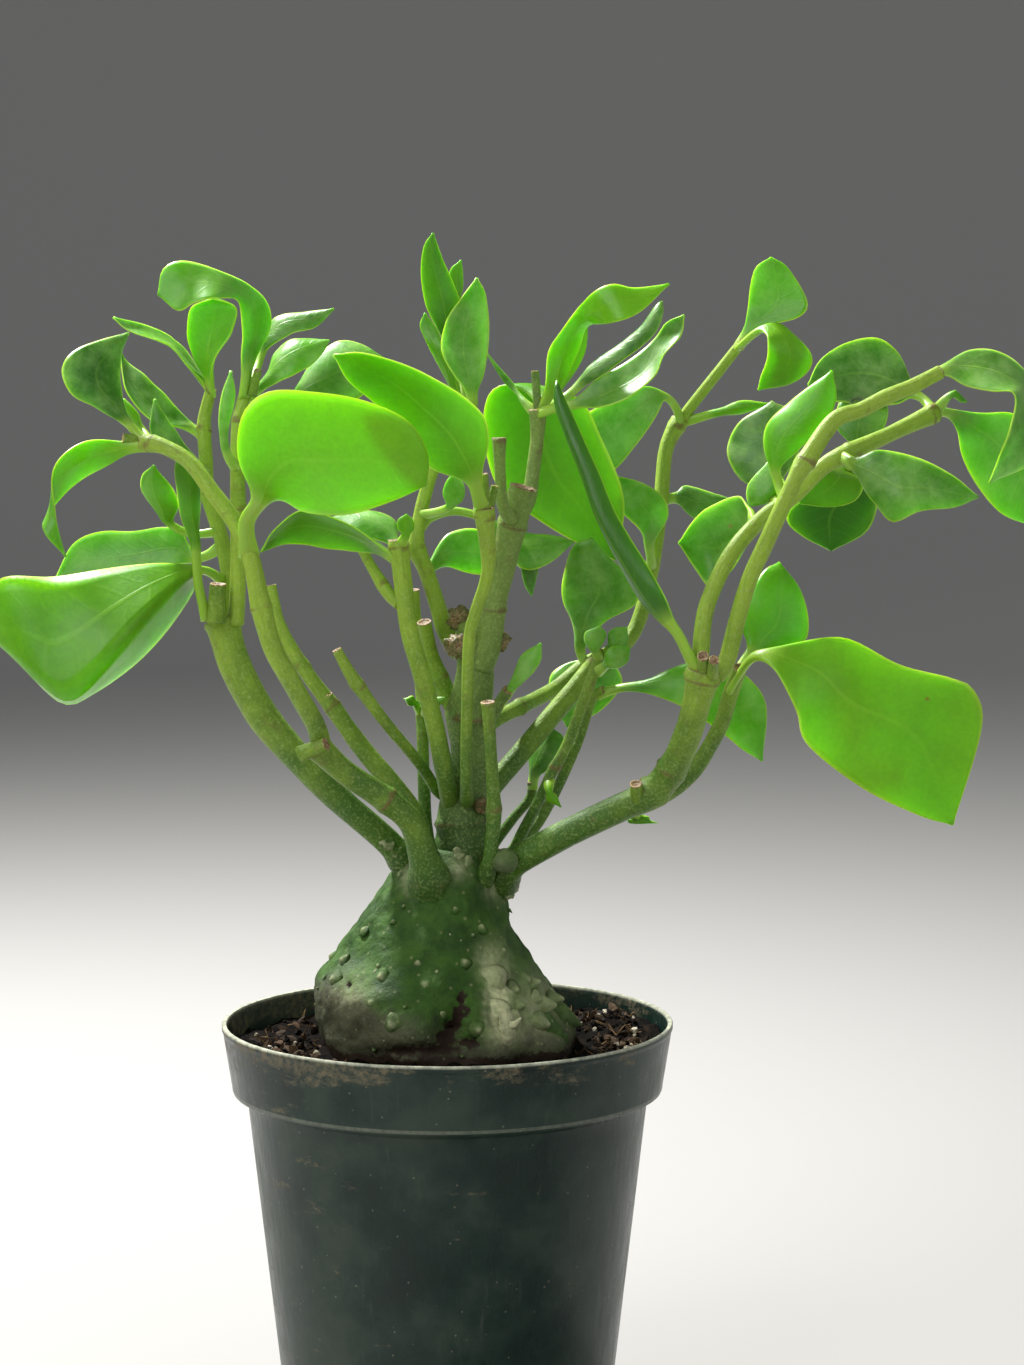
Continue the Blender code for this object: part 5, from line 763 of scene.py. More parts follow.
def pot_outline():
    """Radii and heights of the pot from its foot up the outside, over the rim and down the inside."""
    lip, top = POT_HEIGHT - LIP_HEIGHT, POT_HEIGHT
    outside = [(BASE_RADIUS - 0.5, 0.25), (BASE_RADIUS, 1.1)]
    outside += [(wall_radius(h), h) for h in (2.5, 20, 45, 70, 95, 112, 116.5)]
    outside += [(71.5, lip - 3.4), (72.2, lip - 2.9), (75.4, lip - 1.5), (76.1, lip - 1.1),
                (76.4, lip - 0.4), (76.5, lip + 0.8)]
    outside += [(wall_radius(h), h) for h in (lip + 7, lip + 14, lip + 19.5)]
    rim = [(79.65, top - 2.4), (80.0, top - 1.9), (80.0, top - 0.5), (79.7, top - 0.1),
           (79.2, top), (78.5, top - 0.1), (78.2, top - 0.6), (77.9, top - 2.2)]
    inside = [(wall_radius(h) - WALL, h) for h in (lip + 12, lip + 3)]
    inside += [(76.2 - WALL, lip + 0.8), (74.6 - WALL, lip - 0.6), (71.6 - WALL, lip - 2.0),
               (71.0 - WALL, lip - 4.5)]
    inside += [(wall_radius(h) - WALL, h) for h in (95, 70, 45, 20, 4)] + [(BASE_RADIUS - WALL - 1.5, 1.7)]
    return outside + rim + inside


def pot():
    """The tapered pot, drawn up ring by ring from its foot, over the rim and down the inside."""
    clear_selection()
    radius, height = BASE_RADIUS - 1.5, 0.0
    bpy.ops.mesh.primitive_circle_add(vertices=POT_SIDES, radius=radius * MM, fill_type="NOTHING")
    made = bpy.context.object
    made.name = made.data.name = "nursery_pot"
    bpy.ops.object.mode_set(mode="EDIT")
    bpy.ops.mesh.select_all(action="SELECT")
    for wider, higher in pot_outline():
        bpy.ops.mesh.extrude_region_move(TRANSFORM_OT_translate={"value": (0, 0, (higher - height) * MM)})
        share = wider / radius
        bpy.ops.transform.resize(value=(share, share, 1), center_override=(0, 0, higher * MM))
        radius, height = wider, higher
    bpy.ops.mesh.edge_face_add()
    bpy.ops.mesh.inset(thickness=8 * MM)
    # the foot is closed with a band that it stands on and a middle raised by half a mm
    bpy.ops.mesh.select_all(action="DESELECT")
    bpy.ops.mesh.select_mode(type="EDGE")
    bpy.ops.mesh.select_non_manifold()
    bpy.ops.mesh.edge_face_add()
    for width, rise in FOOT_BANDS:
        bpy.ops.mesh.inset(thickness=width * MM)
        if rise:
            bpy.ops.transform.translate(value=(0, 0, rise * MM))
    bpy.ops.mesh.select_all(action="SELECT")
    bpy.ops.mesh.normals_make_consistent(inside=False)
    bpy.ops.object.mode_set(mode="OBJECT")
    for k in range(DRAIN_HOLES):
        turn = 2 * math.pi * (k + 0.5) / DRAIN_HOLES
        clear_selection()
        bpy.ops.mesh.primitive_cylinder_add(
            vertices=DRAIN_SIDES, radius=DRAIN_RADIUS * MM, depth=12 * MM,
            location=(DRAIN_RING * math.cos(turn) * MM, DRAIN_RING * math.sin(turn) * MM, 0))
        drill = bpy.context.object
        cut = made.modifiers.new("drain_hole", "BOOLEAN")
        cut.operation, cut.solver, cut.object = "DIFFERENCE", "EXACT", drill
        bpy.context.view_layer.objects.active = made
        bpy.ops.object.modifier_apply(modifier=cut.name)
        bpy.data.objects.remove(drill, do_unlink=True)
    clear_selection()
    made.select_set(True)
    bpy.context.view_layer.objects.active = made
    bpy.ops.object.shade_smooth_by_angle(angle=math.radians(38))
    stands_for(made, "pot", "pot")


# ---- soil ----


def soil_height(x, y):
    """The uneven top of the soil, higher at the back right and the front left."""
    level = SOIL_LEVEL + sum(rise * math.exp(-((x - middle_x) ** 2 + (y - middle_y) ** 2) / spread)
                             for rise, middle_x, middle_y, spread in SOIL_HEAPS)
    return level + 0.8 * math.sin(0.21 * x + 0.6) * math.cos(0.17 * y) + 0.5 * math.sin(0.43 * y - 0.31 * x)


def rough_soil(x, y, lift=0.0):
    """A place on the soil with its clods and crumbs, or a little above it."""
    here = Vector((x, y, 0))
    return Vector((x, y, soil_height(x, y) + 1.5 * noise.noise(here * 0.11) + 0.9 * noise.noise(here * 0.29)
                   + 0.55 * noise.noise(here * 0.7) - 0.3 + lift))


def soil():
    """The crumbly soil surface, and the body of soil under it."""
    grown, grid = Growth(), []
    edge = wall_radius(SOIL_LEVEL) - WALL - 0.3
    for radius, height in ((BASE_RADIUS - WALL - 1.2, 2.2), (wall_radius(60) - WALL - 0.5, 60),
                           (70.6 - WALL - 0.6, 116.5), (71.0 - WALL - 0.6, 120),
                           (75.6 - WALL - 0.6, 123.5), (edge, 129)):
        grid.append([grown.add(Vector((radius * math.cos(turn), radius * math.sin(turn), height)))
                     for turn in turns(SOIL_SIDES)])
    for i in range(SOIL_RINGS):
        radius = edge * (1 - i / SOIL_RINGS)
        turned = [2 * math.pi * (k + 0.5 * (i % 2)) / SOIL_SIDES for k in range(SOIL_SIDES)]
        grid.append([grown.add(rough_soil(radius * math.cos(turn), radius * math.sin(turn)))
                     for turn in turned])
    grown.close(grid)
    grown.become("soil_surface", "soil", "soil", "potting_soil")


def crumb(grown, place, size, long, flat, sides, chance, shade):
    """One broken bit of a few dozen faces, turned at random."""
    turn = Vector((chance.random() - 0.5, chance.random() - 0.5, chance.random() - 0.5)).normalized()
    u = turn.orthogonal().normalized()
    v = turn.cross(u)
    grid = []
    for i in range(4):
        lean, row = math.pi * (i + 0.5) / 4, []
        for spin in turns(sides):
            out = (turn * math.cos(lean) * long + u * math.sin(lean) * math.cos(spin)
                   + v * math.sin(lean) * math.sin(spin) * flat)
            row.append(grown.add(place + out * size * (0.75 + 0.5 * chance.random()), shade))
        grid.append(row)
    grown.close(grid[::-1])


def on_soil(chance):
    """A random place on the soil: in one of the heaps, or between the caudex and the wall."""
    if chance.random() < HEAP_SHARE:
        x, y, spread = BIT_HEAPS[int(chance.random() * len(BIT_HEAPS))]
        return x + spread * (chance.random() - 0.5), y + spread * (chance.random() - 0.5)
    turn = 2 * math.pi * chance.random()
    radius = BITS_FROM + (BITS_TO - BITS_FROM) * chance.random() ** 0.8
    return radius * math.cos(turn), radius * math.sin(turn)


def soil_bits():
    """Bark chips, peat crumbs, coir fibre and perlite that lie in and on the soil."""
    chance = random.Random(11)
    for name, count, smallest, largest, long, flat, lift, sides, skin in SOIL_BITS:
        grown = Growth("shade")
        for _ in range(count):
            x, y = on_soil(chance)
            size = smallest + (largest - smallest) * chance.random() ** 2
            # none stands in the wall or in the caudex
            if math.hypot(x, y) > INSIDE_WALL - size * min(long, 2.0) or math.hypot(x + 2, y) < OFF_CENTRE:
                continue
            crumb(grown, rough_soil(x, y, lift * size), size, long, flat, sides, chance, chance.random())
        grown.become(name, skin, "soil", "potting_soil", smooth=False)


# ---- caudex ----


def caudex_place(turn, height):
    """A place on the caudex: turn in radians from the right toward the viewer, and its height."""
    profile = CAUDEX_PROFILE
    height = clip(height, profile[0][0], profile[-1][0])
    i = max(k for k in range(len(profile) - 1) if profile[k][0] <= height)
    before, after = profile[max(i - 1, 0)], profile[min(i + 2, len(profile) - 1)]
    (h0, r0, s0), (h1, r1, s1) = profile[i], profile[i + 1]
    run = h1 - h0
    f = (height - h0) / run
    values = []
    for a, b, low, high in ((r0, r1, before[1], after[1]), (s0, s1, before[2], after[2])):
        slope0 = (b - low) / (h1 - before[0]) if i else (b - a) / run
        slope1 = (high - a) / (after[0] - h0)
        values.append((2 * f ** 3 - 3 * f * f + 1) * a + (f ** 3 - 2 * f * f + f) * slope0 * run
                      + (3 * f * f - 2 * f ** 3) * b + (f ** 3 - f * f) * slope1 * run)
    radius, shift = values
    # shallow lobes all round, least at the two edges that the viewer sees and at the crown
    fade = abs(math.sin(turn)) ** 0.7 * min(1.0, (profile[-1][0] - height) / 30)
    radius *= 1 + fade * (0.03 * math.sin(3 * turn + 0.6 + height / 18)
                          + 0.02 * math.sin(5 * turn - height / 11))
    for angle, level, spread, rise, amount in SWELLS:
        off = (math.degrees(turn) - angle + 180) % 360 - 180
        radius += amount * bell(off / spread, (height - level) / rise)
    return Vector((shift + radius * math.cos(turn), -radius * math.sin(turn), height))


def off_caudex(place):
    """How far in mm a place lies outside the caudex's skin."""
    middle = (caudex_place(0.0, place.z) + caudex_place(math.pi, place.z)) / 2
    skin = caudex_place(math.atan2(middle.y - place.y, place.x - middle.x), place.z)
    beyond = (place - middle).xy.length - (skin - middle).xy.length
    return math.hypot(max(0.0, beyond), max(0.0, place.z - CAUDEX_PROFILE[-1][0]))


def on_caudex(across, up):
    """The place on the caudex's near side that the line of sight through a plane point meets."""
    toward = 30.0
    for _ in range(12):
        seen = at((across, up, toward))
        ring = [caudex_place(math.radians(t), seen.z) for t in range(0, 181, 2)]
        toward = -min(ring, key=lambda p: abs(p.x - seen.x)).y
    return at((across, up, toward))


def dab(places, across, up, near):
    """How strongly a plane point lies in the given dabs, on the near side only."""
    most = max(strength * bell((across - x) / wide, (up - z) / high) for x, z, wide, high, strength in places)
    return most if near else 0.0


def caudex_growth():
    """Nothing yet, with the point values that the caudex skin reads."""
    return Growth("green", "pale", "dirt_and_shade")


def caudex():
    """The swollen base of the plant, lumpy, with its cleft and holes."""
    grown, grid = caudex_growth(), []
    low, high = CAUDEX_PROFILE[0][0], CAUDEX_PROFILE[-1][0]
    for i in range(CAUDEX_LEVELS + 1):
        height, row = low + (high - low) * i / CAUDEX_LEVELS, []
        for turn in turns(CAUDEX_SIDES):
            place = caudex_place(turn, height)
            out = Vector((math.cos(turn), -math.sin(turn), 0.35 if height > 150 else 0.0)).normalized()
            across, up = seen_at(place)
            near = place.y < 0
            ragged = noise.noise(place * 0.5) * 1.6
            # deep sinks the cleft and pits, and paints shade into them
            deep = dab(DARK, across + ragged, up + 1.2 * noise.noise(place * 0.6 + Vector((9, 0, 0))), near)
            # pale: partly pale skin, partly painted sunlight, on the near side only
            pale = dab(PALE, across + 1.2 * ragged, up, near)
            push = 1.5 * noise.noise(place * 0.055) + 0.8 * noise.noise(place * 0.15)
            push = (push + 0.4 * noise.noise(place * 0.36) - 2.6 * deep) * min(1.0, (high - height) / 14)
            # green from half its height up, least green low on the left and more so low on the right
            green = 0.5 + 0.5 * clip((height - 152 + 9 * noise.noise(place * 0.04)) / 14, -1.0)
            green -= 0.5 * clip((-across - 8) / 22) * clip((168 - height) / 16)
            green += 0.35 * clip((across - 4) / 14) * clip((158 - height) / 16)
            # the third value darkens the skin: soil at the foot, and painted shade where the dark places lie
            foot = math.exp(-max(0.0, height - soil_height(place.x, place.y) - 1.0) / 2.6)
            row.append(grown.add(place + out * push, green, pale, max(deep, 0.85 * foot)))
        grid.append(row[::-1])
    grown.close(grid)
    grown.become("caudex_body", "caudex", "caudex", "caudex_skin")


def wart(grown, place, middle, radius, sharp=1.0):
    """A low pointed wart with a paler tip, sunk into the skin and turned away from the middle."""
    away = (place - middle).normalized()
    u = away.orthogonal().normalized()
    v = away.cross(u)
    # the pale dabs reach the warts too: partly pale skin, partly painted sunlight
    pale = 0.9 * dab(PALE, *seen_at(place), place.y < 0)
    rows = []
    for rise, size, tip in WART_RINGS:
        row = []
        for k, turn in enumerate(turns(WART_SIDES)):
            uneven = 1 + 0.08 * math.sin(math.pi * k / 3 + place.x)
            out = (u * math.cos(turn) + v * math.sin(turn)) * size * radius * uneven
            row.append(grown.add(place + away * rise * sharp * radius + out, 0.85, max(tip, pale), 0.0))
        rows.append(row)
    grown.close(rows)


def warts():
    """The warts of the caudex: the ones the viewer sees, and others all round."""
    grown, chance, middle = caudex_growth(), random.Random(5), Vector((-2, 0, 150))
    for across, up, radius in WARTS:
        wart(grown, on_caudex(across, up), middle, radius)
    for k in range(BACK_WARTS):
        place = caudex_place(math.pi * (1.02 + 0.96 * ((k * 0.618) % 1)), 141 + 42 * chance.random())
        wart(grown, place, middle, 1.0 + 1.1 * chance.random())
    for _ in range(SMALL_WARTS):
        place = caudex_place(2 * math.pi * chance.random(), 139 + 55 * chance.random() ** 1.2)
        wart(grown, place, middle, 0.35 + 0.4 * chance.random())
    grown.become("caudex_warts", "caudex", "caudex", "caudex_skin")


def callus(grown, point, radius, seed, flat, rough=1.0):
    """A rough pale lump on the caudex."""
    def skin(out):
        lump = 0.32 * noise.noise(out * 1.5 + Vector((seed, 0, 0)))
        lump = (lump + 0.2 * noise.noise(out * 4.6 + Vector((0, seed, 0)))) * rough
        return lump, (0.9, clip(0.1 + 0.15 * rough + 1.4 * lump), 0.0)

    ball(grown, at(point), radius, CALLUS_LEVELS, skin, flat)


def crown():
    """The rough collars, knobs and callus where the stems leave the caudex."""
    grown = caudex_growth()
    for seed, (point, radius, flat) in enumerate(CROWN_LUMPS):
        callus(grown, point, radius, seed * 3.7, flat)
    point, radius, flat = SMOOTH_LUMP
    callus(grown, point, radius, 90.0, flat, 0.08)
    grown.become("caudex_crown", "caudex", "caudex", "caudex_skin")


def root_lobes():
    """The green pointed lobes at the caudex's right foot, and a torn pale one in front."""
    grown = caudex_growth()
    for route, radii, green, pale in ROOT_LOBES:
        places, _ = even(smooth_line(route), LOBE_LEVELS)
        rows = []
        for i, (place, (u, v, _)) in enumerate(zip(places, frames_along(places))):
            radius, row = between(radii, (len(radii) - 1) * i / LOBE_LEVELS), []
            for turn in turns(LOBE_SIDES):
                out = u * math.cos(turn) + v * math.sin(turn)
                lump = 0.22 * noise.noise(place * 0.22 + out) + 0.1 * noise.noise(place * 0.8 + out * 2)
                row.append(grown.add(place + out * radius * (1 + lump), green,
                                     pale * (0.6 + 0.8 * max(0.0, lump + 0.3)), 0.0))
            rows.append(row)
        grown.close(rows)
    for across, up, radius in LOBE_WARTS:
        wart(grown, on_caudex(across, up), Vector((-2, 0, 146)), radius, 2.0)
    grown.become("caudex_root_lobes", "caudex", "caudex", "caudex_skin")


# ---- plant: each function stands for one CAD node ----


def outer_left_stem():
    """The thick stem on the far left, its two shoots, and their leaves."""
    stem([(-13.2, 199.4, 2), (-21.7, 209.4, 4), (-37.9, 223.7, 6.4), (-51.9, 237.9, 7.6),
          (-65.2, 253.9, 6), (-74.6, 271.6, 3.3), (-79.0, 287.4, 0)], [4.4, 4.6, 4.8, 5.2, 5.6, 5.8, 5.7],
         rings=[0.99])
    stem([(-76.6, 286.0, -4.9), (-76.5, 301.5, -9.9), (-78.8, 315.6, -13.2), (-83.6, 332.0, -16.5),
          (-84.2, 343.6, -16.5), (-84.7, 356.8, -19.8), (-82.2, 368.3, -19.8)],
         [2.9, 2.7, 2.7, 2.6, 2.5, 2.3, 2.0], rings=[0.55, 0.82])
    stem([(-74.1, 286.0, 3.3), (-73.3, 301.5, 6.6), (-73.1, 326.1, 6.6), (-72.9, 350.9, 6.6),
          (-71.4, 362.4, 3.3), (-68.9, 372.1, 0)], [2.9, 2.8, 2.7, 2.6, 2.3, 2.0], rings=[0.45, 0.8])
    stub([(-81.1, 286.7, 8.2), (-80.3, 300.1, 9.9)], 3.2)
    stub([(-67.9, 365.9, 4.9), (-65.7, 374.9, 6.6)], 1.5)
    # the big leaf that hangs on the far left, folded along its lower side
    leaf([(-78.2, 300.8, -9.9), (-82.8, 304.0, -1.6), (-87.6, 306.1, 4.9)],
         [(-99.6, 307.5, 9.9), (-119.2, 305.4, 16.5), (-137.9, 302.6, 21.4), (-155.1, 302.6, 21.4),
          (-161.2, 295.2, 18.1)],
         [(-88.4, 298.7, -6.6), (-94.5, 289.2, 0), (-108.0, 273.3, 9.9), (-124.0, 261.7, 16),
          (-135.6, 258.1, 20.3), (-150.2, 271.9, 18.1)], (-163.1, 283.9, 13.2),
         mid=[(-103.6, 291.7, 26.4), (-117.8, 275.1, 36.3), (-132.1, 259.5, 34.7), (-142.6, 264.8, 30.9),
              (-155.1, 276.9, 21.4)], tone=0.2)
    # the leaf above it
    leaf([(-78.8, 313.8, -13.2), (-84.1, 309.9, -14.8), (-89.4, 308.5, -16.5)],
         [(-92.8, 318.4, -19.8), (-100.1, 320.1, -23.1), (-109.6, 318.7, -26.4), (-121.5, 318.4, -29.7),
          (-131.4, 313.8, -29.7)], [(-97.1, 306.4, -19.8), (-111.2, 302.9, -21.4), (-125.3, 300.1, -23.1)],
         (-137.5, 301.9, -26.4), cup=2, tone=0.35)
    # the curled glossy leaf
    leaf([(-79.8, 318.4, -13.2), (-90.0, 317.7, -14.8), (-97.7, 321.2, -13.2)],
         [(-101.5, 325.4, -13.2), (-106.3, 332.4, -13.2), (-106.6, 338.0, -9.9)],
         [(-94.1, 327.1, -9.9), (-96.1, 334.1, -4.9), (-99.6, 338.0, -4.9)], (-102.4, 341.8, -1.6), cup=2,
         tone=-0.2)
    # the folded leaf that stands on the top ring
    leaf([(-84.3, 287.4, 8.2), (-87.3, 300.5, 9.9), (-87.9, 312.1, 8.2)],
         [(-92.8, 322.6, 6.6), (-94.4, 333.1, 9.9), (-95.0, 341.5, 11.5)],
         [(-86.8, 321.9, 4.9), (-86.4, 333.1, 8.2), (-88.7, 342.5, 9.9)], (-92.5, 346.3, 11.5), cup=3,
         tone=-0.55)
    # the small dark hooked leaf
    leaf([(-83.9, 338.7, -16.5), (-87.7, 342.2, -6.6), (-90.8, 346.0, 0)],
         [(-98.5, 348.1, 1.6), (-103.3, 353.0, 1.6), (-102.9, 360.3, 0)],
         [(-93.2, 351.6, 1.6), (-97.3, 357.5, 1.6), (-100.1, 361.7, 0)], (-101.8, 364.8, 0), cup=1,
         tone=-0.6)
    # the glossy leaf behind it
    leaf([(-84.4, 350.5, -18.1), (-86.2, 352.6, -19.8), (-88.9, 355.4, -19.8)],
         [(-96.6, 364.5, -23.1), (-104.5, 372.5, -26.4), (-111.4, 378.0, -29.7)],
         [(-99.1, 355.8, -13.2), (-105.7, 359.6, -13.2), (-111.5, 366.6, -16.5), (-113.2, 373.5, -23.1)],
         (-113.5, 381.1, -29.7), cup=2, tone=-0.2)
    # the narrow leaf that points up and left
    leaf([(-82.2, 366.6, -19.8), (-82.5, 368.6, -19.8), (-83.9, 370.0, -19.8)],
         [(-88.4, 378.0, -21.4), (-92.9, 383.9, -23.1), (-99.8, 388.4, -23.1), (-107.4, 391.2, -21.4)],
         [(-89.8, 375.9, -14.8), (-95.7, 382.9, -14.8), (-103.3, 386.3, -14.8), (-111.6, 389.1, -18.1)],
         (-116.1, 393.3, -19.8), cup=1)
    # the broad leaf behind the top one
    leaf([(-82.2, 365.9, -19.8), (-82.5, 369.3, -18.1), (-82.9, 371.4, -16.5)],
         [(-87.7, 378.0, -19.8), (-90.4, 387.0, -19.8), (-88.9, 396.4, -16.5)],
         [(-80.7, 379.1, -9.9), (-74.7, 388.4, -9.9), (-73.2, 396.4, -9.9)], (-81.2, 399.5, -9.9), cup=-2,
         tone=0.2)
    # the top leaf: it rises, then folds over to the left
    leaf([(-70.7, 365.2, 3.3), (-70.3, 369.7, 4.9), (-69.6, 374.2, 4.9)],
         [(-66.8, 379.1, 3.3), (-61.1, 390.5, -3.3), (-63.5, 400.2, 0), (-75.9, 407.8, 13.2),
          (-90.9, 412.6, 18.1), (-98.5, 409.9, 19.8)],
         [(-71.6, 378.4, 6.6), (-70.9, 387.0, 6.6), (-72.5, 398.5, 14.8), (-80.5, 399.9, 28),
          (-87.9, 398.1, 28), (-93.5, 395.4, 24.8)], (-100.4, 400.9, 21.4), tone=0.2)
    # the leaves to its right
    leaf([(-69.3, 369.3, -1.6), (-66.4, 374.9, -13.2), (-64.3, 381.1, -19.8)],
         [(-62.1, 389.5, -23.1), (-58.6, 393.6, -23.1), (-49.2, 395.0, -21.4)],
         [(-60.8, 383.6, -16.5), (-53.1, 387.7, -16.5), (-45.4, 389.8, -18.1)], (-39.1, 396.0, -19.8),
         cup=1)
    leaf([(-70.0, 365.2, 1.6), (-67.9, 365.5, -3.3), (-65.4, 367.6, -4.9)],
         [(-61.6, 374.2, -6.6), (-60.1, 380.4, -8.2), (-55.2, 385.0, -8.2), (-48.2, 385.7, -8.2)],
         [(-59.8, 370.0, 0), (-53.2, 373.2, 1.6), (-47.6, 376.3, 0), (-43.4, 380.4, -3.3)],
         (-40.9, 385.0, -6.6), cup=2)
    leaf([(-71.1, 357.5, 6.6), (-64.5, 359.6, -13.2), (-53.9, 363.8, -23.1)],
         [(-51.1, 370.7, -23.1), (-46.2, 378.4, -24.8), (-37.8, 385.0, -26.4), (-29.4, 383.6, -26.4)],
         [(-44.9, 361.7, -16.5), (-33.7, 363.1, -16.5), (-24.6, 370.7, -19.8)], (-22.1, 379.1, -24.8),
         cup=3, tone=0.15)
    # the slim pale leaf between the shoots
    leaf([(-73.0, 340.1, 6.6), (-75.4, 342.9, 13.2), (-77.5, 346.7, 16.5)],
         [(-79.5, 355.8, 18.1), (-78.4, 366.2, 18.1)], [(-76.0, 355.8, 18.1), (-73.8, 366.2, 18.1)],
         (-75.2, 374.5, 16.5), cup=1, tone=0.4)
    dress("outer_left_stem")


def left_stem():
    """The stem from the front of the caudex to the left, with the big front leaf and the arching ones."""
    stem([(-5.8, 192.3, 14), (-7.9, 200.9, 21), (-12.5, 215.1, 26.1), (-21.6, 223.7, 29.8),
          (-35.7, 233.3, 34.4), (-46.6, 243.2, 39)], [6.6, 5.4, 4.4, 4.3, 4.2, 4.4], rings=[0.55, 0.98])
    stem([(-44.1, 240.7, 36.5), (-46.2, 250.0, 40.6), (-53.2, 262.7, 45), (-61.2, 277.6, 46.2),
          (-65.6, 293.8, 46.2), (-68.7, 308.9, 46.2), (-74.2, 321.5, 44.5), (-81.8, 332.0, 41.2),
          (-90.1, 342.9, 36.3), (-98.8, 348.1, 33), (-106.1, 349.8, 29.7)],
         [3.6, 3.3, 3.3, 3.3, 3.3, 3.0, 2.9, 2.8, 2.6, 2.6, 2.8], rings=[0.42, 0.97])
    stub([(-105.4, 349.8, 28), (-113.1, 351.2, 29.7)], 1.9)
    stub([(-51.9, 240.0, 41.4), (-42.7, 243.6, 44.6)], 2.6)
    # the big leaf in front
    leaf([(-69.4, 309.9, 46.2), (-70.0, 321.9, 54.4), (-64.7, 329.6, 62.7)],
         [(-71.9, 340.1, 71), (-73.3, 351.2, 74.2), (-70.0, 362.0, 75.9), (-60.9, 367.9, 75.9),
          (-45.9, 366.9, 77.5), (-28.4, 364.1, 77.5), (-13.4, 357.2, 75.9), (-6.5, 345.3, 72.6)],
         [(-58.0, 329.9, 59.4), (-49.6, 325.4, 56.1), (-35.6, 324.3, 59.4), (-18.1, 329.6, 66)],
         (-7.2, 334.8, 69.3), cup=4, tone=0.3, stalk=5.4)
    # the leaf that arches left and twists down
    leaf([(-103.7, 348.4, 31.3), (-106.5, 348.4, 29.7), (-109.3, 348.4, 29.7)],
         [(-118.4, 350.5, 29.7), (-127.5, 349.8, 33), (-134.5, 345.3, 37.9), (-138.1, 337.3, 41.2),
          (-137.6, 327.1, 36.3), (-135.9, 318.4, 36.3)],
         [(-117.1, 342.5, 28), (-125.5, 338.3, 21.4), (-133.3, 333.1, 21.4), (-139.3, 324.7, 26.4),
          (-141.2, 318.4, 36.3)], (-133.6, 309.6, 36.3), tone=0.1)
    # the dark leaf that curls up at the far left, and the small one behind it
    leaf([(-104.0, 348.8, 31.3), (-107.2, 351.9, 28), (-111.3, 356.1, 26.4)],
         [(-116.9, 358.5, 28), (-123.8, 362.4, 31.3), (-131.4, 366.9, 33), (-134.8, 374.5, 33),
          (-130.9, 380.8, 29.7), (-121.5, 385.0, 23.1)],
         [(-112.6, 362.7, 21.4), (-113.6, 369.7, 18.1), (-113.9, 378.4, 14.8)], (-111.0, 387.7, 13.2),
         cup=3, tone=-0.35)
    leaf([(-103.0, 349.1, 26.4), (-105.1, 351.9, 13.2), (-107.1, 354.7, 8.2)],
         [(-109.6, 356.8, 6.6), (-112.0, 360.3, 6.6)], [(-107.4, 359.2, 8.2), (-110.2, 362.7, 8.2)],
         (-112.6, 364.8, 6.6))
    dress("left_stem")


def cut_left_stem():
    """The bare stem between them, cut flat at its top."""
    stem([(-8.2, 203.7, 10), (-11.4, 218.0, 12.2), (-21.2, 231.5, 12.8), (-30.0, 242.2, 11.9),
          (-39.8, 256.0, 10.8), (-49.6, 269.1, 9.9), (-58.7, 285.3, 8.2), (-62.1, 299.4, 6.6)],
         [4.0, 3.6, 3.5, 3.3, 2.9, 2.5, 2.3, 2.2], rings=[0.56, 0.72])
    stub([(-40.2, 256.3, 10.8), (-41.6, 261.3, 12.8)], 1.4)
    dress("cut_left_stem")


def short_cut_stem():
    """The thin cut stem that leans left from the trunk's lower ring."""
    stem([(0.6, 224.4, -4.3), (-3.6, 227.2, 0), (-9.6, 236.5, 8.7), (-21.5, 251.0, 23.5),
          (-32.7, 266.3, 29.4), (-38.7, 276.9, 31.3)], [2.2, 2.0, 2.0, 2.0, 2.2, 1.7], rings=[0.8])
    dress("short_cut_stem")


def middle_stem():
    """The straight stem left of the trunk, with the dark leaves at its top."""
    stem([(1.3, 223.0, 3.2), (-0.1, 228.7, 10.1), (-3.9, 248.2, 17.1), (-9.1, 268.7, 21.4),
          (-13.3, 283.9, 21.4), (-15.7, 303.3, 19.8), (-17.1, 315.6, 19.8)],
         [3.6, 3.2, 3.2, 3.1, 3.1, 3.2, 3.3], rings=[0.97])
    stem([(-16.4, 293.1, 19.8), (-20.3, 296.6, 16.5), (-25.5, 304.7, 11.5), (-30.4, 313.5, 6.6)],
         [2.4, 2.2, 1.9, 1.7], rings=[0.35])
    leaf([(-17.1, 307.8, 19.8), (-18.9, 309.2, 19.8), (-21.3, 310.3, 19.8)],
         [(-26.2, 315.6, 23.1), (-37.4, 322.6, 26.4), (-50.7, 325.7, 28), (-60.2, 319.4, 28)],
         [(-27.6, 311.3, 14.8), (-40.9, 312.4, 14.8), (-55.0, 314.2, 18.1)], (-65.1, 311.3, 24.8), cup=2,
         tone=-0.4, stalk=4.5)
    leaf([(-16.7, 309.9, 19.8), (-17.1, 312.1, 13.2), (-17.8, 314.2, 9.9)],
         [(-17.8, 321.9, 3.3), (-25.5, 325.7, -1.6), (-35.6, 325.4, -4.9)],
         [(-23.4, 315.2, 9.9), (-33.2, 318.4, 9.9)], (-43.7, 321.2, 3.3), cup=-1, tone=-0.25)
    leaf([(-16.4, 313.5, 21.4), (-15.0, 315.6, 24.8), (-14.3, 317.0, 24.8)],
         [(-17.1, 319.1, 24.8), (-17.1, 322.6, 24.8)], [(-11.5, 319.1, 24.8), (-11.8, 322.6, 24.8)],
         (-14.2, 324.7, 24.8))
    dress("middle_stem")


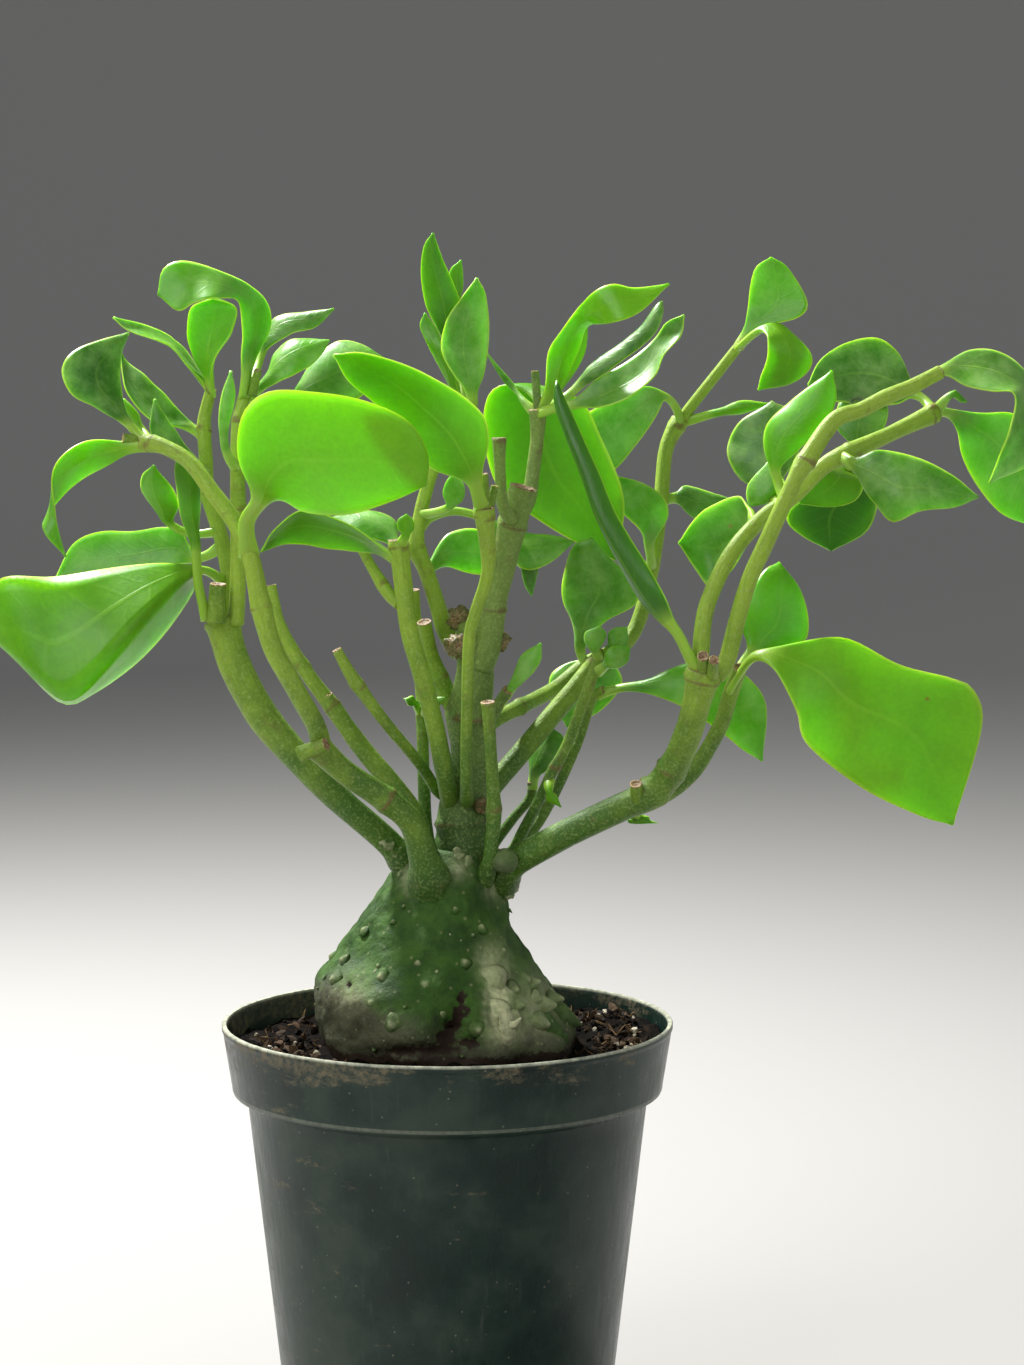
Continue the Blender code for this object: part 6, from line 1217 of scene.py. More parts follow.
def back_middle_stem():
    """The thin upright stem behind the middle one."""
    stem([(-6.1, 203.0, -4), (-7.5, 210.9, -6), (-8.5, 239.3, -10.3), (-8.8, 257.1, -13.9),
          (-10.5, 280.4, -13.2), (-11.5, 298.0, -9.9)], [2.6, 2.3, 2.2, 2.1, 2.0, 1.9], rings=[0.52])
    leaf([(-8.8, 254.9, -13.7), (-10.2, 256.3, -9.2), (-10.9, 257.8, -7.8)], [(-13.4, 257.1, -6.2)],
         [(-12.0, 260.6, -6.4)], (-14.8, 259.5, -4.7))
    leaf([(-8.8, 254.9, -13.7), (-6.7, 256.3, -3.1), (-4.9, 257.8, 1.6)], [(-3.9, 256.0, 3.1)],
         [(-3.2, 260.2, 3.2)], (-0.3, 260.2, 4.8))
    dress("back_middle_stem")


def top_stem():
    """The stem off the left of the trunk that carries the topmost leaves."""
    stem([(5.0, 276.1, -4.9), (-0.3, 283.2, -8.2), (-3.4, 293.1, -9.9), (-7.3, 305.0, -11.5),
          (-10.4, 312.4, -13.2), (-10.0, 320.5, -14.8), (-5.1, 339.4, -16.5), (1.9, 353.3, -14.8),
          (9.3, 363.1, -13.2)], [3.8, 3.2, 2.9, 2.8, 3.0, 2.6, 2.3, 2.1, 2.0], rings=[0.4])
    # the four leaves of the top
    leaf([(5.4, 358.2, -14.8), (3.3, 367.9, -19.8), (1.6, 381.1, -21.4)],
         [(-2.9, 388.8, -19.8), (-7.1, 397.4, -19.8), (-8.8, 408.8, -18.1), (-7.7, 417.8, -16.5)],
         [(5.1, 395.0, -19.8), (3.4, 402.6, -21.4), (-0.8, 412.3, -19.8)], (-4.6, 422.3, -16.5), cup=1,
         tone=-0.1)
    leaf([(5.4, 358.2, -14.8), (4.8, 374.9, -31.3), (3.7, 397.4, -33)],
         [(1.7, 403.7, -33), (1.3, 409.5, -33)], [(5.8, 403.3, -33), (5.8, 409.2, -33)], (5.2, 413.0, -33))
    leaf([(8.9, 361.7, -13.2), (9.3, 363.8, -11.5), (8.9, 366.6, -9.9)],
         [(3.0, 372.8, -6.6), (-1.5, 381.8, -4.9), (0.2, 392.2, -6.6), (5.5, 400.2, -9.9)],
         [(13.1, 373.2, -9.9), (14.9, 388.8, -11.5), (13.8, 400.9, -13.2)], (10.7, 406.8, -13.2), cup=-2,
         tone=0.35)
    leaf([(6.8, 359.6, -14.8), (5.1, 363.8, -14.8), (2.6, 367.9, -14.8)],
         [(-1.9, 374.9, -13.2), (-6.4, 383.6, -13.2), (-9.2, 390.2, -14.8)],
         [(2.7, 374.2, -9.9), (-1.2, 382.5, -9.9), (-3.2, 388.8, -13.2)], (-7.4, 394.7, -14.8))
    # the leaf that crosses behind the trunk to the right
    leaf([(-10.1, 319.1, -14.8), (-5.8, 323.3, -19.8), (2.9, 325.7, -26.4), (13.1, 323.6, -28)],
         [(20.4, 320.1, -29.7), (29.2, 318.0, -29.7), (39.7, 316.6, -26.4)],
         [(18.7, 313.5, -21.4), (27.1, 305.4, -19.8), (36.2, 307.5, -19.8)], (44.6, 314.9, -23.1), cup=2,
         tone=0.1)
    leaf([(20.4, 311.3, -26.4), (24.0, 309.2, -24.8), (26.4, 307.1, -23.1)],
         [(26.4, 303.3, -23.1), (27.8, 298.7, -23.1)], [(32.0, 306.4, -23.1), (31.3, 301.5, -23.1)],
         (29.9, 295.9, -23.1), tone=-0.3)
    # the bright leaf under it, and the small dark one above
    leaf([(-5.5, 300.1, -11.5), (-7.3, 302.2, -16.5), (-6.6, 305.0, -21.4)],
         [(-3.1, 313.5, -24.8), (1.9, 318.4, -28), (12.4, 318.7, -29.7)],
         [(-0.3, 306.4, -24.8), (7.5, 304.0, -28), (15.9, 303.6, -29.7)], (24.3, 307.8, -33), cup=2)
    leaf([(-9.0, 324.3, -14.8), (-3.0, 325.4, -8.2), (1.2, 326.8, -4.9)],
         [(-1.3, 331.3, -3.3), (-0.2, 335.9, -3.3)], [(5.7, 329.6, -3.3), (6.1, 334.8, -3.3)],
         (2.6, 339.4, -3.3))
    dress("top_stem")


def pale_stem():
    """The short pale stem off the left side of the trunk."""
    stem([(7.4, 245.0, -1.4), (3.9, 253.5, -4.5), (-0.7, 262.7, -6.4), (-5.6, 275.1, -4.9),
          (-8.0, 286.7, 0)], [3.6, 3.3, 3.2, 2.8, 2.5], rings=[0.5])
    dress("pale_stem")


def front_cut_stem():
    """The thin cut stem that stands in front of the trunk on the right."""
    stem([(12.6, 193.7, 11), (14.8, 200.9, 16), (15.5, 207.3, 18), (16.5, 218.7, 19.4),
          (15.5, 239.3, 23.1), (14.4, 258.5, 26.6)], [2.6, 2.5, 2.3, 2.5, 2.1, 2.2], rings=[0.42, 0.98])
    dress("front_cut_stem")


def front_stem():
    """The thin stem in front of the trunk, with the large leaf that leans left."""
    stem([(7.0, 223.3, 8.5), (6.7, 229.4, 18.1), (7.0, 255.6, 26), (7.8, 280.4, 29.7), (10.2, 290.3, 33),
          (14.5, 305.4, 36.3), (13.1, 326.8, 39.6)], [2.6, 2.1, 2.0, 2.0, 2.1, 2.3, 3.4], rings=[0.97])
    stub([(13.8, 326.8, 41.2), (13.1, 338.7, 42.9)], 1.5)
    stub([(15.2, 326.8, 37.9), (16.9, 334.5, 37.9)], 1.4)
    leaf([(13.1, 325.4, 39.6), (11.3, 330.3, 44.5), (9.9, 336.6, 47.8)],
         [(14.2, 346.3, 49.5), (14.2, 355.8, 51.1), (10.7, 361.7, 52.8), (0.6, 369.0, 56.1),
          (-14.4, 376.6, 59.4), (-29.4, 380.8, 62.7)],
         [(3.3, 337.6, 47.8), (-5.8, 340.8, 47.8), (-14.9, 350.5, 49.5), (-24.6, 362.7, 52.8),
          (-34.3, 371.1, 59.4)], (-39.2, 380.1, 62.7), cup=2, tone=0.3, stalk=4.4)
    dress("front_stem")


def trunk():
    """The trunk, its cut top, the thin stub and the leafy shoot that grow out of it."""
    stem(TRUNK_LINE, TRUNK_RADII, rings=[0.2, 0.62])
    stem([(11.3, 270.5, 3.3), (14.8, 280.4, 4.9), (16.2, 293.1, 6.6), (20.4, 308.5, 8.2),
          (23.6, 322.9, 9.9), (26.8, 334.1, 11.5)], [5.0, 4.9, 4.6, 4.4, 4.8, 4.6], rings=[0.32, 0.78])
    stem([(22.9, 322.6, 13.2), (19.7, 327.8, 21.4), (18.7, 340.1, 24.8), (18.4, 351.2, 24.8)],
         [2.6, 2.1, 1.9, 2.2], rings=[0.97])
    stem([(24.3, 321.9, 6.6), (28.5, 329.6, -8.2), (29.9, 336.6, -11.5), (31.6, 350.5, -13.2),
          (32.0, 361.0, -13.2)], [3.2, 2.8, 2.5, 2.4, 2.9], rings=[0.97])
    stub([(32.0, 360.3, -13.2), (30.9, 374.5, -13.2)], 1.5)
    stub([(13.7, 250.7, 7.3), (21.5, 262.7, 16.1)], 2.2)
    # the dried knobs where stems have broken off
    knob((3.6, 278.3, 8.2), 4.0)
    knob((4.3, 288.1, 0), 3.8)
    knob((18.7, 280.4, 3.3), 3.4)
    knob((11.9, 221.5, 6.3), 2.6)
    # the leaf that rises from the shoot, then folds over to the right
    leaf([(32.0, 359.6, -13.2), (34.1, 363.1, -13.2), (35.5, 365.9, -13.2)],
         [(35.1, 371.4, -9.9), (35.8, 381.8, -9.9), (41.7, 390.5, -3.3), (50.1, 400.9, 4.9),
          (57.7, 404.7, 6.6), (65.7, 403.3, 6.6)],
         [(39.7, 368.6, -13.2), (46.3, 381.8, -16.5), (49.4, 390.2, -11.5), (57.8, 391.2, 9.9),
          (67.5, 395.0, 11.5)], (77.6, 404.7, 6.6), tone=0.2)
    # the slim pale leaf and the two rolled ones beside it
    leaf([(32.3, 359.9, -14.8), (36.2, 363.8, -23.1), (38.6, 367.9, -28)],
         [(40.3, 374.9, -29.7), (44.9, 383.9, -29.7)], [(43.5, 372.1, -29.7), (48.4, 381.1, -29.7)],
         (49.4, 391.5, -29.7))
    leaf([(32.3, 360.3, -14.8), (40.4, 364.5, -19.8), (46.6, 369.3, -19.8)],
         [(50.1, 376.3, -19.8), (60.6, 383.6, -19.8), (68.2, 390.5, -16.5), (72.7, 396.7, -16.5)],
         [(53.6, 372.5, -14.8), (64.8, 380.8, -11.5), (72.8, 387.7, -11.5), (75.5, 394.7, -13.2)],
         (75.1, 398.5, -16.5), cup=2, tone=-0.15)
    leaf([(32.3, 359.9, -11.5), (38.3, 361.7, -6.6), (43.9, 362.7, -3.3)],
         [(46.6, 365.9, -1.6), (53.6, 372.5, -1.6), (64.1, 378.4, -1.6), (72.8, 386.0, -1.6),
          (76.9, 391.5, 0)],
         [(53.6, 362.0, 6.6), (64.8, 365.9, 9.9), (72.8, 373.2, 9.9), (75.9, 380.1, 8.2),
          (81.8, 387.0, 4.9)], (82.8, 394.0, 3.3), cup=-2, tone=-0.1)
    # the narrow leaf to the left and the large leaf behind
    leaf([(31.6, 359.6, -13.2), (29.5, 361.3, -13.2), (27.8, 362.7, -14.8)],
         [(23.9, 369.7, -21.4), (18.7, 375.6, -24.8)], [(25.7, 365.2, -18.1), (19.8, 371.1, -23.1)],
         (13.8, 381.1, -28))
    leaf([(32.0, 359.6, -14.8), (33.0, 361.7, -19.8), (33.4, 363.8, -23.1)],
         [(22.2, 370.0, -29.7), (14.5, 365.9, -33), (13.1, 350.5, -36.3), (18.7, 332.4, -39.6),
          (29.6, 324.3, -39.6), (42.5, 316.3, -39.6)],
         [(46.0, 365.2, -33), (54.4, 350.5, -36.3), (62.1, 329.6, -37.9)], (59.4, 308.5, -39.6), cup=3,
         tone=0.3)
    # the small glossy leaf low on the right
    leaf([(18.3, 257.8, 12.5), (20.8, 260.2, 14.3), (22.5, 262.7, 14.5)],
         [(23.6, 268.0, 14.8), (26.4, 275.1, 16.5)], [(27.1, 265.5, 17.9), (32.8, 272.6, 19.8)],
         (33.1, 279.3, 18.1), cup=1)
    dress("trunk")


def dark_right_stem():
    """The thick dark stem behind the trunk on the right."""
    stem([(11.6, 223.7, -4.3), (17.6, 230.4, -9.2), (32.8, 248.6, -15.7), (46.8, 265.2, -21.1),
          (53.5, 273.3, -23.1)], [3.9, 3.7, 3.6, 3.5, 3.3], rings=[0.96])
    # the leaf that stands on its end
    leaf([(51.8, 270.5, -23.1), (48.2, 272.6, -24.8), (46.1, 276.1, -26.4)],
         [(44.3, 286.0, -28), (40.8, 294.5, -29.7), (41.2, 304.3, -29.7), (44.6, 313.8, -28)],
         [(55.6, 286.7, -23.1), (66.5, 293.1, -23.1), (65.7, 301.5, -23.1), (58.0, 308.5, -24.8)],
         (51.0, 316.3, -26.4), cup=2, tone=-0.15)
    dress("dark_right_stem")


def back_right_stem():
    """The pale stem that crosses behind and rises to a fork at the upper right."""
    stem([(13.0, 249.3, -1.4), (16.6, 252.1, -7.4), (21.5, 254.6, -13.7), (37.3, 262.7, -33.8),
          (48.6, 271.6, -44.5), (64.4, 281.1, -52.8), (71.7, 304.0, -59.4), (75.1, 329.6, -66),
          (76.8, 347.0, -71), (81.6, 357.5, -74.2)], [3.4, 3.0, 2.7, 2.8, 2.8, 2.8, 2.7, 2.7, 2.7, 3.2],
         rings=[0.13, 0.98])
    stem([(81.6, 356.1, -74.2), (85.1, 361.7, -72.6), (94.1, 373.2, -69.3), (103.4, 385.0, -66)],
         [2.4, 2.1, 2.0, 1.9])
    # the two leaves at the top of the fork
    leaf([(101.7, 382.5, -66), (103.1, 385.0, -66), (104.1, 387.0, -66)],
         [(104.8, 395.0, -66), (106.1, 405.0, -66), (108.1, 410.9, -64.3)],
         [(112.1, 390.5, -62.7), (122.2, 392.9, -59.4), (126.0, 397.4, -59.4), (122.8, 404.7, -61),
          (117.9, 411.3, -64.3)], (113.0, 414.0, -66), cup=-1, tone=0.15)
    leaf([(101.7, 382.5, -66), (104.8, 385.3, -62.7), (108.6, 388.8, -59.4)],
         [(114.9, 391.2, -59.4), (121.9, 386.7, -56.1), (127.2, 380.1, -56.1), (126.2, 374.5, -56.1),
          (120.0, 370.0, -54.4)],
         [(111.4, 387.4, -52.8), (112.2, 383.6, -49.5), (111.9, 378.4, -49.5), (109.8, 372.8, -51.1)],
         (108.8, 367.9, -52.8))
    # the narrow leaf to the right and the spotted leaf to the left
    leaf([(81.6, 356.8, -74.2), (86.9, 357.9, -72.6), (92.8, 359.6, -71)], [(102.5, 364.1, -69.3)],
         [(102.6, 359.6, -69.3)], (113.0, 363.1, -67.6), cup=1)
    leaf([(82.3, 356.1, -72.6), (80.2, 361.7, -69.3), (78.4, 364.8, -67.6), (76.0, 366.9, -67.6)],
         [(70.4, 369.3, -66), (62.4, 366.6, -61), (53.6, 362.4, -57.8), (45.6, 355.8, -54.4)],
         [(74.6, 361.7, -62.7), (69.7, 353.3, -61), (59.6, 340.8, -57.8), (52.7, 338.3, -56.1)],
         (47.7, 340.8, -54.4), cup=2, tone=0.2)
    # the leaves on its middle
    leaf([(72.0, 304.3, -59.4), (71.7, 309.2, -54.4), (70.6, 313.5, -51.1)],
         [(77.2, 322.6, -49.5), (76.1, 330.3, -47.8), (67.7, 335.9, -47.8)],
         [(67.8, 319.1, -46.2), (59.7, 326.8, -44.5), (54.4, 333.1, -46.2)], (55.1, 338.7, -47.8), cup=2)
    leaf([(75.1, 328.9, -66), (77.5, 330.3, -67.6), (80.3, 330.3, -69.3)],
         [(83.1, 334.5, -71), (90.8, 332.7, -71)], [(83.9, 325.4, -67.6), (88.8, 323.3, -67.6)],
         (99.3, 329.9, -71), cup=1)
    leaf([(52.8, 273.7, -46.2), (51.8, 274.7, -54.4), (50.3, 273.7, -61)],
         [(43.3, 272.6, -62.7), (36.6, 268.0, -62.4), (36.6, 259.2, -59.8)],
         [(58.1, 271.9, -62.7), (61.6, 264.8, -61.7), (53.9, 255.3, -58)], (42.3, 249.6, -55), cup=-2)
    dress("back_right_stem")


def thin_right_stem():
    """The thin stem right of the trunk that ends in a curled tuft."""
    stem([(19.7, 194.4, -8), (24.3, 207.3, -5), (31.4, 221.5, -1), (37.0, 233.3, -1.2),
          (43.0, 245.0, -1.4), (51.4, 268.0, -3.3), (54.9, 276.9, -3.3)],
         [2.4, 2.1, 1.9, 1.9, 1.9, 2.0, 2.0], rings=[0.5])
    leaf([(53.9, 273.3, -3.3), (52.8, 276.1, 0), (51.7, 277.6, 1.6)],
         [(48.6, 279.7, 3.3), (48.9, 283.2, 3.3)], [(54.2, 278.3, 3.3), (56.0, 282.5, 3.3)],
         (53.8, 285.3, 4.9), cup=1)
    leaf([(54.2, 273.3, -3.3), (56.7, 276.1, -1.6), (58.1, 278.3, 0)],
         [(56.7, 282.5, 0), (59.5, 284.6, -1.6)], [(62.3, 276.1, 1.6), (63.7, 280.4, 0)],
         (63.0, 284.6, -1.6), cup=1)
    leaf([(52.8, 269.1, -3.3), (54.9, 270.5, 1.6), (56.3, 271.9, 3.3)],
         [(56.0, 276.1, 6.6), (58.8, 278.3, 6.6)], [(60.2, 270.5, 6.6), (63.7, 273.3, 4.9)],
         (64.1, 277.6, 4.9), cup=1)
    leaf([(36.0, 230.8, -1.2), (35.6, 228.7, 2.2), (36.0, 227.2, 3.3)], [(34.9, 223.7, 3.2)],
         [(38.8, 225.1, 3.2)], (40.2, 221.2, 3.1))
    dress("thin_right_stem")


def leaf_bearing_stem():
    """The short thin stem in the middle right with one glossy leaf."""
    stem([(11.2, 193.7, -17), (14.8, 205.1, -21), (22.9, 216.6, -20.2), (29.3, 224.4, -20.4),
          (30.0, 230.1, -19.4)], [2.2, 2.0, 1.8, 1.7, 1.7])
    leaf([(30.0, 227.2, -18.8), (30.3, 230.1, -19.4), (30.7, 232.2, -19.9)],
         [(28.9, 237.9, -22.7), (29.6, 244.3, -24.5)],
         [(35.6, 234.4, -16.8), (40.5, 241.5, -19.7), (40.9, 246.1, -22.3)], (37.0, 248.9, -25.8), cup=2)
    dress("leaf_bearing_stem")


def right_branch():
    """The thick branch to the right, its two long shoots, and their leaves."""
    stem([(17.9, 194.4, 2), (23.3, 201.2, 9), (43.4, 212.3, 18), (61.1, 220.8, 20.8), (71.6, 225.8, 22.8),
          (79.0, 234.0, 26.4), (85.0, 247.5, 33.9), (88.1, 259.2, 39.3), (90.5, 269.8, 41.2)],
         [5.6, 5.2, 4.9, 4.9, 5.2, 5.0, 4.8, 4.9, 5.4], rings=[0.57, 0.66, 0.97])
    stem([(70.9, 223.7, 21.3), (78.0, 226.2, 15.3), (86.4, 233.3, 11.9), (92.0, 241.8, 11.9),
          (96.9, 251.4, 14.7), (100.0, 262.0, 19.2), (103.1, 270.5, 24.7)],
         [3.0, 2.9, 2.9, 2.8, 2.8, 2.8, 2.6])
    stem([(89.4, 269.1, 41.1), (89.4, 276.9, 41.2), (91.1, 291.3, 39.6), (97.0, 305.7, 36.3),
          (103.2, 315.2, 33), (111.9, 324.3, 28), (118.5, 328.5, 26.4), (123.7, 333.1, 24.8),
          (131.7, 341.1, 23.1), (138.0, 344.9, 23.1), (155.7, 353.0, 14.8), (171.0, 360.3, 8.2)],
         [3.2, 2.9, 2.8, 2.8, 2.8, 2.8, 2.8, 2.8, 2.8, 3.1, 2.7, 3.2], rings=[0.73, 0.98])
    stem([(94.7, 267.7, 39.4), (98.6, 273.3, 39.6), (102.3, 288.1, 41.2), (106.1, 301.2, 42.9),
          (112.0, 314.5, 44.5), (117.5, 326.8, 46.2), (122.3, 337.3, 46.2), (125.8, 343.2, 44.5),
          (135.4, 357.2, 39.6), (144.8, 361.0, 36.3), (153.5, 365.5, 33), (162.9, 369.3, 29.7),
          (172.3, 374.2, 26.4)], [3.4, 3.0, 2.9, 2.8, 2.8, 2.8, 2.8, 3.2, 2.9, 2.7, 2.7, 2.6, 2.4],
         rings=[0.56])
    stub([(67.4, 223.0, 24.3), (66.7, 229.4, 28.3)], 2.4)
    stub([(90.5, 268.4, 42.7), (90.1, 274.7, 51.1)], 2.2)
    stub([(93.3, 267.7, 44.3), (94.0, 273.3, 52.8)], 2.0)
    # the long dark folded leaf
    leaf([(89.1, 267.7, 42.6), (85.5, 274.0, 44.5), (80.9, 283.2, 44.5), (77.4, 287.4, 42.9)],
         [(70.7, 290.6, 37.9), (61.5, 305.4, 33), (53.7, 322.6, 28), (47.7, 340.4, 21.4),
          (42.1, 352.6, 16.5), (37.9, 363.1, 13.2)],
         [(79.1, 290.3, 46.2), (75.9, 296.9, 46.2), (69.6, 308.2, 41.2), (59.3, 325.0, 34.6),
          (53.7, 338.3, 29.7), (46.0, 355.1, 21.4)], (38.6, 371.1, 13.2), cup=4, tone=-0.75, stalk=4.6)
    # the big leaf that droops on the right
    leaf([(99.7, 262.7, 20.9), (102.5, 267.7, 24.6), (107.7, 274.4, 33), (113.0, 275.8, 37.9)],
         [(124.2, 279.7, 36.3), (140.4, 281.1, 37.9), (159.5, 271.6, 42.9), (177.1, 267.3, 45.9),
          (185.6, 262.7, 45), (188.6, 248.6, 40)],
         [(117.6, 267.0, 44.2), (123.3, 254.9, 45.7), (127.3, 243.2, 41.7), (147.2, 227.6, 34.4),
          (167.1, 218.0, 29.5)], (178.8, 214.8, 27.1), cup=-3, tone=0.12, stalk=4.6)
    # the leaf behind the two shoots
    leaf([(101.4, 265.5, 21.2), (103.8, 271.9, 13.2), (107.7, 276.9, 6.6)],
         [(103.4, 285.7, 4.9), (106.8, 297.3, 1.6), (111.3, 304.7, -1.6)],
         [(123.5, 278.3, 3.3), (127.3, 285.7, 1.6), (123.7, 298.7, -1.6)], (116.6, 307.5, -4.9), cup=2,
         tone=0.2)
    # the small leaf under the branch
    leaf([(65.3, 222.6, 20), (66.0, 219.4, 15.4), (67.4, 218.0, 13.2)],
         [(63.9, 216.9, 12.1), (65.3, 215.1, 12.1)], [(71.0, 218.0, 12.2), (71.7, 216.6, 12.1)],
         (74.2, 215.5, 12.1))
    # the leaves around the bend: speckled, small bright, pale and folded
    leaf([(118.9, 328.5, 24.8), (116.4, 334.5, 19.8), (114.6, 340.1, 18.1)],
         [(111.4, 347.0, 16.5), (112.0, 355.8, 16.5), (120.0, 363.8, 16.5), (127.6, 369.7, 18.1)],
         [(121.9, 346.0, 21.4), (132.0, 355.8, 23.1), (136.1, 364.5, 21.4)], (134.6, 374.5, 18.1), cup=2,
         tone=0.35)
    leaf([(116.8, 326.8, 24.8), (115.7, 328.9, 16.5), (114.3, 330.3, 13.2)],
         [(106.6, 327.5, 11.5), (105.2, 333.4, 9.9), (108.0, 338.0, 9.9)],
         [(116.4, 333.8, 14.8), (116.4, 338.3, 13.2)], (112.8, 342.9, 9.9), cup=1)
    leaf([(119.9, 329.6, 23.1), (118.5, 333.8, 6.6), (116.0, 335.9, 0)],
         [(105.5, 335.2, -6.6), (99.5, 341.8, -9.9), (98.4, 348.8, -13.2), (102.6, 356.8, -13.2)],
         [(120.9, 341.8, -3.3), (124.6, 351.6, -6.6), (121.8, 359.9, -9.9)], (113.7, 363.8, -13.2), cup=2,
         tone=-0.4)
    leaf([(108.4, 319.8, 28), (107.4, 322.6, 19.8), (105.9, 325.4, 14.8)],
         [(101.7, 331.0, 0), (93.0, 327.5, -6.6), (86.7, 322.6, -9.9)],
         [(104.3, 315.6, 9.9), (100.1, 305.0, 1.6), (92.8, 298.7, -4.9), (87.5, 305.0, -8.2)],
         (81.5, 314.5, -9.9), cup=5)
    # the round leaf, the three at the ring and the bright one to the right
    leaf([(170.3, 359.9, 8.2), (167.1, 364.5, 0), (163.3, 367.2, -3.3)],
         [(160.7, 374.9, -8.2), (157.2, 381.8, -9.9), (150.2, 386.0, -11.5), (139.0, 384.3, -11.5),
          (130.4, 378.4, -9.9)],
         [(158.4, 363.4, 0), (150.1, 362.4, 0), (141.0, 363.4, -3.3), (132.2, 364.8, -4.9)],
         (126.2, 369.7, -8.2), cup=2, tone=-0.25)
    leaf([(138.7, 345.3, 23.1), (141.1, 347.0, 6.6), (143.2, 348.4, 1.6)],
         [(136.9, 354.0, -1.6), (136.8, 362.7, -4.9), (141.6, 367.2, -8.2)],
         [(148.8, 348.8, 3.3), (154.0, 357.5, 1.6), (153.2, 364.5, -4.9)], (147.9, 369.0, -9.9), cup=1,
         tone=-0.35)
    leaf([(137.3, 344.6, 23.1), (137.0, 342.5, 9.9), (135.6, 340.8, 4.9)],
         [(127.9, 340.1, 0), (122.3, 333.8, -4.9)],
         [(145.4, 336.6, 4.9), (143.7, 329.9, 0), (135.0, 327.1, -3.3)], (123.8, 328.2, -6.6), cup=1)
    leaf([(138.7, 344.3, 21.4), (141.2, 340.8, 3.3), (140.5, 338.0, -4.9)],
         [(128.0, 331.7, -9.9), (119.6, 325.4, -13.2), (121.8, 318.7, -14.8)],
         [(148.2, 334.5, -6.6), (150.8, 326.8, -9.9), (146.7, 318.0, -14.8)], (134.8, 311.7, -19.8), cup=2,
         tone=-0.5)
    leaf([(138.3, 344.6, 24.8), (141.2, 343.2, 29.7), (143.6, 341.8, 33)],
         [(149.5, 347.0, 36.3), (163.9, 344.6, 39.6), (176.9, 338.3, 41.2)],
         [(145.8, 333.8, 36.3), (150.8, 327.5, 37.9), (156.4, 321.9, 42.9), (165.9, 325.7, 42.9),
          (178.1, 327.1, 42.9)], (186.1, 330.6, 42.9), cup=2)
    # the leaf that arches over at the end of the front shoot
    leaf([(168.8, 372.1, 28), (171.6, 374.5, 26.4), (174.0, 375.2, 26.4)],
         [(179.2, 380.8, 21.4), (190.3, 381.8, 19.8), (200.9, 376.3, 19.8), (209.5, 361.0, 21.4),
          (206.9, 344.3, 24.8)],
         [(180.0, 370.0, 31.3), (190.5, 367.6, 36.3), (197.9, 366.6, 39.6), (197.3, 355.8, 42.9),
          (193.6, 345.3, 42.9)], (189.9, 335.5, 41.2))
    # the leaf at the end of the other shoot, with the small bract beside it
    leaf([(170.3, 359.9, 8.2), (173.1, 360.3, 3.3), (175.2, 360.6, -1.6)],
         [(178.5, 354.0, -3.3), (180.7, 343.6, -8.2), (188.2, 331.0, -9.9), (195.3, 324.3, -11.5)],
         [(186.8, 359.9, -8.2), (198.3, 359.6, -13.2), (209.6, 350.5, -16.5), (212.0, 333.1, -18.1)],
         (204.5, 320.8, -16.5), cup=-2, tone=0.1)
    leaf([(170.7, 359.6, 8.2), (173.8, 364.5, 11.5), (175.9, 366.2, 11.5)], [(177.9, 367.9, 11.5)],
         [(179.4, 363.8, 11.5)], (181.8, 363.8, 11.5))
    dress("right_branch")


def low_right_leaf_stem():
    """The thin leaf stalk that passes behind the right branch and its long pointed leaf."""
    stem([(16.2, 193.7, -13), (21.5, 203.7, -14), (32.8, 216.6, -16.2), (45.1, 241.5, -18.4),
          (51.1, 259.2, -20.5), (55.3, 262.7, -19.3)], [2.4, 2.2, 2.0, 1.8, 1.7, 1.7])
    leaf([(53.2, 260.6, -20.7), (57.4, 262.7, -19.3), (61.6, 263.4, -17.8)],
         [(69.7, 265.5, -16.3), (80.6, 270.9, -14.8), (94.7, 274.4, -13.2), (105.3, 267.7, -9.8),
          (112.4, 257.1, -9.3)],
         [(71.5, 261.3, -12.8), (83.9, 256.3, -7.7), (97.0, 247.5, -5.7), (104.0, 241.8, -5.3)],
         (111.1, 237.6, -6.3), cup=2, tone=0.3)
    dress("low_right_leaf_stem")


# ---- studio ----

# the floor's half width, the radius and steps of its curve up, and the height of the backdrop, in metres
FLOOR_REACH, CURVE_STEP, CURVE_STEPS, BACKDROP = 3.0, 2.0 * math.pi / 24, 12, 3.5
# area lights: place, aim, size in metres and power in watts
LIGHTS = [("back_sun", (-0.5, 0.62, 1.35), (0, 0, 0.3), 0.16, 46),
          ("key_softbox", (-0.9, -0.9, 1.1), (0, 0, 0.2), 0.9, 10),
          ("front_fill", (1.0, -1.2, 0.7), (0, 0, 0.2), 1.2, 4)]
AIR_STRENGTH = 0.32


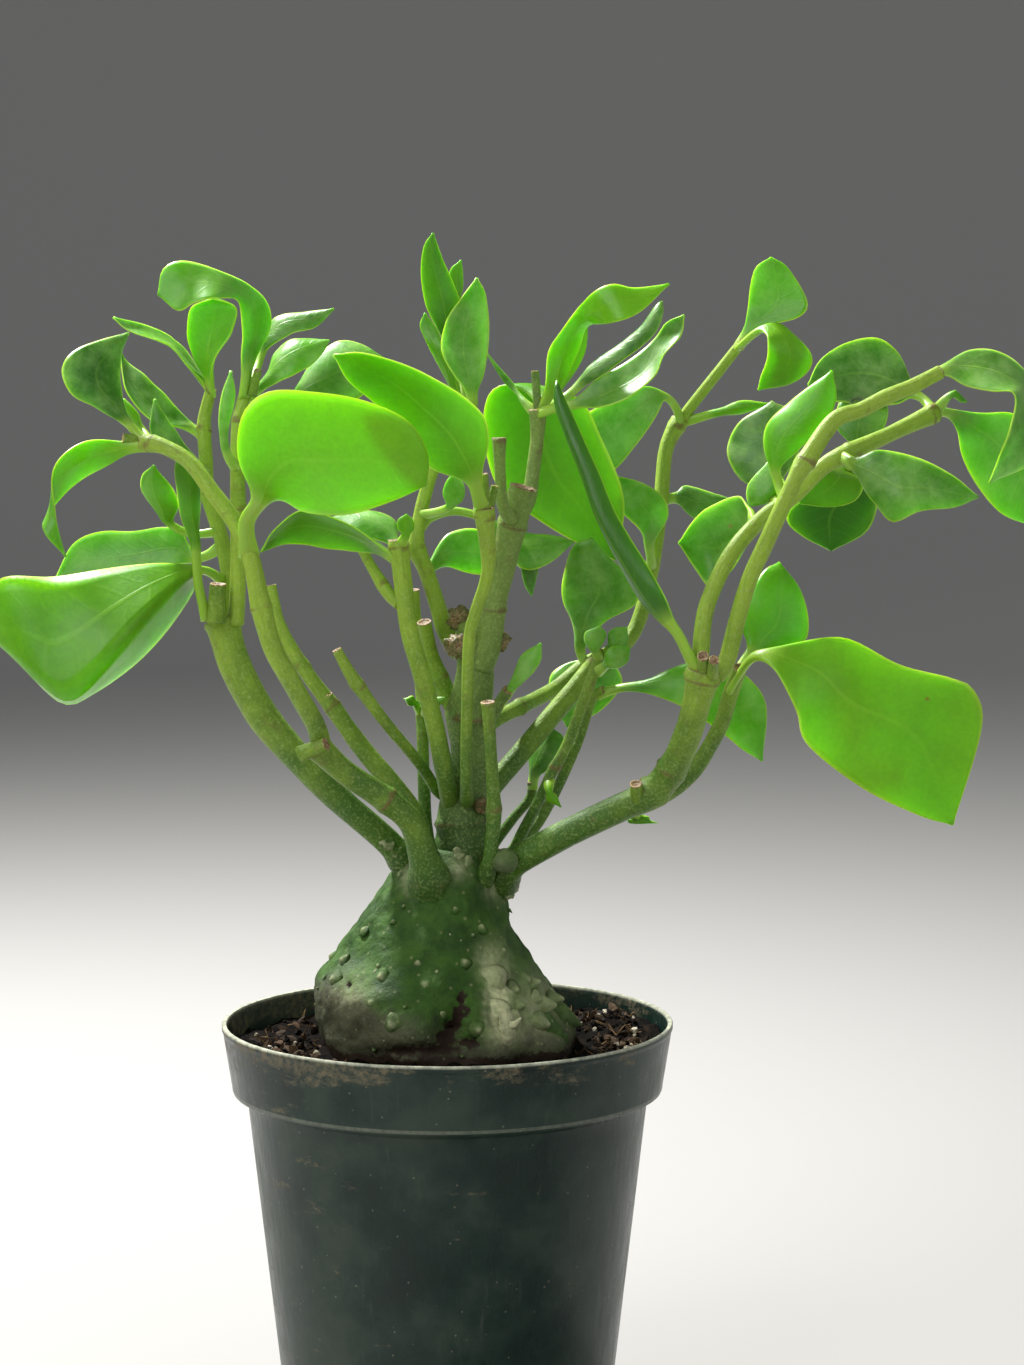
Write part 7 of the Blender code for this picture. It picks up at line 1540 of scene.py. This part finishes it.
def backdrop():
    """A plain pale floor whose far edge is drawn up in a quarter circle into the backdrop."""
    clear_selection()
    bpy.ops.mesh.primitive_plane_add(size=2 * FLOOR_REACH, location=(0, 0, 0))
    sweep = bpy.context.object
    sweep.name = "studio_sweep"
    bpy.ops.object.mode_set(mode="EDIT")
    bpy.ops.mesh.select_all(action="DESELECT")
    bpy.ops.mesh.select_mode(type="EDGE")
    bpy.ops.object.mode_set(mode="OBJECT")
    for edge in sweep.data.edges:
        edge.select = all(sweep.data.vertices[v].co.y > FLOOR_REACH - 0.1 for v in edge.vertices)
    bpy.ops.object.mode_set(mode="EDIT")
    moves = []
    for k in range(CURVE_STEPS):
        lean = math.radians(90 * (k + 1) / CURVE_STEPS)
        moves.append((0, CURVE_STEP * math.cos(lean), CURVE_STEP * math.sin(lean)))
    for move in moves + [(0, 0, BACKDROP)]:
        bpy.ops.mesh.extrude_region_move(TRANSFORM_OT_translate={"value": move})
    bpy.ops.object.mode_set(mode="OBJECT")
    bpy.ops.object.shade_smooth()
    sweep.data.materials.append(studio_paper())


def studio():
    """The backdrop, soft light, and the camera at the photograph's angle."""
    backdrop()
    scene = bpy.context.scene
    scene.world = bpy.data.worlds.new("studio_air")
    scene.world.use_nodes = True
    air = scene.world.node_tree.nodes["Background"]
    air.inputs["Color"].default_value = paint("#e9eef2")
    air.inputs["Strength"].default_value = AIR_STRENGTH
    for name, place, aim, size, power in LIGHTS:
        light = bpy.data.lights.new(name, "AREA")
        light.size, light.energy = size, power
        lamp = bpy.data.objects.new(name, light)
        lamp.location = place
        lamp.rotation_euler = (Vector(place) - Vector(aim)).to_track_quat("Z", "Y").to_euler()
        scene.collection.objects.link(lamp)
    scene.view_settings.view_transform = "Standard"
    camera = bpy.data.cameras.new("viewer")
    camera.lens, camera.sensor_width, camera.sensor_fit = LENS, SENSOR, "AUTO"
    eye = bpy.data.objects.new("viewer", camera)
    eye.location = (VIEWER[0] * MM, -VIEWER[1] * MM, VIEWER[2] * MM)
    eye.rotation_euler = (math.radians(90 - VIEW_DOWN), 0, 0)
    scene.collection.objects.link(eye)
    scene.camera = eye


for build in (pot, soil, soil_bits, caudex, warts, crown, root_lobes, outer_left_stem, left_stem,
              cut_left_stem, short_cut_stem, middle_stem, back_middle_stem, top_stem, pale_stem,
              front_cut_stem, front_stem, trunk, dark_right_stem, back_right_stem, thin_right_stem,
              leaf_bearing_stem, right_branch, low_right_leaf_stem, studio):
    build()
